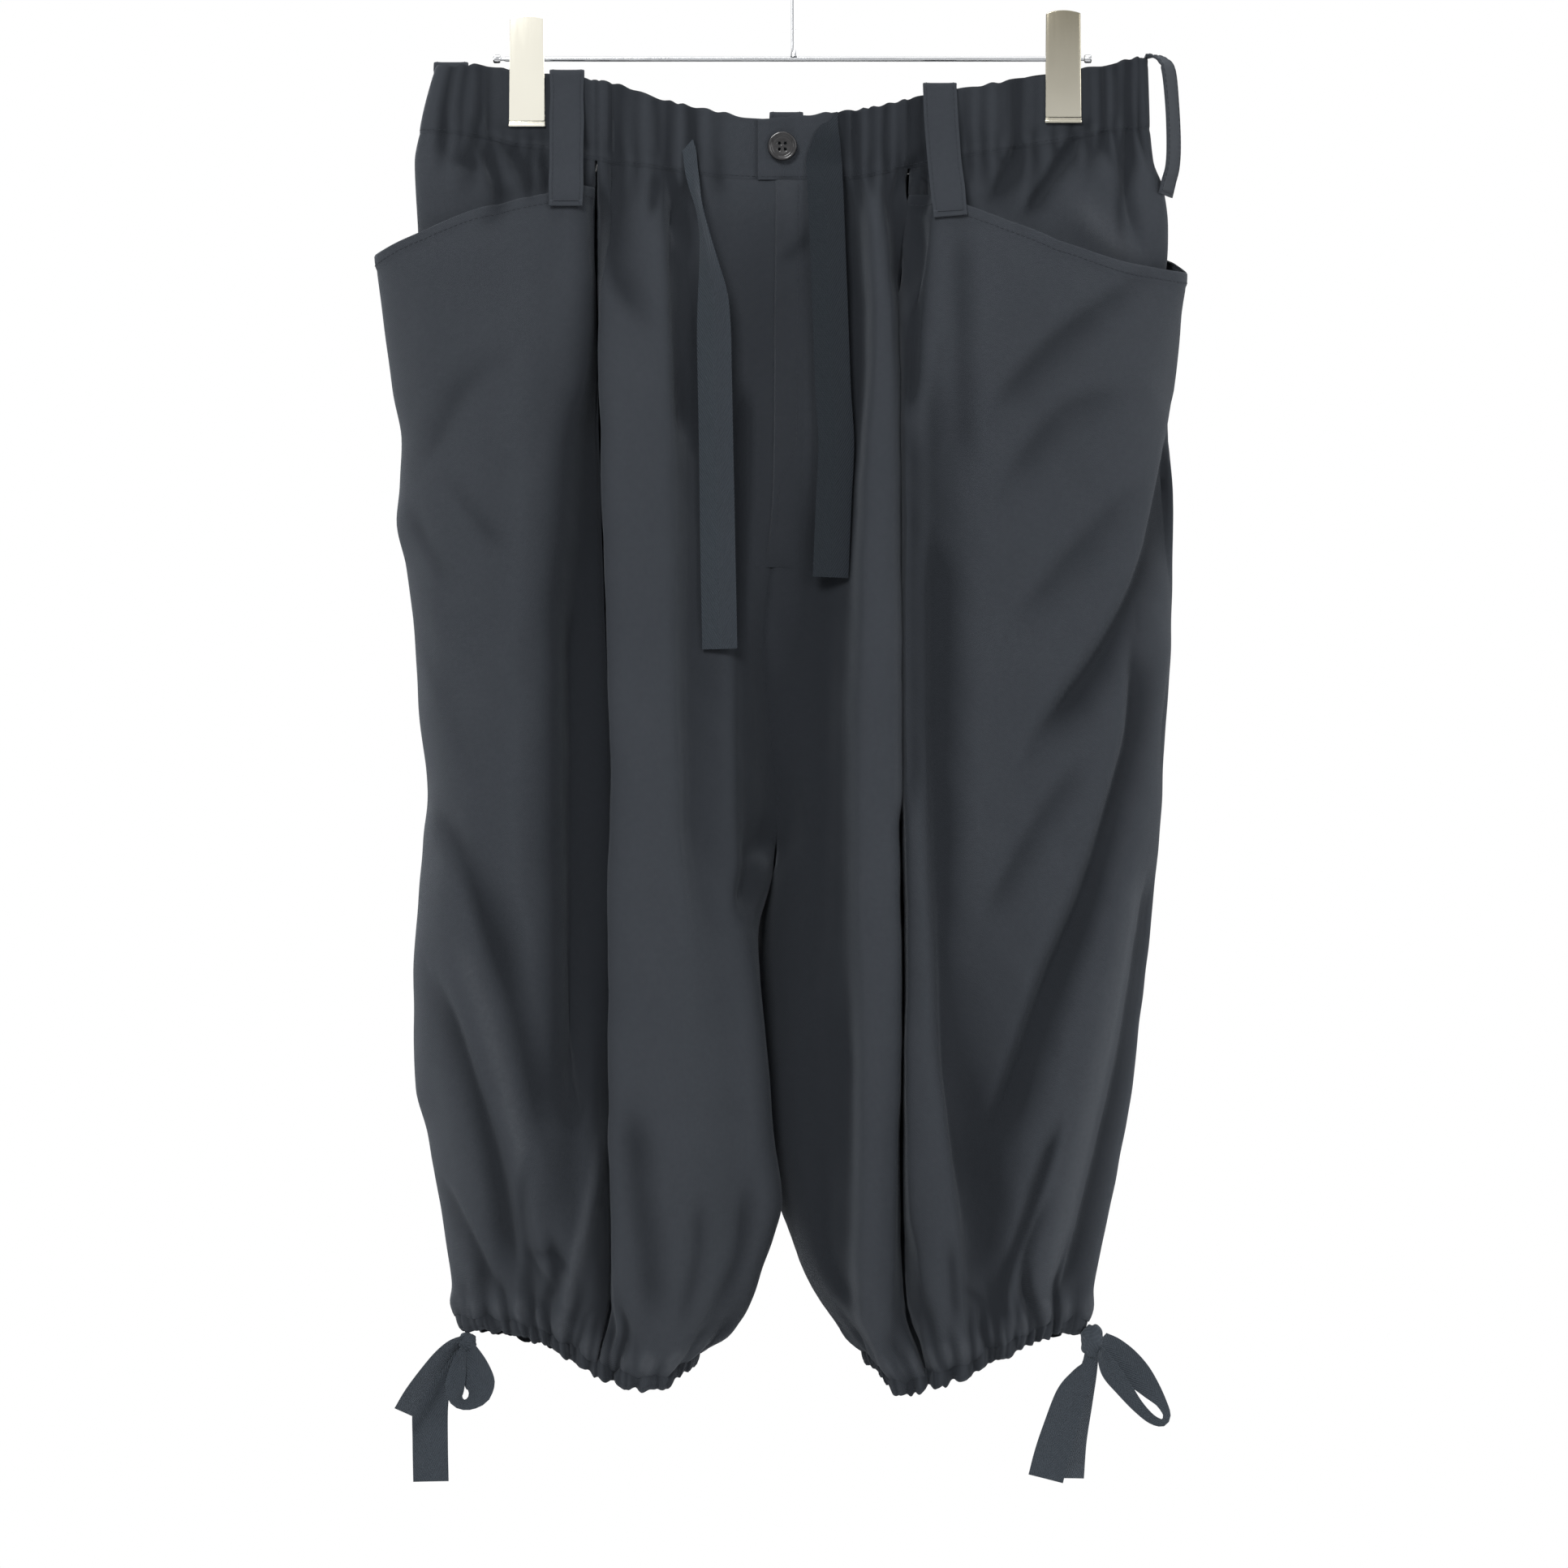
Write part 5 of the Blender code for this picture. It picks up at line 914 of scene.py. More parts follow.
def finished_panel(name, half, a, v, edges, upper=False, top=True, bottom=True, raised=0.0):
    """A panel's shell from grids of a and v."""
    base = half.base(a, v, upper)
    depth, shade = half.dents(a, v, base)
    seams = seam_dips(a, v, base, edges, top, bottom)
    points = base - half.pressing(base, a, v) * (depth + seams - raised)[..., None]
    if bottom:
        sag = HEM_SAG * (1 + 0.3 * np.sin(a * 5.3 + half.sign))
        points[..., 0] += sag * soft_step(1 - (1 - v) * LEG_HEIGHT / SAG_ABOVE)
    # painted shade: the hollows and the folds' depths darken the cloth's colour; the seam dips darken it too
    hollow = HOLLOWS[half.name].at(a, v)
    return shell(name, points, half.outward(points), half.sign, shade + seams, hollow)


def on_cloth(half, a, v, lift):
    """Points just above the finished cloth along a line across it, and the cloth's normals there."""
    aa = np.repeat(a[None], 3, axis=0)
    vv = v[None] + np.array([-1.0, 0.0, 1.0])[:, None] * 0.0015
    base = half.base(aa, vv)
    out = half.pressing(base, aa, vv)
    points = base - out * (half.dents(aa, vv, base)[0] - lift)[..., None]
    return points[1], out[1]


def leg_panel(name, half, first, last):
    """A front or back panel, from the waist seam to the hem seam."""
    a, v = np.meshgrid(columns(half, first, last), rows_down())
    return finished_panel(name, half, a, v, (first, last))


MOUTH_HEM = 7.0
HIP_BELOW_MOUTH_V = 0.055


def side_panel(name, half):
    """The side panel: its upper edge is the pocket mouth, turned in and stitched."""
    a, share = np.meshgrid(columns(half, half.side_from, half.side_to), rows_down())
    mouth = half.mouth(a)
    v = mouth + (1 - mouth) * share
    below = (v - mouth) * LEG_HEIGHT
    raised = 0.55 * (1 - soft_step((below - MOUTH_HEM) / 1.4)) * soft_step(below / 0.9)
    raised -= 0.25 * bell((below - MOUTH_HEM - 0.4) / 0.7)
    return finished_panel(name, half, a, v, (half.side_from, half.side_to), top=False, raised=raised)


def hip_piece(name, half):
    """The hip piece, from the waist seam to below the pocket mouth, inside the side panel."""
    first, last = half.side_from, half.side_to
    reach = np.concatenate([[0, 0.006, 0.014, 0.024], np.linspace(0.04, 1, 40)])
    a, share = np.meshgrid(columns(half, first, last, 1.7), reach)
    inside = soft_step((a - first - 0.4) / 0.8) * soft_step((last - 0.4 - a) / 0.8)
    v = np.maximum(half.mouth(a) + HIP_BELOW_MOUTH_V * inside - 3 * HALF_GAP_V, HALF_GAP_V) * share
    return finished_panel(name, half, a, v, (first, last), upper=True, bottom=False)


BAND_TAPER = {"left": 9.0, "right": 1.5}  # how far each side's upper edge is drawn in
BAND_PITCH, CASING_PITCH = 1.45, 0.8
LAP_COLUMNS = 14
LAP_LINE, LAP_LINE_WIDTH = -9.0, 20.0  # the lapped end lies away from every gather
BAND_STITCH_ROW, CASING_STITCH_ROW = 19, 9
STITCH_LIFT = 0.1
SEWN = []  # lines of stitches: points and the cloth's normals along them


def level_normals(half, points, axis):
    """Level unit normals, out of the cloth, of points that run round a half along one axis."""
    flat = np.gradient(points, axis=axis)
    flat[..., 0] = 0
    return unit(np.cross(np.array([1.0, 0.0, 0.0]), unit(flat))) * half.sign


def waistband(name, half, lap, first):
    """Half of the waistband over its half's waist seam; lap holds (across, forward) of its lapped end."""
    a = half.evenly(first, half.last, 0.0, BAND_PITCH, upper=True)
    seam = half.base(a, np.zeros(len(a)), True)
    lap_across = np.linspace(lap[0][0], lap[-1][0], LAP_COLUMNS)
    lap_forward = np.interp(lap_across * half.sign, [m[0] * half.sign for m in lap], [m[1] for m in lap])
    lapped = np.column_stack([np.full(LAP_COLUMNS, WAIST_DOWN), lap_across, lap_forward])
    line = np.concatenate([lapped, seam])
    top = between(TOP_EDGE, line[:, 1])[:, 0]
    upper, jaws = (np.sign(seam[:, 2]) * np.minimum(np.abs(seam[:, 2]), between(limits, seam[:, 1])[:, 0])
                   for limits in (TOP_FORWARD, JAW_FORWARD))
    share = np.concatenate([[0.0, 0.018, 0.05], np.linspace(0.1, 0.92, 16), [0.95, 0.975, 1.0]])[:, None]
    jaw = np.minimum(share / BAND_JAW_SHARE, 1.0)
    low = soft_step((share - BAND_JAW_SHARE) / (1 - BAND_JAW_SHARE))
    grid = np.repeat(line[None], len(share), axis=0)
    grid[:, :LAP_COLUMNS, 2] += LAP_SLOPE * share
    grid[:, LAP_COLUMNS:, 2] = (upper * (1 - jaw) + jaws * jaw) * (1 - low) + seam[:, 2] * low
    grid[..., 0] = top + (line[:, 0] - GAP / 2 - top) * share
    across = np.concatenate([np.full(LAP_COLUMNS, LAP_LINE), a])
    space = np.concatenate([np.full(LAP_COLUMNS, LAP_LINE_WIDTH), line_width(seam, a)])
    free = soft_step((np.abs(between(TOP_FORWARD, line[:, 1])[:, 0]) - 2.6) / 3.5)
    depth = np.zeros(grid.shape[:2])
    for n, (at, deep, half_width) in enumerate(gather[:3] for gather in half.waist):
        drift = 2.4 * (1 - share) * math.sin(2.3 * n) + 1.6 * np.sin(share * math.pi) * math.sin(4.1 * n + 1)
        strength = 0.55 + 0.45 * math.sin(5.7 * n + 2 * half.sign)
        size = min(deep, 3.0) * (share ** 1.5 + (1 - share ** 1.5) * (0.12 + 0.85 * strength))
        wide = half_width * (0.9 + 0.5 * strength * (1 - share))
        depth += size * free * bell(((across - at) * space - drift) / wide)
    below = np.zeros(depth.shape)
    aa = np.repeat(a[None], len(share), axis=0)
    below[:, LAP_COLUMNS:] = half.dents(aa, np.zeros(aa.shape), grid[:, LAP_COLUMNS:])[0]
    meets = soft_step((share - 0.66) / 0.34)
    from_top, from_seam = share * BAND_HEIGHT, (1 - share) * BAND_HEIGHT
    depth = depth * (1 - meets) + below * meets + WAIST_DIP * bell(from_seam / 1.8)
    depth += 0.16 * bell((from_top - 3.2) / 0.8) + 0.5 * bell(from_top / 0.5)
    normals = level_normals(half, grid, 1)
    grid = grid - normals * depth[..., None]
    grid[..., 0] += (1 - share) ** 3 * 0.55 * np.sin(across * 9.0 + np.sin(across * 4.1))
    outer = soft_step((np.abs(grid[..., 1]) - 165) / 40)
    grid[..., 1] -= half.sign * BAND_TAPER[half.name] * outer * (1 - share) ** 1.3
    sewn = normals[BAND_STITCH_ROW]
    SEWN.append((grid[BAND_STITCH_ROW] + sewn * STITCH_LIFT, sewn))
    # painted shade: the band takes 0.8 of the hollow value at its seam, and its gathers' depth as dent
    hollow = np.broadcast_to(HOLLOWS[half.name].at(across, np.zeros(len(across))) * 0.8, depth.shape)
    return shell(name, grid, normals, half.sign, depth, hollow, 1.5 - 0.5 * bell(from_top / 0.8))


def casing(name, half):
    """The gathered hem casing: a short tube below the hem seam, with a scalloped lower edge."""
    a = half.evenly(0, half.last, 1.0, CASING_PITCH)
    seam = half.base(a, np.ones(len(a)))
    spacing, normals, middle = line_width(seam, a), level_normals(half, seam, 0), seam.mean(axis=0)
    share = np.array([0, 0.04, 0.09, 0.16, 0.25, 0.36, 0.48, 0.6, 0.7, 0.78, 0.86, 0.93, 0.98, 1.0])[:, None]
    below = share * CASING_HEIGHT
    depth = np.zeros((len(share), len(a)))
    for n, (at, deep, half_width) in enumerate(gather[:3] for gather in half.hem):
        off = (a - at) * spacing - 2.0 * share * math.sin(1.9 * n)
        depth += deep * (1.0 - 0.25 * share) * bell(off / (half_width * 0.8))
    # painted shade: the hem gathers' depth darkens the casing's colour
    shade = depth * 1.2
    depth = depth - 0.5 * np.sin(math.pi * share) + 0.3 * bell(below / 0.9)
    depth += 0.25 * bell((below - 9.4) / 0.7) + 0.9 * bell((CASING_HEIGHT - below) / 1.2)
    grid = np.repeat(seam[None], len(share), axis=0)
    ripple = 0.8 * np.sin(a * 7.3 + 1.2 * np.sin(a * 3.1)) - 0.6 * np.clip(shade[-1], 0, 3) + 0.4
    behind = 1.6 * soft_step(-seam[:, 2] / 6)
    grid[..., 0] += GAP / 2 + share * (CASING_HEIGHT - 0.7 + ripple - behind)
    grid[..., 1:] += (middle[1:] - grid[..., 1:]) * CASING_TAPER * share[..., None]
    points = grid - normals * depth[..., None]
    # painted shade: the hollow value at the hem seam, and a little more
    hollow = np.broadcast_to(HOLLOWS[half.name].at(a, np.ones(len(a))) + 0.05, depth.shape)
    SEWN.append((points[CASING_STITCH_ROW] + normals * STITCH_LIFT, normals))
    return shell(name, points, np.broadcast_to(normals, points.shape), half.sign, shade, hollow, 1.1)


def fly_front(left, right):
    """The fly front: it laps over the left panel and runs out into the right one."""
    v = np.concatenate([[2 * HALF_GAP_V], np.linspace(0.006, FLY_BOTTOM_V, 72)])
    over = np.array([0.5, 0.49, 0.475, 0.455, 0.43, 0.36, 0.28, 0.2, 0.12, 0.05])
    along = np.concatenate([[0.0, 0.03, 0.07], np.linspace(0.12, 1.0, 14)])
    grids = []
    for half, a in ((left, over), (right, along)):
        a, vv = np.meshgrid(a, v)
        base = half.base(a, vv)
        wide = half.pressing(base, a, vv)
        depth, shade = half.dents(a, vv, base)
        grids.append((base - wide * depth[..., None], wide, HOLLOWS[half.name].at(a, vv), shade))
    base, wide, hollow, shade = (np.concatenate(pair, axis=1) for pair in zip(*grids))
    place = np.concatenate([-over, along])[None, :]
    rise = FLY_RISE * (1 - soft_step((place - 0.15) / 0.75)) + 0.12
    rise = rise - 0.7 * bell((place + 0.5) / 0.02) - 0.35 * bell((place - 0.72) / 0.05)
    bottom = soft_step((FLY_BOTTOM_V - v) * LEG_HEIGHT / 9 + 0.25)[:, None]
    puckers = 0.12 * np.sin(v * 210.0)[:, None] * bell(place / 0.5)
    points = base + wide * (rise * bottom + puckers)[..., None]
    column = np.clip(np.minimum(len(over) + 9, len(v) - 5 - np.arange(len(v)))[:-6], len(over), None)
    sewn = np.arange(len(column)), column
    SEWN.append((points[sewn] + wide[sewn] * 0.12, wide[sewn]))
    # painted shade: the dents' shade, less where the fly stands off the panels
    return shell("fly", points, right.outward(points), 1, shade - rise * bottom * 0.2, hollow, 0.55)


# ---------------------------------------------------------------- tapes and stitches

TAPE_SIDES = 18


def ribbon_rows(path, spacing, side=None):
    """Centres, sideways and outward directions and widths along a tape's smoothed path."""
    path = smooth_path(path, spacing)
    centre, width, turn = path[:, :3], path[:, 3], np.radians(path[:, 4])
    along = unit(np.gradient(centre, axis=0))
    if side is None:
        level = unit(np.cross(np.array([0.0, 0.0, 1.0]), along))
        upright = unit(np.cross(along, level))
        side = level * np.cos(turn)[:, None] + upright * np.sin(turn)[:, None]
    else:
        side = unit(side - along * (along @ np.array(side, float))[:, None])
    return centre, side, unit(np.cross(side, along)), width


def ribbon_parts(path, thickness=TAPE_THICKNESS, camber=0.35, spacing=2.2, edge=0.0, fixed=None):
    """Points, faces and weave lengths of a flat tape with rounded edges and a slight camber."""
    centre, side, face, width = ribbon_rows(path, spacing, fixed)
    turns = 2 * math.pi * (np.arange(TAPE_SIDES) + 0.5) / TAPE_SIDES
    sx = np.sign(np.cos(turns)) * np.abs(np.cos(turns)) ** 0.55
    sy = np.sign(np.sin(turns)) * np.abs(np.sin(turns)) ** 0.45
    bow = camber * (1 - sx ** 2)
    lip = edge * bell((np.abs(sx) - 0.86) / 0.12)
    half_width = width[:, None, None] / 2
    slim = np.clip(width / 10, 0.5, 1)[:, None, None]
    points = (
        centre[:, None] + side[:, None] * sx[None, :, None] * half_width
        + face[:, None] * (sy * thickness / 2 * (1 + lip) + bow)[None, :, None] * slim
    )
    weave = np.stack(np.broadcast_arrays(sx * width[:, None] / 2, length_along(centre)[:, None]), axis=-1)
    return points.reshape(-1, 3), tube_faces(len(centre), TAPE_SIDES), weave.reshape(-1, 2)


def ribbons(name, paths, finish, shade=0.0, **shape):
    """One object of one or more tapes, whose shade is painted into its colour as its hollow value."""
    points, faces, weave, count = [], [], [], 0
    for path in paths:
        p, f, w = ribbon_parts(path, **shape)
        faces += [tuple(n + count for n in face) for face in f]
        points.append(p)
        weave.append(w)
        count += len(p)
    return closed_mesh(name, np.concatenate(points), faces, finish, weave=np.concatenate(weave),
                       hollow=np.full(count, shade))


def centreline(path, spacing=4.0):
    """Points along the middle of a tape."""
    return smooth_path(np.array(path, float)[:, :3], spacing)


# A stitch's rings: shares of its length, and of its radius there.
STITCH_SHARES = np.array([0.0, 0.14, 0.5, 0.86, 1.0])[:, None, None]
STITCH_SIZES = np.array([0.35, 0.88, 1.0, 0.88, 0.35])[:, None, None]
STITCH_SIDES = 6


def stitches(name, lines, pitch=3.0, length=2.1, radius=0.22):
    """Small stitches laid along lines of points, each with the cloth's normals there."""
    found, turns = [], ring_turns(STITCH_SIDES)
    for points, normals in lines:
        along = length_along(points)
        middle = np.arange(pitch, along[-1] - pitch / 2, pitch)
        places = (middle - length / 2, points), (middle + length / 2, points), (middle, normals)
        first, last, out = (
            np.stack([np.interp(at, along, values[:, k]) for k in range(3)], axis=1) for at, values in places
        )
        side = unit(np.cross(last - first, out))
        out = unit(np.cross(side, last - first))
        round_it = side[:, None, None] * np.cos(turns)[:, None] + out[:, None, None] * np.sin(turns)[:, None]
        centre = first[:, None, None] * (1 - STITCH_SHARES) + last[:, None, None] * STITCH_SHARES
        found.append(centre + round_it * (STITCH_SIZES * radius))
    points = np.concatenate(found)
    faces = tube_faces(len(STITCH_SHARES), STITCH_SIDES, len(points))
    return closed_mesh(name, points.reshape(-1, 3), faces, "thread")


# ---------------------------------------------------------------- camera, light and floor

PIXEL_MM = 0.44  # one pixel of the photo
CAMERA_AWAY = 5.0
PHOTO_SIDE, PHOTO_MIDDLE = 1932, 966  # in pixels
ORIGIN_COLUMN, ORIGIN_ROW = 978, -200  # the pixel at which the part's origin lies, above the photo
VIEW_SIZE = PHOTO_SIDE * PIXEL_MM * MM
VIEW_ACROSS = (PHOTO_MIDDLE - ORIGIN_COLUMN) * PIXEL_MM * MM
VIEW_UP = -(PHOTO_MIDDLE - ORIGIN_ROW) * PIXEL_MM * MM


def camera():
    """The camera, straight from the front, with the photo's own frame."""
    lens = bpy.data.cameras.new("camera")
    lens.sensor_width, lens.lens = 36.0, 36.0 * CAMERA_AWAY / VIEW_SIZE
    made = bpy.data.objects.new("camera", lens)
    made.location = (VIEW_ACROSS, -CAMERA_AWAY, VIEW_UP)
    made.rotation_euler = (math.pi / 2, 0, 0)
    bpy.context.collection.objects.link(made)
    bpy.context.scene.camera = made


# Soft boxes: name, place, the point it faces, its size and its power in watts.
SOFT_BOXES = [
    ("key", (-0.8, -2.6, 1.35), (0, 0, -0.35), 1.0, 70.0),
    ("fill", (1.7, -2.3, 0.5), (0, 0, -0.45), 1.3, 20.0),
    ("rear_left", (-1.3, 2.4, 1.2), (0, 0, -0.4), 1.1, 60.0),
    ("rear_right", (1.8, 2.1, 0.5), (0, 0, -0.45), 1.3, 20.0),
    ("top", (0.0, 0.0, 1.6), (0, 0, -0.5), 1.3, 12.0),
    ("side_left", (-2.0, -0.15, -0.4), (0, 0, -0.45), 1.0, 11.0),
    ("side_right", (2.0, -0.15, -0.4), (0, 0, -0.45), 1.0, 13.0),
]


def lights():
    """Soft boxes, and a world that is white to the camera, dim as light and graded in reflections."""
    for name, place, aim, size, power in SOFT_BOXES:
        lamp = bpy.data.lights.new(name, "AREA")
        lamp.shape, lamp.size, lamp.energy = "SQUARE", size, power
        made = bpy.data.objects.new(name, lamp)
        made.location = place
        made.rotation_euler = (Vector(aim) - Vector(place)).to_track_quat("-Z", "Y").to_euler()
        made.visible_camera = False
        bpy.context.collection.objects.link(made)
    world = bpy.data.worlds.new("studio")
    world.use_nodes = True
    w = Wiring(world.node_tree)
    seen, out = (world.node_tree.nodes[name] for name in ("Background", "World Output"))
    room, mirrored = w.add("ShaderNodeBackground"), w.add("ShaderNodeBackground")
    for made, colour, strength in ((seen, (1.0, 1.0, 1.0, 1), 1.0), (room, (0.93, 0.96, 1.0, 1), 0.15)):
        made.inputs["Color"].default_value = colour
        made.inputs["Strength"].default_value = strength
    height = w.add("ShaderNodeSeparateXYZ")
    w.join(w.add("ShaderNodeTexCoord").outputs["Generated"], height.inputs[0])
    rise = w.add("ShaderNodeMapRange", interpolation_type="SMOOTHSTEP")
    w.join(height.outputs["Z"], rise.inputs["Value"])
    for label, value in (("From Min", -0.55), ("From Max", -0.05), ("To Min", 0.25), ("To Max", 1.12)):
        rise.inputs[label].default_value = value
    w.join(rise.outputs["Result"], mirrored.inputs["Strength"])
    ray, shown = w.add("ShaderNodeLightPath").outputs, room.outputs["Background"]
    for kind, other in (("Is Glossy Ray", mirrored), ("Is Camera Ray", seen)):
        mixed = w.add("ShaderNodeMixShader")
        for socket, source in zip(mixed.inputs, (ray[kind], shown, other.outputs["Background"])):
            w.join(source, socket)
        shown = mixed.outputs["Shader"]
    w.join(shown, out.inputs["Surface"])
    bpy.context.scene.world = world
    bpy.context.scene.view_settings.view_transform = "Standard"


FLOOR_DOWN, FLOOR_RADIUS = 1300.0, 2600.0


def floor():
    """A plain pale round floor well below the hems."""
    rings, sides = (0.25, 0.5, 0.75, 1.0), 96
    points, faces = [(FLOOR_DOWN, 0.0, 0.0)], []
    for radius in np.array(rings) * FLOOR_RADIUS:
        points += [(FLOOR_DOWN, radius * math.cos(t), radius * math.sin(t)) for t in ring_turns(sides)]
    for n in range(sides):
        m = (n + 1) % sides
        faces.append((0, 1 + n, 1 + m))
        for k in range(1, 1 + (len(rings) - 1) * sides, sides):
            faces.append((k + n, k + sides + n, k + sides + m, k + m))
    closed_mesh("floor", np.array(points), faces, "floor")


# ---------------------------------------------------------------- finishes

class Wiring:
    """Short hands for one node tree."""

    def __init__(self, tree):
        self.tree = tree

    def add(self, kind, **settings):
        made = self.tree.nodes.new(kind)
        for key, value in settings.items():
            setattr(made, key, value)
        return made

    def join(self, source, target):
        self.tree.links.new(source, target)

    def feed(self, socket, value):
        """Gives a socket a plain value, or the output of another node."""
        if isinstance(value, (int, float, tuple)):
            socket.default_value = value
        else:
            self.join(value, socket)

    def math(self, operation, *values, clamp=False):
        made = self.add("ShaderNodeMath", operation=operation, use_clamp=clamp)
        for socket, value in zip(made.inputs, values):
            self.feed(socket, value)
        return made.outputs[0]

    def sine(self, value, rate):
        return self.math("SINE", self.math("MULTIPLY", value, rate))

    def weighed(self, first, first_weight, second, second_weight):
        """The sum of two values, each times its weight."""
        return self.math("ADD", self.math("MULTIPLY", first, first_weight),
                         self.math("MULTIPLY", second, second_weight))

    def attribute(self, name, output="Fac"):
        return self.add("ShaderNodeAttribute", attribute_name=name).outputs[output]

    def noise(self, vector, scale, detail=2.0):
        made = self.add("ShaderNodeTexNoise")
        for label, value in (("Vector", vector), ("Scale", scale), ("Detail", detail)):
            self.feed(made.inputs[label], value)
        return made.outputs["Fac"]

    def placed(self, made, **values):
        """The outputs of a node group that is used here with its own values."""
        node = self.add("ShaderNodeGroup", node_tree=made)
        for label, value in values.items():
            self.feed(node.inputs[label.replace("_", " ")], value)
        return node.outputs

    def blend(self, share, first, second):
        """A colour between two, by a share from 0 to 1."""
        made = self.add("ShaderNodeMix", data_type="RGBA")
        self.join(share, made.inputs["Factor"])
        for socket, value in ((made.inputs["A"], first), (made.inputs["B"], second)):
            self.feed(socket, (*value, 1) if isinstance(value, tuple) else value)
        return made.outputs["Result"]


def group(name, inputs, outputs):
    """A new node group's wiring, given values and results; inputs are (name, value)."""
    made = bpy.data.node_groups.new(name, "ShaderNodeTree")
    for label, value in inputs:
        kind = "NodeSocketVector" if isinstance(value, tuple) else "NodeSocketFloat"
        made.interface.new_socket(name=label, in_out="INPUT", socket_type=kind).default_value = value
    for label in outputs:
        made.interface.new_socket(name=label, in_out="OUTPUT", socket_type="NodeSocketFloat")
    return Wiring(made), made.nodes.new("NodeGroupInput").outputs, made.nodes.new("NodeGroupOutput").inputs


def weave_group(name, *inputs):
    """A group for a weave, from lengths in millimetres, with its lengths across and along."""
    w, given, out = group(name, [("Lengths", (0.0, 0.0, 0.0)), *inputs], ["Height", "Shade"])
    parts = w.add("ShaderNodeSeparateXYZ")
    w.join(given["Lengths"], parts.inputs[0])
    return w, given, out, parts.outputs["X"], parts.outputs["Y"]


def twill_group():
    """Slanted twill ribs crossed by fine yarns."""
    w, given, out, across, along = weave_group("twill", ("Pitch", 0.7), ("Slant", 1.0))
    along = w.math("MULTIPLY", along, given["Slant"])
    ribs = w.sine(w.math("DIVIDE", w.math("ADD", across, along), given["Pitch"]), 2 * math.pi)
    yarns = w.sine(w.math("DIVIDE", w.math("SUBTRACT", across, along), given["Pitch"]), 2 * math.pi * 1.6)
    both = w.weighed(ribs, 0.6, yarns, 0.25)
    w.join(w.math("MULTIPLY_ADD", both, 0.5), out["Height"])
    w.join(w.math("ADD", w.math("MULTIPLY", both, 0.5), 0.5, clamp=True), out["Shade"])
    return w.tree


def rib_group():
    """Fine ribs along a tape, crossed by its filling yarns."""
    w, given, out, across, along = weave_group("tape rib", ("Pitch", 1.1))
    lean = w.math("ADD", w.math("ABSOLUTE", across), w.math("MULTIPLY", along, 0.55))
    ribs = w.sine(w.math("DIVIDE", lean, given["Pitch"]), 2 * math.pi)
    both = w.weighed(ribs, 0.65, w.sine(along, 2 * math.pi / 0.45), 0.2)
    w.join(both, out["Height"])
    w.join(w.math("ADD", w.math("MULTIPLY", both, 0.5), 0.5, clamp=True), out["Shade"])
    return w.tree


def mottle_group():
    """Soft uneven patches of two sizes over the surface, 0 to 1."""
    w, given, out = group("mottle", [("Coarse", 14.0), ("Fine", 160.0), ("Share of fine", 0.3)], ["Patches"])
    place = w.add("ShaderNodeTexCoord").outputs["Object"]
    coarse, fine = w.noise(place, given["Coarse"], 3.0), w.noise(place, given["Fine"])
    fine = w.math("MULTIPLY", fine, given["Share of fine"])
    rest = w.math("MULTIPLY", coarse, w.math("SUBTRACT", 1.0, given["Share of fine"]))
    w.join(w.math("ADD", fine, rest, clamp=True), out["Patches"])
    return w.tree


def wear_and_shade_group():
    """Where cloth is rubbed, on the ridges beside its dents, and the painted shade where it lies deep in
    hollows and folds.
    """
    w, given, out = group("rubbed ridges", [("Dent", 0.0), ("Hollow", 0.0), ("Patches", 0.5), ("Reach", 1.0)],
                          ["Rubbed", "Deep"])
    ridge = w.math("DIVIDE", w.math("MULTIPLY", given["Dent"], -1.0), given["Reach"], clamp=True)
    w.join(w.math("MULTIPLY", ridge, given["Patches"], clamp=True), out["Rubbed"])
    pressed = w.math("DIVIDE", given["Dent"], w.math("MULTIPLY", given["Reach"], 4.0), clamp=True)
    w.join(w.math("MULTIPLY_ADD", given["Hollow"], 2.9, pressed, clamp=True), out["Deep"])
    return w.tree


def scratch_group():
    """Fine drawn scratches and smudges on metal, 0 to 1."""
    w, given, out = group("drawn scratches", [("Stretch", (900.0, 60.0, 60.0)), ("Smudge", 30.0)],
                          ["Marks", "Smudges"])
    place = w.add("ShaderNodeTexCoord").outputs["Object"]
    scaled = w.add("ShaderNodeVectorMath", operation="MULTIPLY")
    w.join(place, scaled.inputs[0])
    w.join(given["Stretch"], scaled.inputs[1])
    w.join(w.noise(scaled.outputs[0], 1.0, 4.0), out["Marks"])
    w.join(w.noise(place, given["Smudge"]), out["Smudges"])
    return w.tree


FINISHES = {}


def blank(name, roughness, metallic=0.0, **constants):
    """The wiring of a new material and its shader's sockets, with their plain values set."""
    FINISHES[name] = bpy.data.materials.new(name)
    FINISHES[name].use_nodes = True
    tree = FINISHES[name].node_tree
    sockets = tree.nodes["Principled BSDF"].inputs
    for label, value in {"Roughness": roughness, "Metallic": metallic, **constants}.items():
        sockets[label.replace("_", " ")].default_value = value
    return Wiring(tree), sockets


def surface(w, sockets, colour, patches, low, high, height, distance):
    """Joins a colour, a roughness that patches spread from low to high, and a fine relief."""
    w.join(colour, sockets["Base Color"])
    spread = w.add("ShaderNodeMapRange")
    for label, value in (("Value", patches), ("To Min", low), ("To Max", high)):
        w.feed(spread.inputs[label], value)
    w.join(spread.outputs["Result"], sockets["Roughness"])
    bump = w.add("ShaderNodeBump")
    for label, value in (("Distance", distance), ("Strength", 1.0), ("Height", height)):
        w.feed(bump.inputs[label], value)
    w.join(bump.outputs["Normal"], sockets["Normal"])


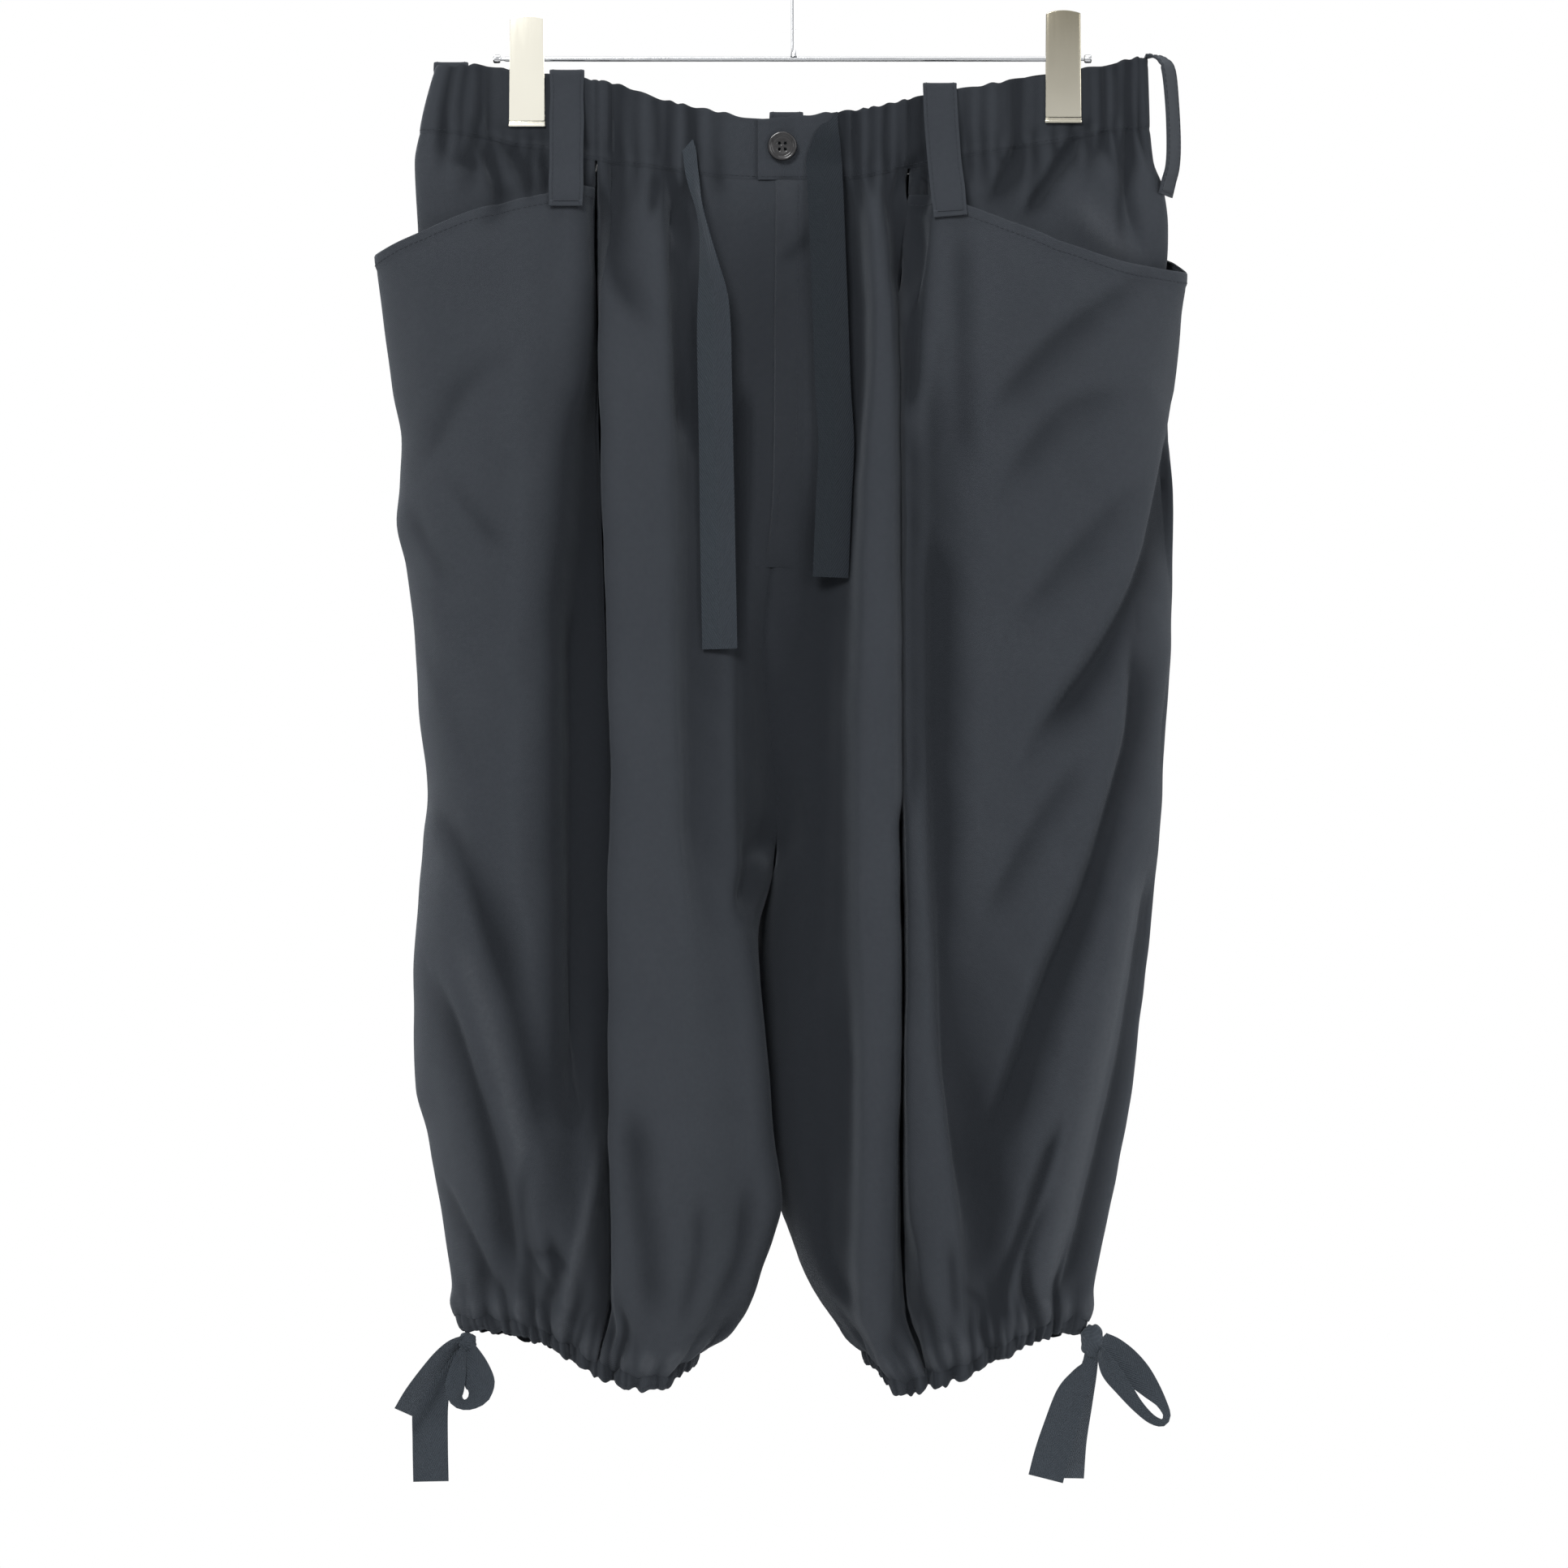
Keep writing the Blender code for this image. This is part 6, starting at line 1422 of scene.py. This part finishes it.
def woven(name, groups, weave, dark, light, rubbed, pitch, depth):
    """A matte woven finish: weave, uneven dye, ridges rubbed lighter, and painted shade in hollows and folds.
    """
    w, sockets = blank(name, 0.9, Sheen_Weight=0.12, Sheen_Roughness=0.45,
                       Sheen_Tint=(0.82, 0.9, 1.0, 1.0), Specular_IOR_Level=0.12)
    cloth = w.placed(groups[weave], Lengths=w.attribute("weave", "Vector"), Pitch=pitch)
    patches = w.placed(groups["mottle"], Coarse=11.0, Fine=420.0, Share_of_fine=0.45)["Patches"]
    wear_and_shade = w.placed(groups["wear_and_shade"], Dent=w.attribute("dent"), Hollow=w.attribute("hollow"), Patches=patches,
                    Reach=1.2)
    colour = w.blend(w.weighed(cloth["Shade"], 0.35, patches, 0.65), dark, light)
    colour = w.blend(w.math("MULTIPLY", wear_and_shade["Rubbed"], 0.8), colour, rubbed)
    # painted shade: towards about half the dark colour by the hollow and dent values, in hollows, folds and
    # seam dips
    colour = w.blend(w.math("MULTIPLY", wear_and_shade["Deep"], 0.85), colour, tuple(c * 0.52 for c in dark))
    surface(w, sockets, colour, patches, 0.8, 0.98, cloth["Height"], depth)


def metal(name, groups, low, high, tint, dull, stretch, shade_tint):
    """A plated metal finish with drawn marks and smudges, and painted shade in a darker tint where its dent
    value is 1.
    """
    w, sockets = blank(name, low, 1.0)
    marks = w.placed(groups["scratches"], Stretch=stretch, Smudge=38.0)
    colour = w.blend(marks["Smudges"], dull, tint)
    shaded = w.blend(marks["Smudges"], tuple(c * 0.8 for c in shade_tint), shade_tint)
    # painted shade: towards the shade tint by the dent value
    colour = w.blend(w.attribute("dent"), colour, shaded)
    surface(w, sockets, colour, marks["Marks"], low, high, marks["Marks"], 0.00004)


def horn(groups):
    """Polished black horn with faint streaks."""
    w, sockets = blank("button_black", 0.35, Coat_Weight=0.7, Coat_Roughness=0.04, Specular_IOR_Level=0.2)
    marks = w.placed(groups["scratches"], Stretch=(140.0, 140.0, 700.0), Smudge=90.0)
    colour = w.blend(marks["Marks"], (0.002, 0.002, 0.003), (0.014, 0.013, 0.014))
    surface(w, sockets, colour, marks["Smudges"], 0.3, 0.42, marks["Marks"], 0.00003)


def thread(groups):
    """Twisted sewing thread."""
    w, sockets = blank("thread", 0.85, Specular_IOR_Level=0.15)
    patches = w.placed(groups["mottle"], Coarse=900.0, Fine=2600.0, Share_of_fine=0.5)["Patches"]
    colour = w.blend(patches, (0.014, 0.017, 0.022), (0.04, 0.044, 0.052))
    surface(w, sockets, colour, patches, 0.55, 0.85, patches, 0.00012)


def pale_floor(groups):
    """A matte pale grey."""
    w, sockets = blank("floor", 0.9, Specular_IOR_Level=0.1)
    patches = w.placed(groups["mottle"], Coarse=3.0, Fine=40.0, Share_of_fine=0.2)["Patches"]
    w.join(w.blend(patches, (0.86, 0.86, 0.86), (0.9, 0.9, 0.9)), sockets["Base Color"])


def make_finishes():
    """Every node group and finish."""
    groups = {"twill": twill_group(), "rib": rib_group(), "mottle": mottle_group(), "wear_and_shade": wear_and_shade_group(),
              "scratches": scratch_group()}
    woven("cloth", groups, "twill", (0.024, 0.028, 0.035), (0.056, 0.062, 0.071), (0.075, 0.081, 0.091),
          0.85, 0.0002)
    woven("tape", groups, "rib", (0.030, 0.037, 0.046), (0.068, 0.080, 0.094), (0.08, 0.088, 0.098),
          1.25, 0.00026)
    # the last colour of each metal is its painted shade tint, shown by dent; only the clips carry it
    metal("hanger_chrome", groups, 0.1, 0.24, (0.56, 0.57, 0.585), (0.45, 0.46, 0.475),
          (60.0, 500.0, 500.0), (0.4, 0.4, 0.41))
    metal("clip_nickel", groups, 0.12, 0.2, (1.0, 0.975, 0.86), (0.95, 0.92, 0.8), (900.0, 90.0, 60.0),
          (0.3, 0.275, 0.21))
    horn(groups)
    thread(groups)
    pale_floor(groups)


# ---------------------------------------------------------------- cords

def dress(piece, slot, *nodes):
    """Hangs a piece on the one body, in place of the nodes it stands for; slot is not used."""
    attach(piece, ROOT)
    if nodes:
        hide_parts(*nodes)
    return piece


# Each drawstring's start inside the waistband, how many of the tape's own rows it replaces, and how much
# painted shade of the pleats its colour takes.
STRING_STARTS = {
    "drawstring_left": ([(164, -58, 11.5, 7, 10), (168.5, -57.2, 14.6, 7.5, 10)], 0, 0.1),
    "drawstring_right": (
        [(150, 20.5, 11.8, 7, 24), (156, 19.6, 15.4, 9, 18), (163, 18, 17.4, 14, 10)], 1, 0.38,
    ),
}


def drawstring(name):
    """One end of the drawstring, as a tape."""
    start, replaced, shade = STRING_STARTS[name]
    path = start + TAPES[name][replaced:]
    made = dress(ribbons(name + "_tape", [path], "tape", shade), "tape", name)
    line = centreline(path)


def knot(name, centre, radii, lean):
    """A tight rounded knot of tape with its wraps showing as slanted folds."""
    high, wide = 40, 64
    rise, turn = np.meshgrid(np.linspace(-math.pi / 2, math.pi / 2, high), ring_turns(wide), indexing="ij")
    ball = np.stack([np.sin(rise), np.cos(rise) * np.cos(turn), np.cos(rise) * np.sin(turn)], axis=-1)
    slant = ball[..., 0] * math.cos(lean) + ball[..., 1] * math.sin(lean)
    folds = 0.06 * np.cos(slant * 6.5 + 0.6) + 0.02 * np.cos(slant * 17.0 + 1.0)
    waist = 0.10 * bell((ball[..., 0] * math.sin(lean) - ball[..., 1] * math.cos(lean) - 0.35) / 0.16)
    size = 1.0 + folds * np.cos(rise) ** 0.5 - waist
    square = np.sign(ball) * np.abs(ball) ** 0.94
    points = (square * size[..., None] * np.array(radii) + np.array(centre)).reshape(-1, 3)
    weave = np.column_stack([slant.ravel() * 5, turn.ravel() * 5])
    return closed_mesh(name, points, tube_faces(high, wide), "tape", weave=weave)


# Each hem tie's loop and its short tail, which grow out of the knot, in rows like those of the tapes.
BOWS = {
    "left": (
        [(814, -178, 6, 6, 40), (821, -174.5, 8, 10, 25), (829, -171.5, 9.5, 14, 14),
         (837, -170, 10.5, 17, 10), (843.5, -170.5, 11, 13, 14), (847.6, -174, 11.5, 8, 20),
         (848.8, -178.5, 12, 6, 24), (846, -182.4, 12.5, 8, 24), (839, -183.2, 13, 11, 20),
         (829, -181.5, 12, 10, 30), (818.5, -178.5, 8, 6.5, 55)],
        [(814.5, -179, 6.5, 7, -40), (817, -184.5, 10, 9, -42), (823, -190.5, 12, 12, -44),
         (832, -197.5, 13.5, 14, -46), (843, -205.5, 14, 15, -48), (852.7, -211, 14, 15, -46)],
    ),
    "right": (
        [(813, 167, 4, 8, -30), (818, 173, 5.5, 12, -16), (825, 179.5, 7, 15, -8), (833, 186.5, 8, 15, -8),
         (841, 193.5, 9, 11, -14), (848, 199, 10, 6.5, -24), (854.5, 201.8, 11, 4.8, -28),
         (858.5, 199.6, 12, 4.6, -24), (856.5, 193.5, 12.5, 5.5, -18), (849.5, 186, 13, 7, -14),
         (840, 178.5, 12.5, 9.5, -14), (830, 171, 11, 11, -20), (819.5, 165.5, 6, 7, -50)],
        [(815, 162.5, 0, 6, -60), (822, 163, -2, 8, -58), (834, 161, -4.5, 12, -56),
         (850, 157.5, -6, 15, -52), (870, 154, -7, 16, -50), (890, 152, -7, 17, -48)],
    ),
}


def hem_tie(half_name):
    """One hem's tie: a loop and a long tail in one object, with its knot and its short tail on it."""
    bow, tail = "hem_bow_" + half_name, "hem_tail_long_" + half_name
    centre, radii, lean = KNOTS[half_name]
    loop, short = BOWS[half_name]
    lump = dress(knot(f"hem_knot_{half_name}", centre, radii, lean), "tape")
    stub = dress(ribbons(f"hem_short_tail_{half_name}", [short], "tape"), "tape")
    hanging = [(*centre, 6, TAPES[tail][0][4])] + TAPES[tail]
    made = dress(ribbons(f"hem_tie_{half_name}", [loop, hanging], "tape"), "tape", bow, tail)
    line = np.concatenate([centreline(loop), centreline(hanging)])


# ---------------------------------------------------------------- hanger, clips and button

def turned(name, profile, finish, place, sides=64):
    """A round closed piece from (radius, along its axis); place(radius, angles, along) gives points."""
    points = np.concatenate([place(radius, ring_turns(sides), along) for radius, along in profile])
    return closed_mesh(name, points, tube_faces(len(profile), sides), finish, sharp=35)


# The bar from its left end to its middle: (radius, millimetres from the end). Barrel, neck, bar.
BAR_END = [
    (0.7, 0), (1.9, 0.15), (2.35, 0.7), (2.4, 3.2), (2.1, 3.9), (1.1, 4.2), (1.0, 5.4), (1.45, 7.0),
    (1.5, 7.4),
]


def hanger_bar():
    """The bar from end to end."""
    left = [(radius, BAR_LEFT + along) for radius, along in BAR_END]
    right = [(radius, BAR_RIGHT - along) for radius, along in BAR_END[::-1]]
    even = [(BAR_RADIUS, x) for x in np.linspace(BAR_LEFT + 12, BAR_RIGHT - 12, 25)]

    def place(radius, turns, along):
        return np.column_stack([
            BAR_DOWN + radius * np.cos(turns), np.full(len(turns), along), radius * np.sin(turns)
        ])
    return turned("hanger_bar_drawn", left + even + right, "hanger_chrome", place, 32)


HOOK_SIDES = 24


def hanger_hook():
    """The hook: a wire from the bar up its stem and round its arc, ending in a rounded tip."""
    radius = HOOK_RADIUS + HOOK_WIRE
    arc = [(HOOK_RADIUS - radius * math.sin(t), radius * math.cos(t), 0)
           for t in np.radians(np.linspace(-35, 205, 33))]
    stem = [(BAR_DOWN - BAR_RADIUS + 0.2, 0, 0), (BAR_DOWN - 14, 0, 0)]
    stem += [(down, across, 0) for down, across in HOOK_BEND]
    route = smooth_path(stem + arc, 2.0)
    forward = np.array([0.0, 0.0, 1.0])
    side = unit(np.cross(unit(np.gradient(route, axis=0)), forward))
    last = np.arange(len(route))[::-1]
    size = HOOK_WIRE * np.where(last < 3, np.sqrt(1 - ((3 - last) / 3.2) ** 2), 1.0)
    size[:2] = HOOK_WIRE * np.array([1.5, 1.15])
    turns = ring_turns(HOOK_SIDES)[:, None]
    points = np.concatenate([
        p + r * (np.cos(turns) * s + np.sin(turns) * forward) for p, s, r in zip(route, side, size)
    ])
    return closed_mesh("hanger_hook_bent", points, tube_faces(len(route), HOOK_SIDES), "hanger_chrome")


def slab(mesh, low, high, bevel, shape=None):
    """Adds to a bmesh a block between two corners (down, across, forward), rounded, then shaped."""
    low, high = np.array(low, float), np.array(high, float)
    block = bmesh.new()
    bmesh.ops.create_cube(block, size=1.0)
    for vertex in block.verts:
        vertex.co = Vector(((low + high) / 2 + (high - low) * np.array(vertex.co)).tolist())
    bmesh.ops.bevel(block, geom=block.edges[:], offset=bevel, segments=3, affect="EDGES", profile=0.6)
    across = [e for e in block.edges if abs((e.verts[0].co - e.verts[1].co)[1]) > 0.6 * (high - low)[1]]
    bmesh.ops.subdivide_edges(block, edges=across, cuts=11, use_grid_fill=True)
    if shape is not None:
        for vertex in block.verts:
            vertex.co = Vector(shape(*vertex.co))
    made = bpy.data.meshes.new("slab")
    block.to_mesh(made)
    block.free()
    mesh.from_mesh(made)
    bpy.data.meshes.remove(made)


CLIP_WIDTH, CLIP_INNER, CLIP_PLATE = 20.0, 2.9, 1.2  # a plate's width, its inner face and its thickness
# Each clip's lean: how far its front plate's foot stands forward of its head, and its side that shows.
CLIP_LEAN = {"clip_left": (-0.35, 1), "clip_right": (0.75, -1)}


def clip(name):
    """A flat spring clip: two crowned plates with flanges and a rolled lip, on a block round the bar."""
    across, top, bottom = CLIPS[name]
    lean, shown = CLIP_LEAN[name]
    half, inner, outer = CLIP_WIDTH / 2, CLIP_INNER, CLIP_INNER + CLIP_PLATE

    def crowned(down, x, forward):
        """Arches the head, narrows it a little and leans the plate."""
        share = (down - top) / (bottom - top)
        side = (x - across) / half
        down = down - 1.7 * (1 - side ** 2) * soft_step(1 - share * 4)
        x = across + (x - across) * (0.93 + 0.05 * share)
        bow = 0.25 * (1 - side ** 2)
        out = 1 if forward > 0 else -1
        return float(down), float(x), float(forward + (lean * (share - 0.5) + bow) * out)

    mesh = bmesh.new()
    for way in (1, -1):
        def plate(top_at, bottom_at, left_at, right_at, near, far, bevel):
            """One slab on this side of the cloth, between two distances from its middle."""
            back, front = (near, far) if way > 0 else (-far, -near)
            slab(mesh, (top_at, left_at, back), (bottom_at, right_at, front), bevel, crowned)
        left, right = across - half, across + half
        groove_far = outer + 0.3 - (0.5 if way > 0 else 0)
        plate(top + 1.7, bottom - 3.2, left, right, inner + 0.1, outer - 0.1, 0.45)
        plate(bottom - 2.9, bottom - 2.0, left, right, inner, groove_far, 0.2)
        plate(bottom - 1.9, bottom, left - 0.3, right + 0.3, inner, outer + 0.3, 0.6)
        for edge in (-1, 1):
            reach = bottom - 6 if edge == shown else top + 33
            x0 = across + edge * (half - 0.9)
            x1 = x0 + edge * 0.8
            plate(top + 4, reach, min(x0, x1), max(x0, x1), inner - 1.5, outer - 0.5, 0.25)
    slab(mesh, (BAR_DOWN - 10, across - 7, -inner - 0.4), (BAR_DOWN + 3.2, across + 7, inner + 0.4), 1.2)
    made = bpy.data.meshes.new(name)
    mesh.to_mesh(made)
    mesh.free()
    points = np.array([v.co[:] for v in made.vertices])
    faces = [list(p.vertices) for p in made.polygons]
    bpy.data.meshes.remove(made)
    # painted shade: the right clip in its shade tint, less so over its lowest 24 mm; the left one faintly
    # darker at its head
    if name == "clip_right":
        clip_shade = 1.0 - 0.35 * soft_step((points[:, 0] - bottom + 24) / 20)
    else:
        clip_shade = 0.1 * soft_step(1 - (points[:, 0] - top) / 30)
    return finish_mesh(name + "_plates", points, faces, "clip_nickel", fold=clip_shade, sharp=40)


# The button from the middle of its back over its rim into its dish: (radius, forward).
BUTTON_PROFILE = [
    (0.4, 0.0), (6.2, 0.0), (7.3, 0.25), (7.85, 0.8), (8.0, 1.4), (7.9, 1.95), (7.55, 2.4), (7.05, 2.55),
    (6.5, 2.45), (6.0, 2.1), (5.6, 1.75), (5.2, 1.62), (4.9, 1.66), (4.5, 1.7), (3.6, 1.55), (2.0, 1.4),
    (0.4, 1.38),
]
HOLE_RADIUS, HOLE_FROM_MIDDLE = 0.85, 1.6


def button():
    """The dished four-hole button with a raised rim."""
    def round_at(down, across):
        return lambda radius, turns, along: np.column_stack([
            down + radius * np.cos(turns), across + radius * np.sin(turns),
            np.full(len(turns), BUTTON_CENTRE[2] + along),
        ])
    down, across = BUTTON_CENTRE[:2]
    made = turned("button_turned", BUTTON_PROFILE, "button_black", round_at(down, across), 96)
    for down_by, across_by in ((-1, -1), (-1, 1), (1, 1), (1, -1)):
        place = round_at(down + down_by * HOLE_FROM_MIDDLE, across + across_by * HOLE_FROM_MIDDLE)
        drill = turned("drill", [(HOLE_RADIUS, -1.0), (HOLE_RADIUS, 4.0)], "button_black", place, 20)
        cut = made.modifiers.new("hole", "BOOLEAN")
        cut.object, cut.operation = drill, "DIFFERENCE"
        evaluated = made.evaluated_get(bpy.context.evaluated_depsgraph_get())
        drilled = bpy.data.meshes.new_from_object(evaluated)
        made.modifiers.clear()
        made.data = drilled
        bpy.data.objects.remove(drill)
    return made


# ---------------------------------------------------------------- the whole


def metal_pieces():
    """The hanger, its clips and the button."""
    dress(hanger_bar(), "hanger_chrome", "hanger_bar")
    dress(hanger_hook(), "hanger_chrome", "hanger_hook")
    for name in CLIPS:
        dress(clip(name), "clip_nickel", name)
    dress(button(), "button_black", "button")


BINDING_INSIDE = 4.5  # how far the binding lies inside the rise's lines
BINDING_LOWEST = (569.0, -13.5, 0)


def crotch_binding():
    """A strip of cloth inside the lowest part of the centre seam."""
    rows = [(*row[:2], row[2] - BINDING_INSIDE) for row in RISE_FRONT[5:7]] + [BINDING_LOWEST]
    rows += [(*row[:2], row[2] + BINDING_INSIDE) for row in RISE_BACK[6:4:-1]]
    path = [(*row, 10.0, 0) for row in rows]
    # painted shade: the binding's colour takes 0.9 as its hollow value
    dress(ribbons("crotch_binding", [path], "cloth", 0.9, thickness=0.6, fixed=(0, 1, 0)), "cloth")


def cloth_pieces():
    """The shells of both halves, the binding, the belt loops and the stitches."""
    left = Half("left", FRONT_LEFT, SIDE_LEFT, HIP_LEFT, BACK_LEFT)
    right = Half("right", FRONT_RIGHT, SIDE_RIGHT, HIP_RIGHT, BACK_RIGHT)
    find_hollows(left, right)
    made = {}
    for half in (left, right):
        for kind, build in (
            ("front", lambda n: leg_panel(n, half, 0, half.side_from)),
            ("side_panel", lambda n: side_panel(n, half)),
            ("hip", lambda n: hip_piece(n, half)),
            ("back", lambda n: leg_panel(n, half, half.side_to, half.last)),
            ("hem_casing", lambda n: casing(n, half)),
        ):
            node = f"{kind}_{half.name}"
            made[node] = build(node + "_cloth")
    made["waistband_left"] = waistband("waistband_left_cloth", left, LAP_UNDER, LAP_UNDER_FROM)
    made["waistband_right"] = waistband("waistband_right_cloth", right, LAP_OVER, 0)
    made["fly_front"] = fly_front(left, right)
    for node, piece in made.items():
        dress(piece, "cloth", node)
    crotch_binding()
    for name in BELT_LOOPS:
        belt_loop(name)
    for half in (left, right):
        a = np.linspace(half.side_from + 0.08, half.side_to - 0.08, 240)
        SEWN.append(on_cloth(half, a, half.mouth(a) + (MOUTH_HEM - 1.2) / LEG_HEIGHT, 0.66))
    dress(stitches("seam_stitches", SEWN), "cloth")
    dress(stitches("bar_tacks", TACKS, pitch=1.35, length=1.9, radius=0.3), "cloth")


LOOP_FOLD = 3.2  # from a belt loop's end up to its turned-in edge
LOOP_PITCH = 1.1
TACKS = []  # dense bars of stitches across the belt loops' ends
TACK_POINTS = 12


def belt_loop(name):
    """A belt loop: a folded strip over the band's edge, with stitched edges and a turned-in end."""
    fixed, rows = BELT_LOOPS[name]
    rows = [np.array(row, float) for row in rows]
    out = math.copysign(1.0, rows[0][2] + 0.01)
    if name != "belt_loop_side_right":
        top = rows[0] + (1.0, 0, 0)
        rows[:1] = [top + (3.2, 0, -4.6 * out), top + (0.4, 0, -4.0 * out), top + (-1.1, 0, -2.6 * out),
                    top + (-0.9, 0, -0.9 * out), top + (0.8, 0, 0.1 * out)]
        step = unit(rows[-1] - rows[-2])
        rows[-1:] = [rows[-1] - step * LOOP_FOLD, rows[-1] - step * (LOOP_FOLD - 0.7) + (0, 0, 0.65 * out),
                     rows[-1] + (0, 0, 0.5 * out)]
    path = [(*row, LOOP_WIDTH + 0.5 * math.sin(row[0] * 0.21), 0) for row in rows]
    loop = ribbons(name + "_cloth", [path], "cloth", thickness=LOOP_THICKNESS, camber=0.15, edge=0.35,
                   spacing=LOOP_PITCH, fixed=fixed)
    dress(loop, "cloth", name)
    centre, side, face, width = ribbon_rows(path, LOOP_PITCH, fixed)
    inset = (width / 2 - 1.9)[:, None]
    for way in (-1, 1):
        SEWN.append((centre + way * side * inset - face * (LOOP_THICKNESS / 2 + 0.12), -face))
    row = side[-3] * np.linspace(-1, 1, TACK_POINTS)[:, None] * inset[-3]
    row = centre[-3] + row - face[-3] * (LOOP_THICKNESS / 2 + 0.15)
    TACKS.append((row, np.repeat(-face[-3][None], TACK_POINTS, axis=0)))


camera()
make_finishes()
lights()
floor()
for string_name in STRING_STARTS:
    drawstring(string_name)
for half_name in KNOTS:
    hem_tie(half_name)
metal_pieces()
cloth_pieces()
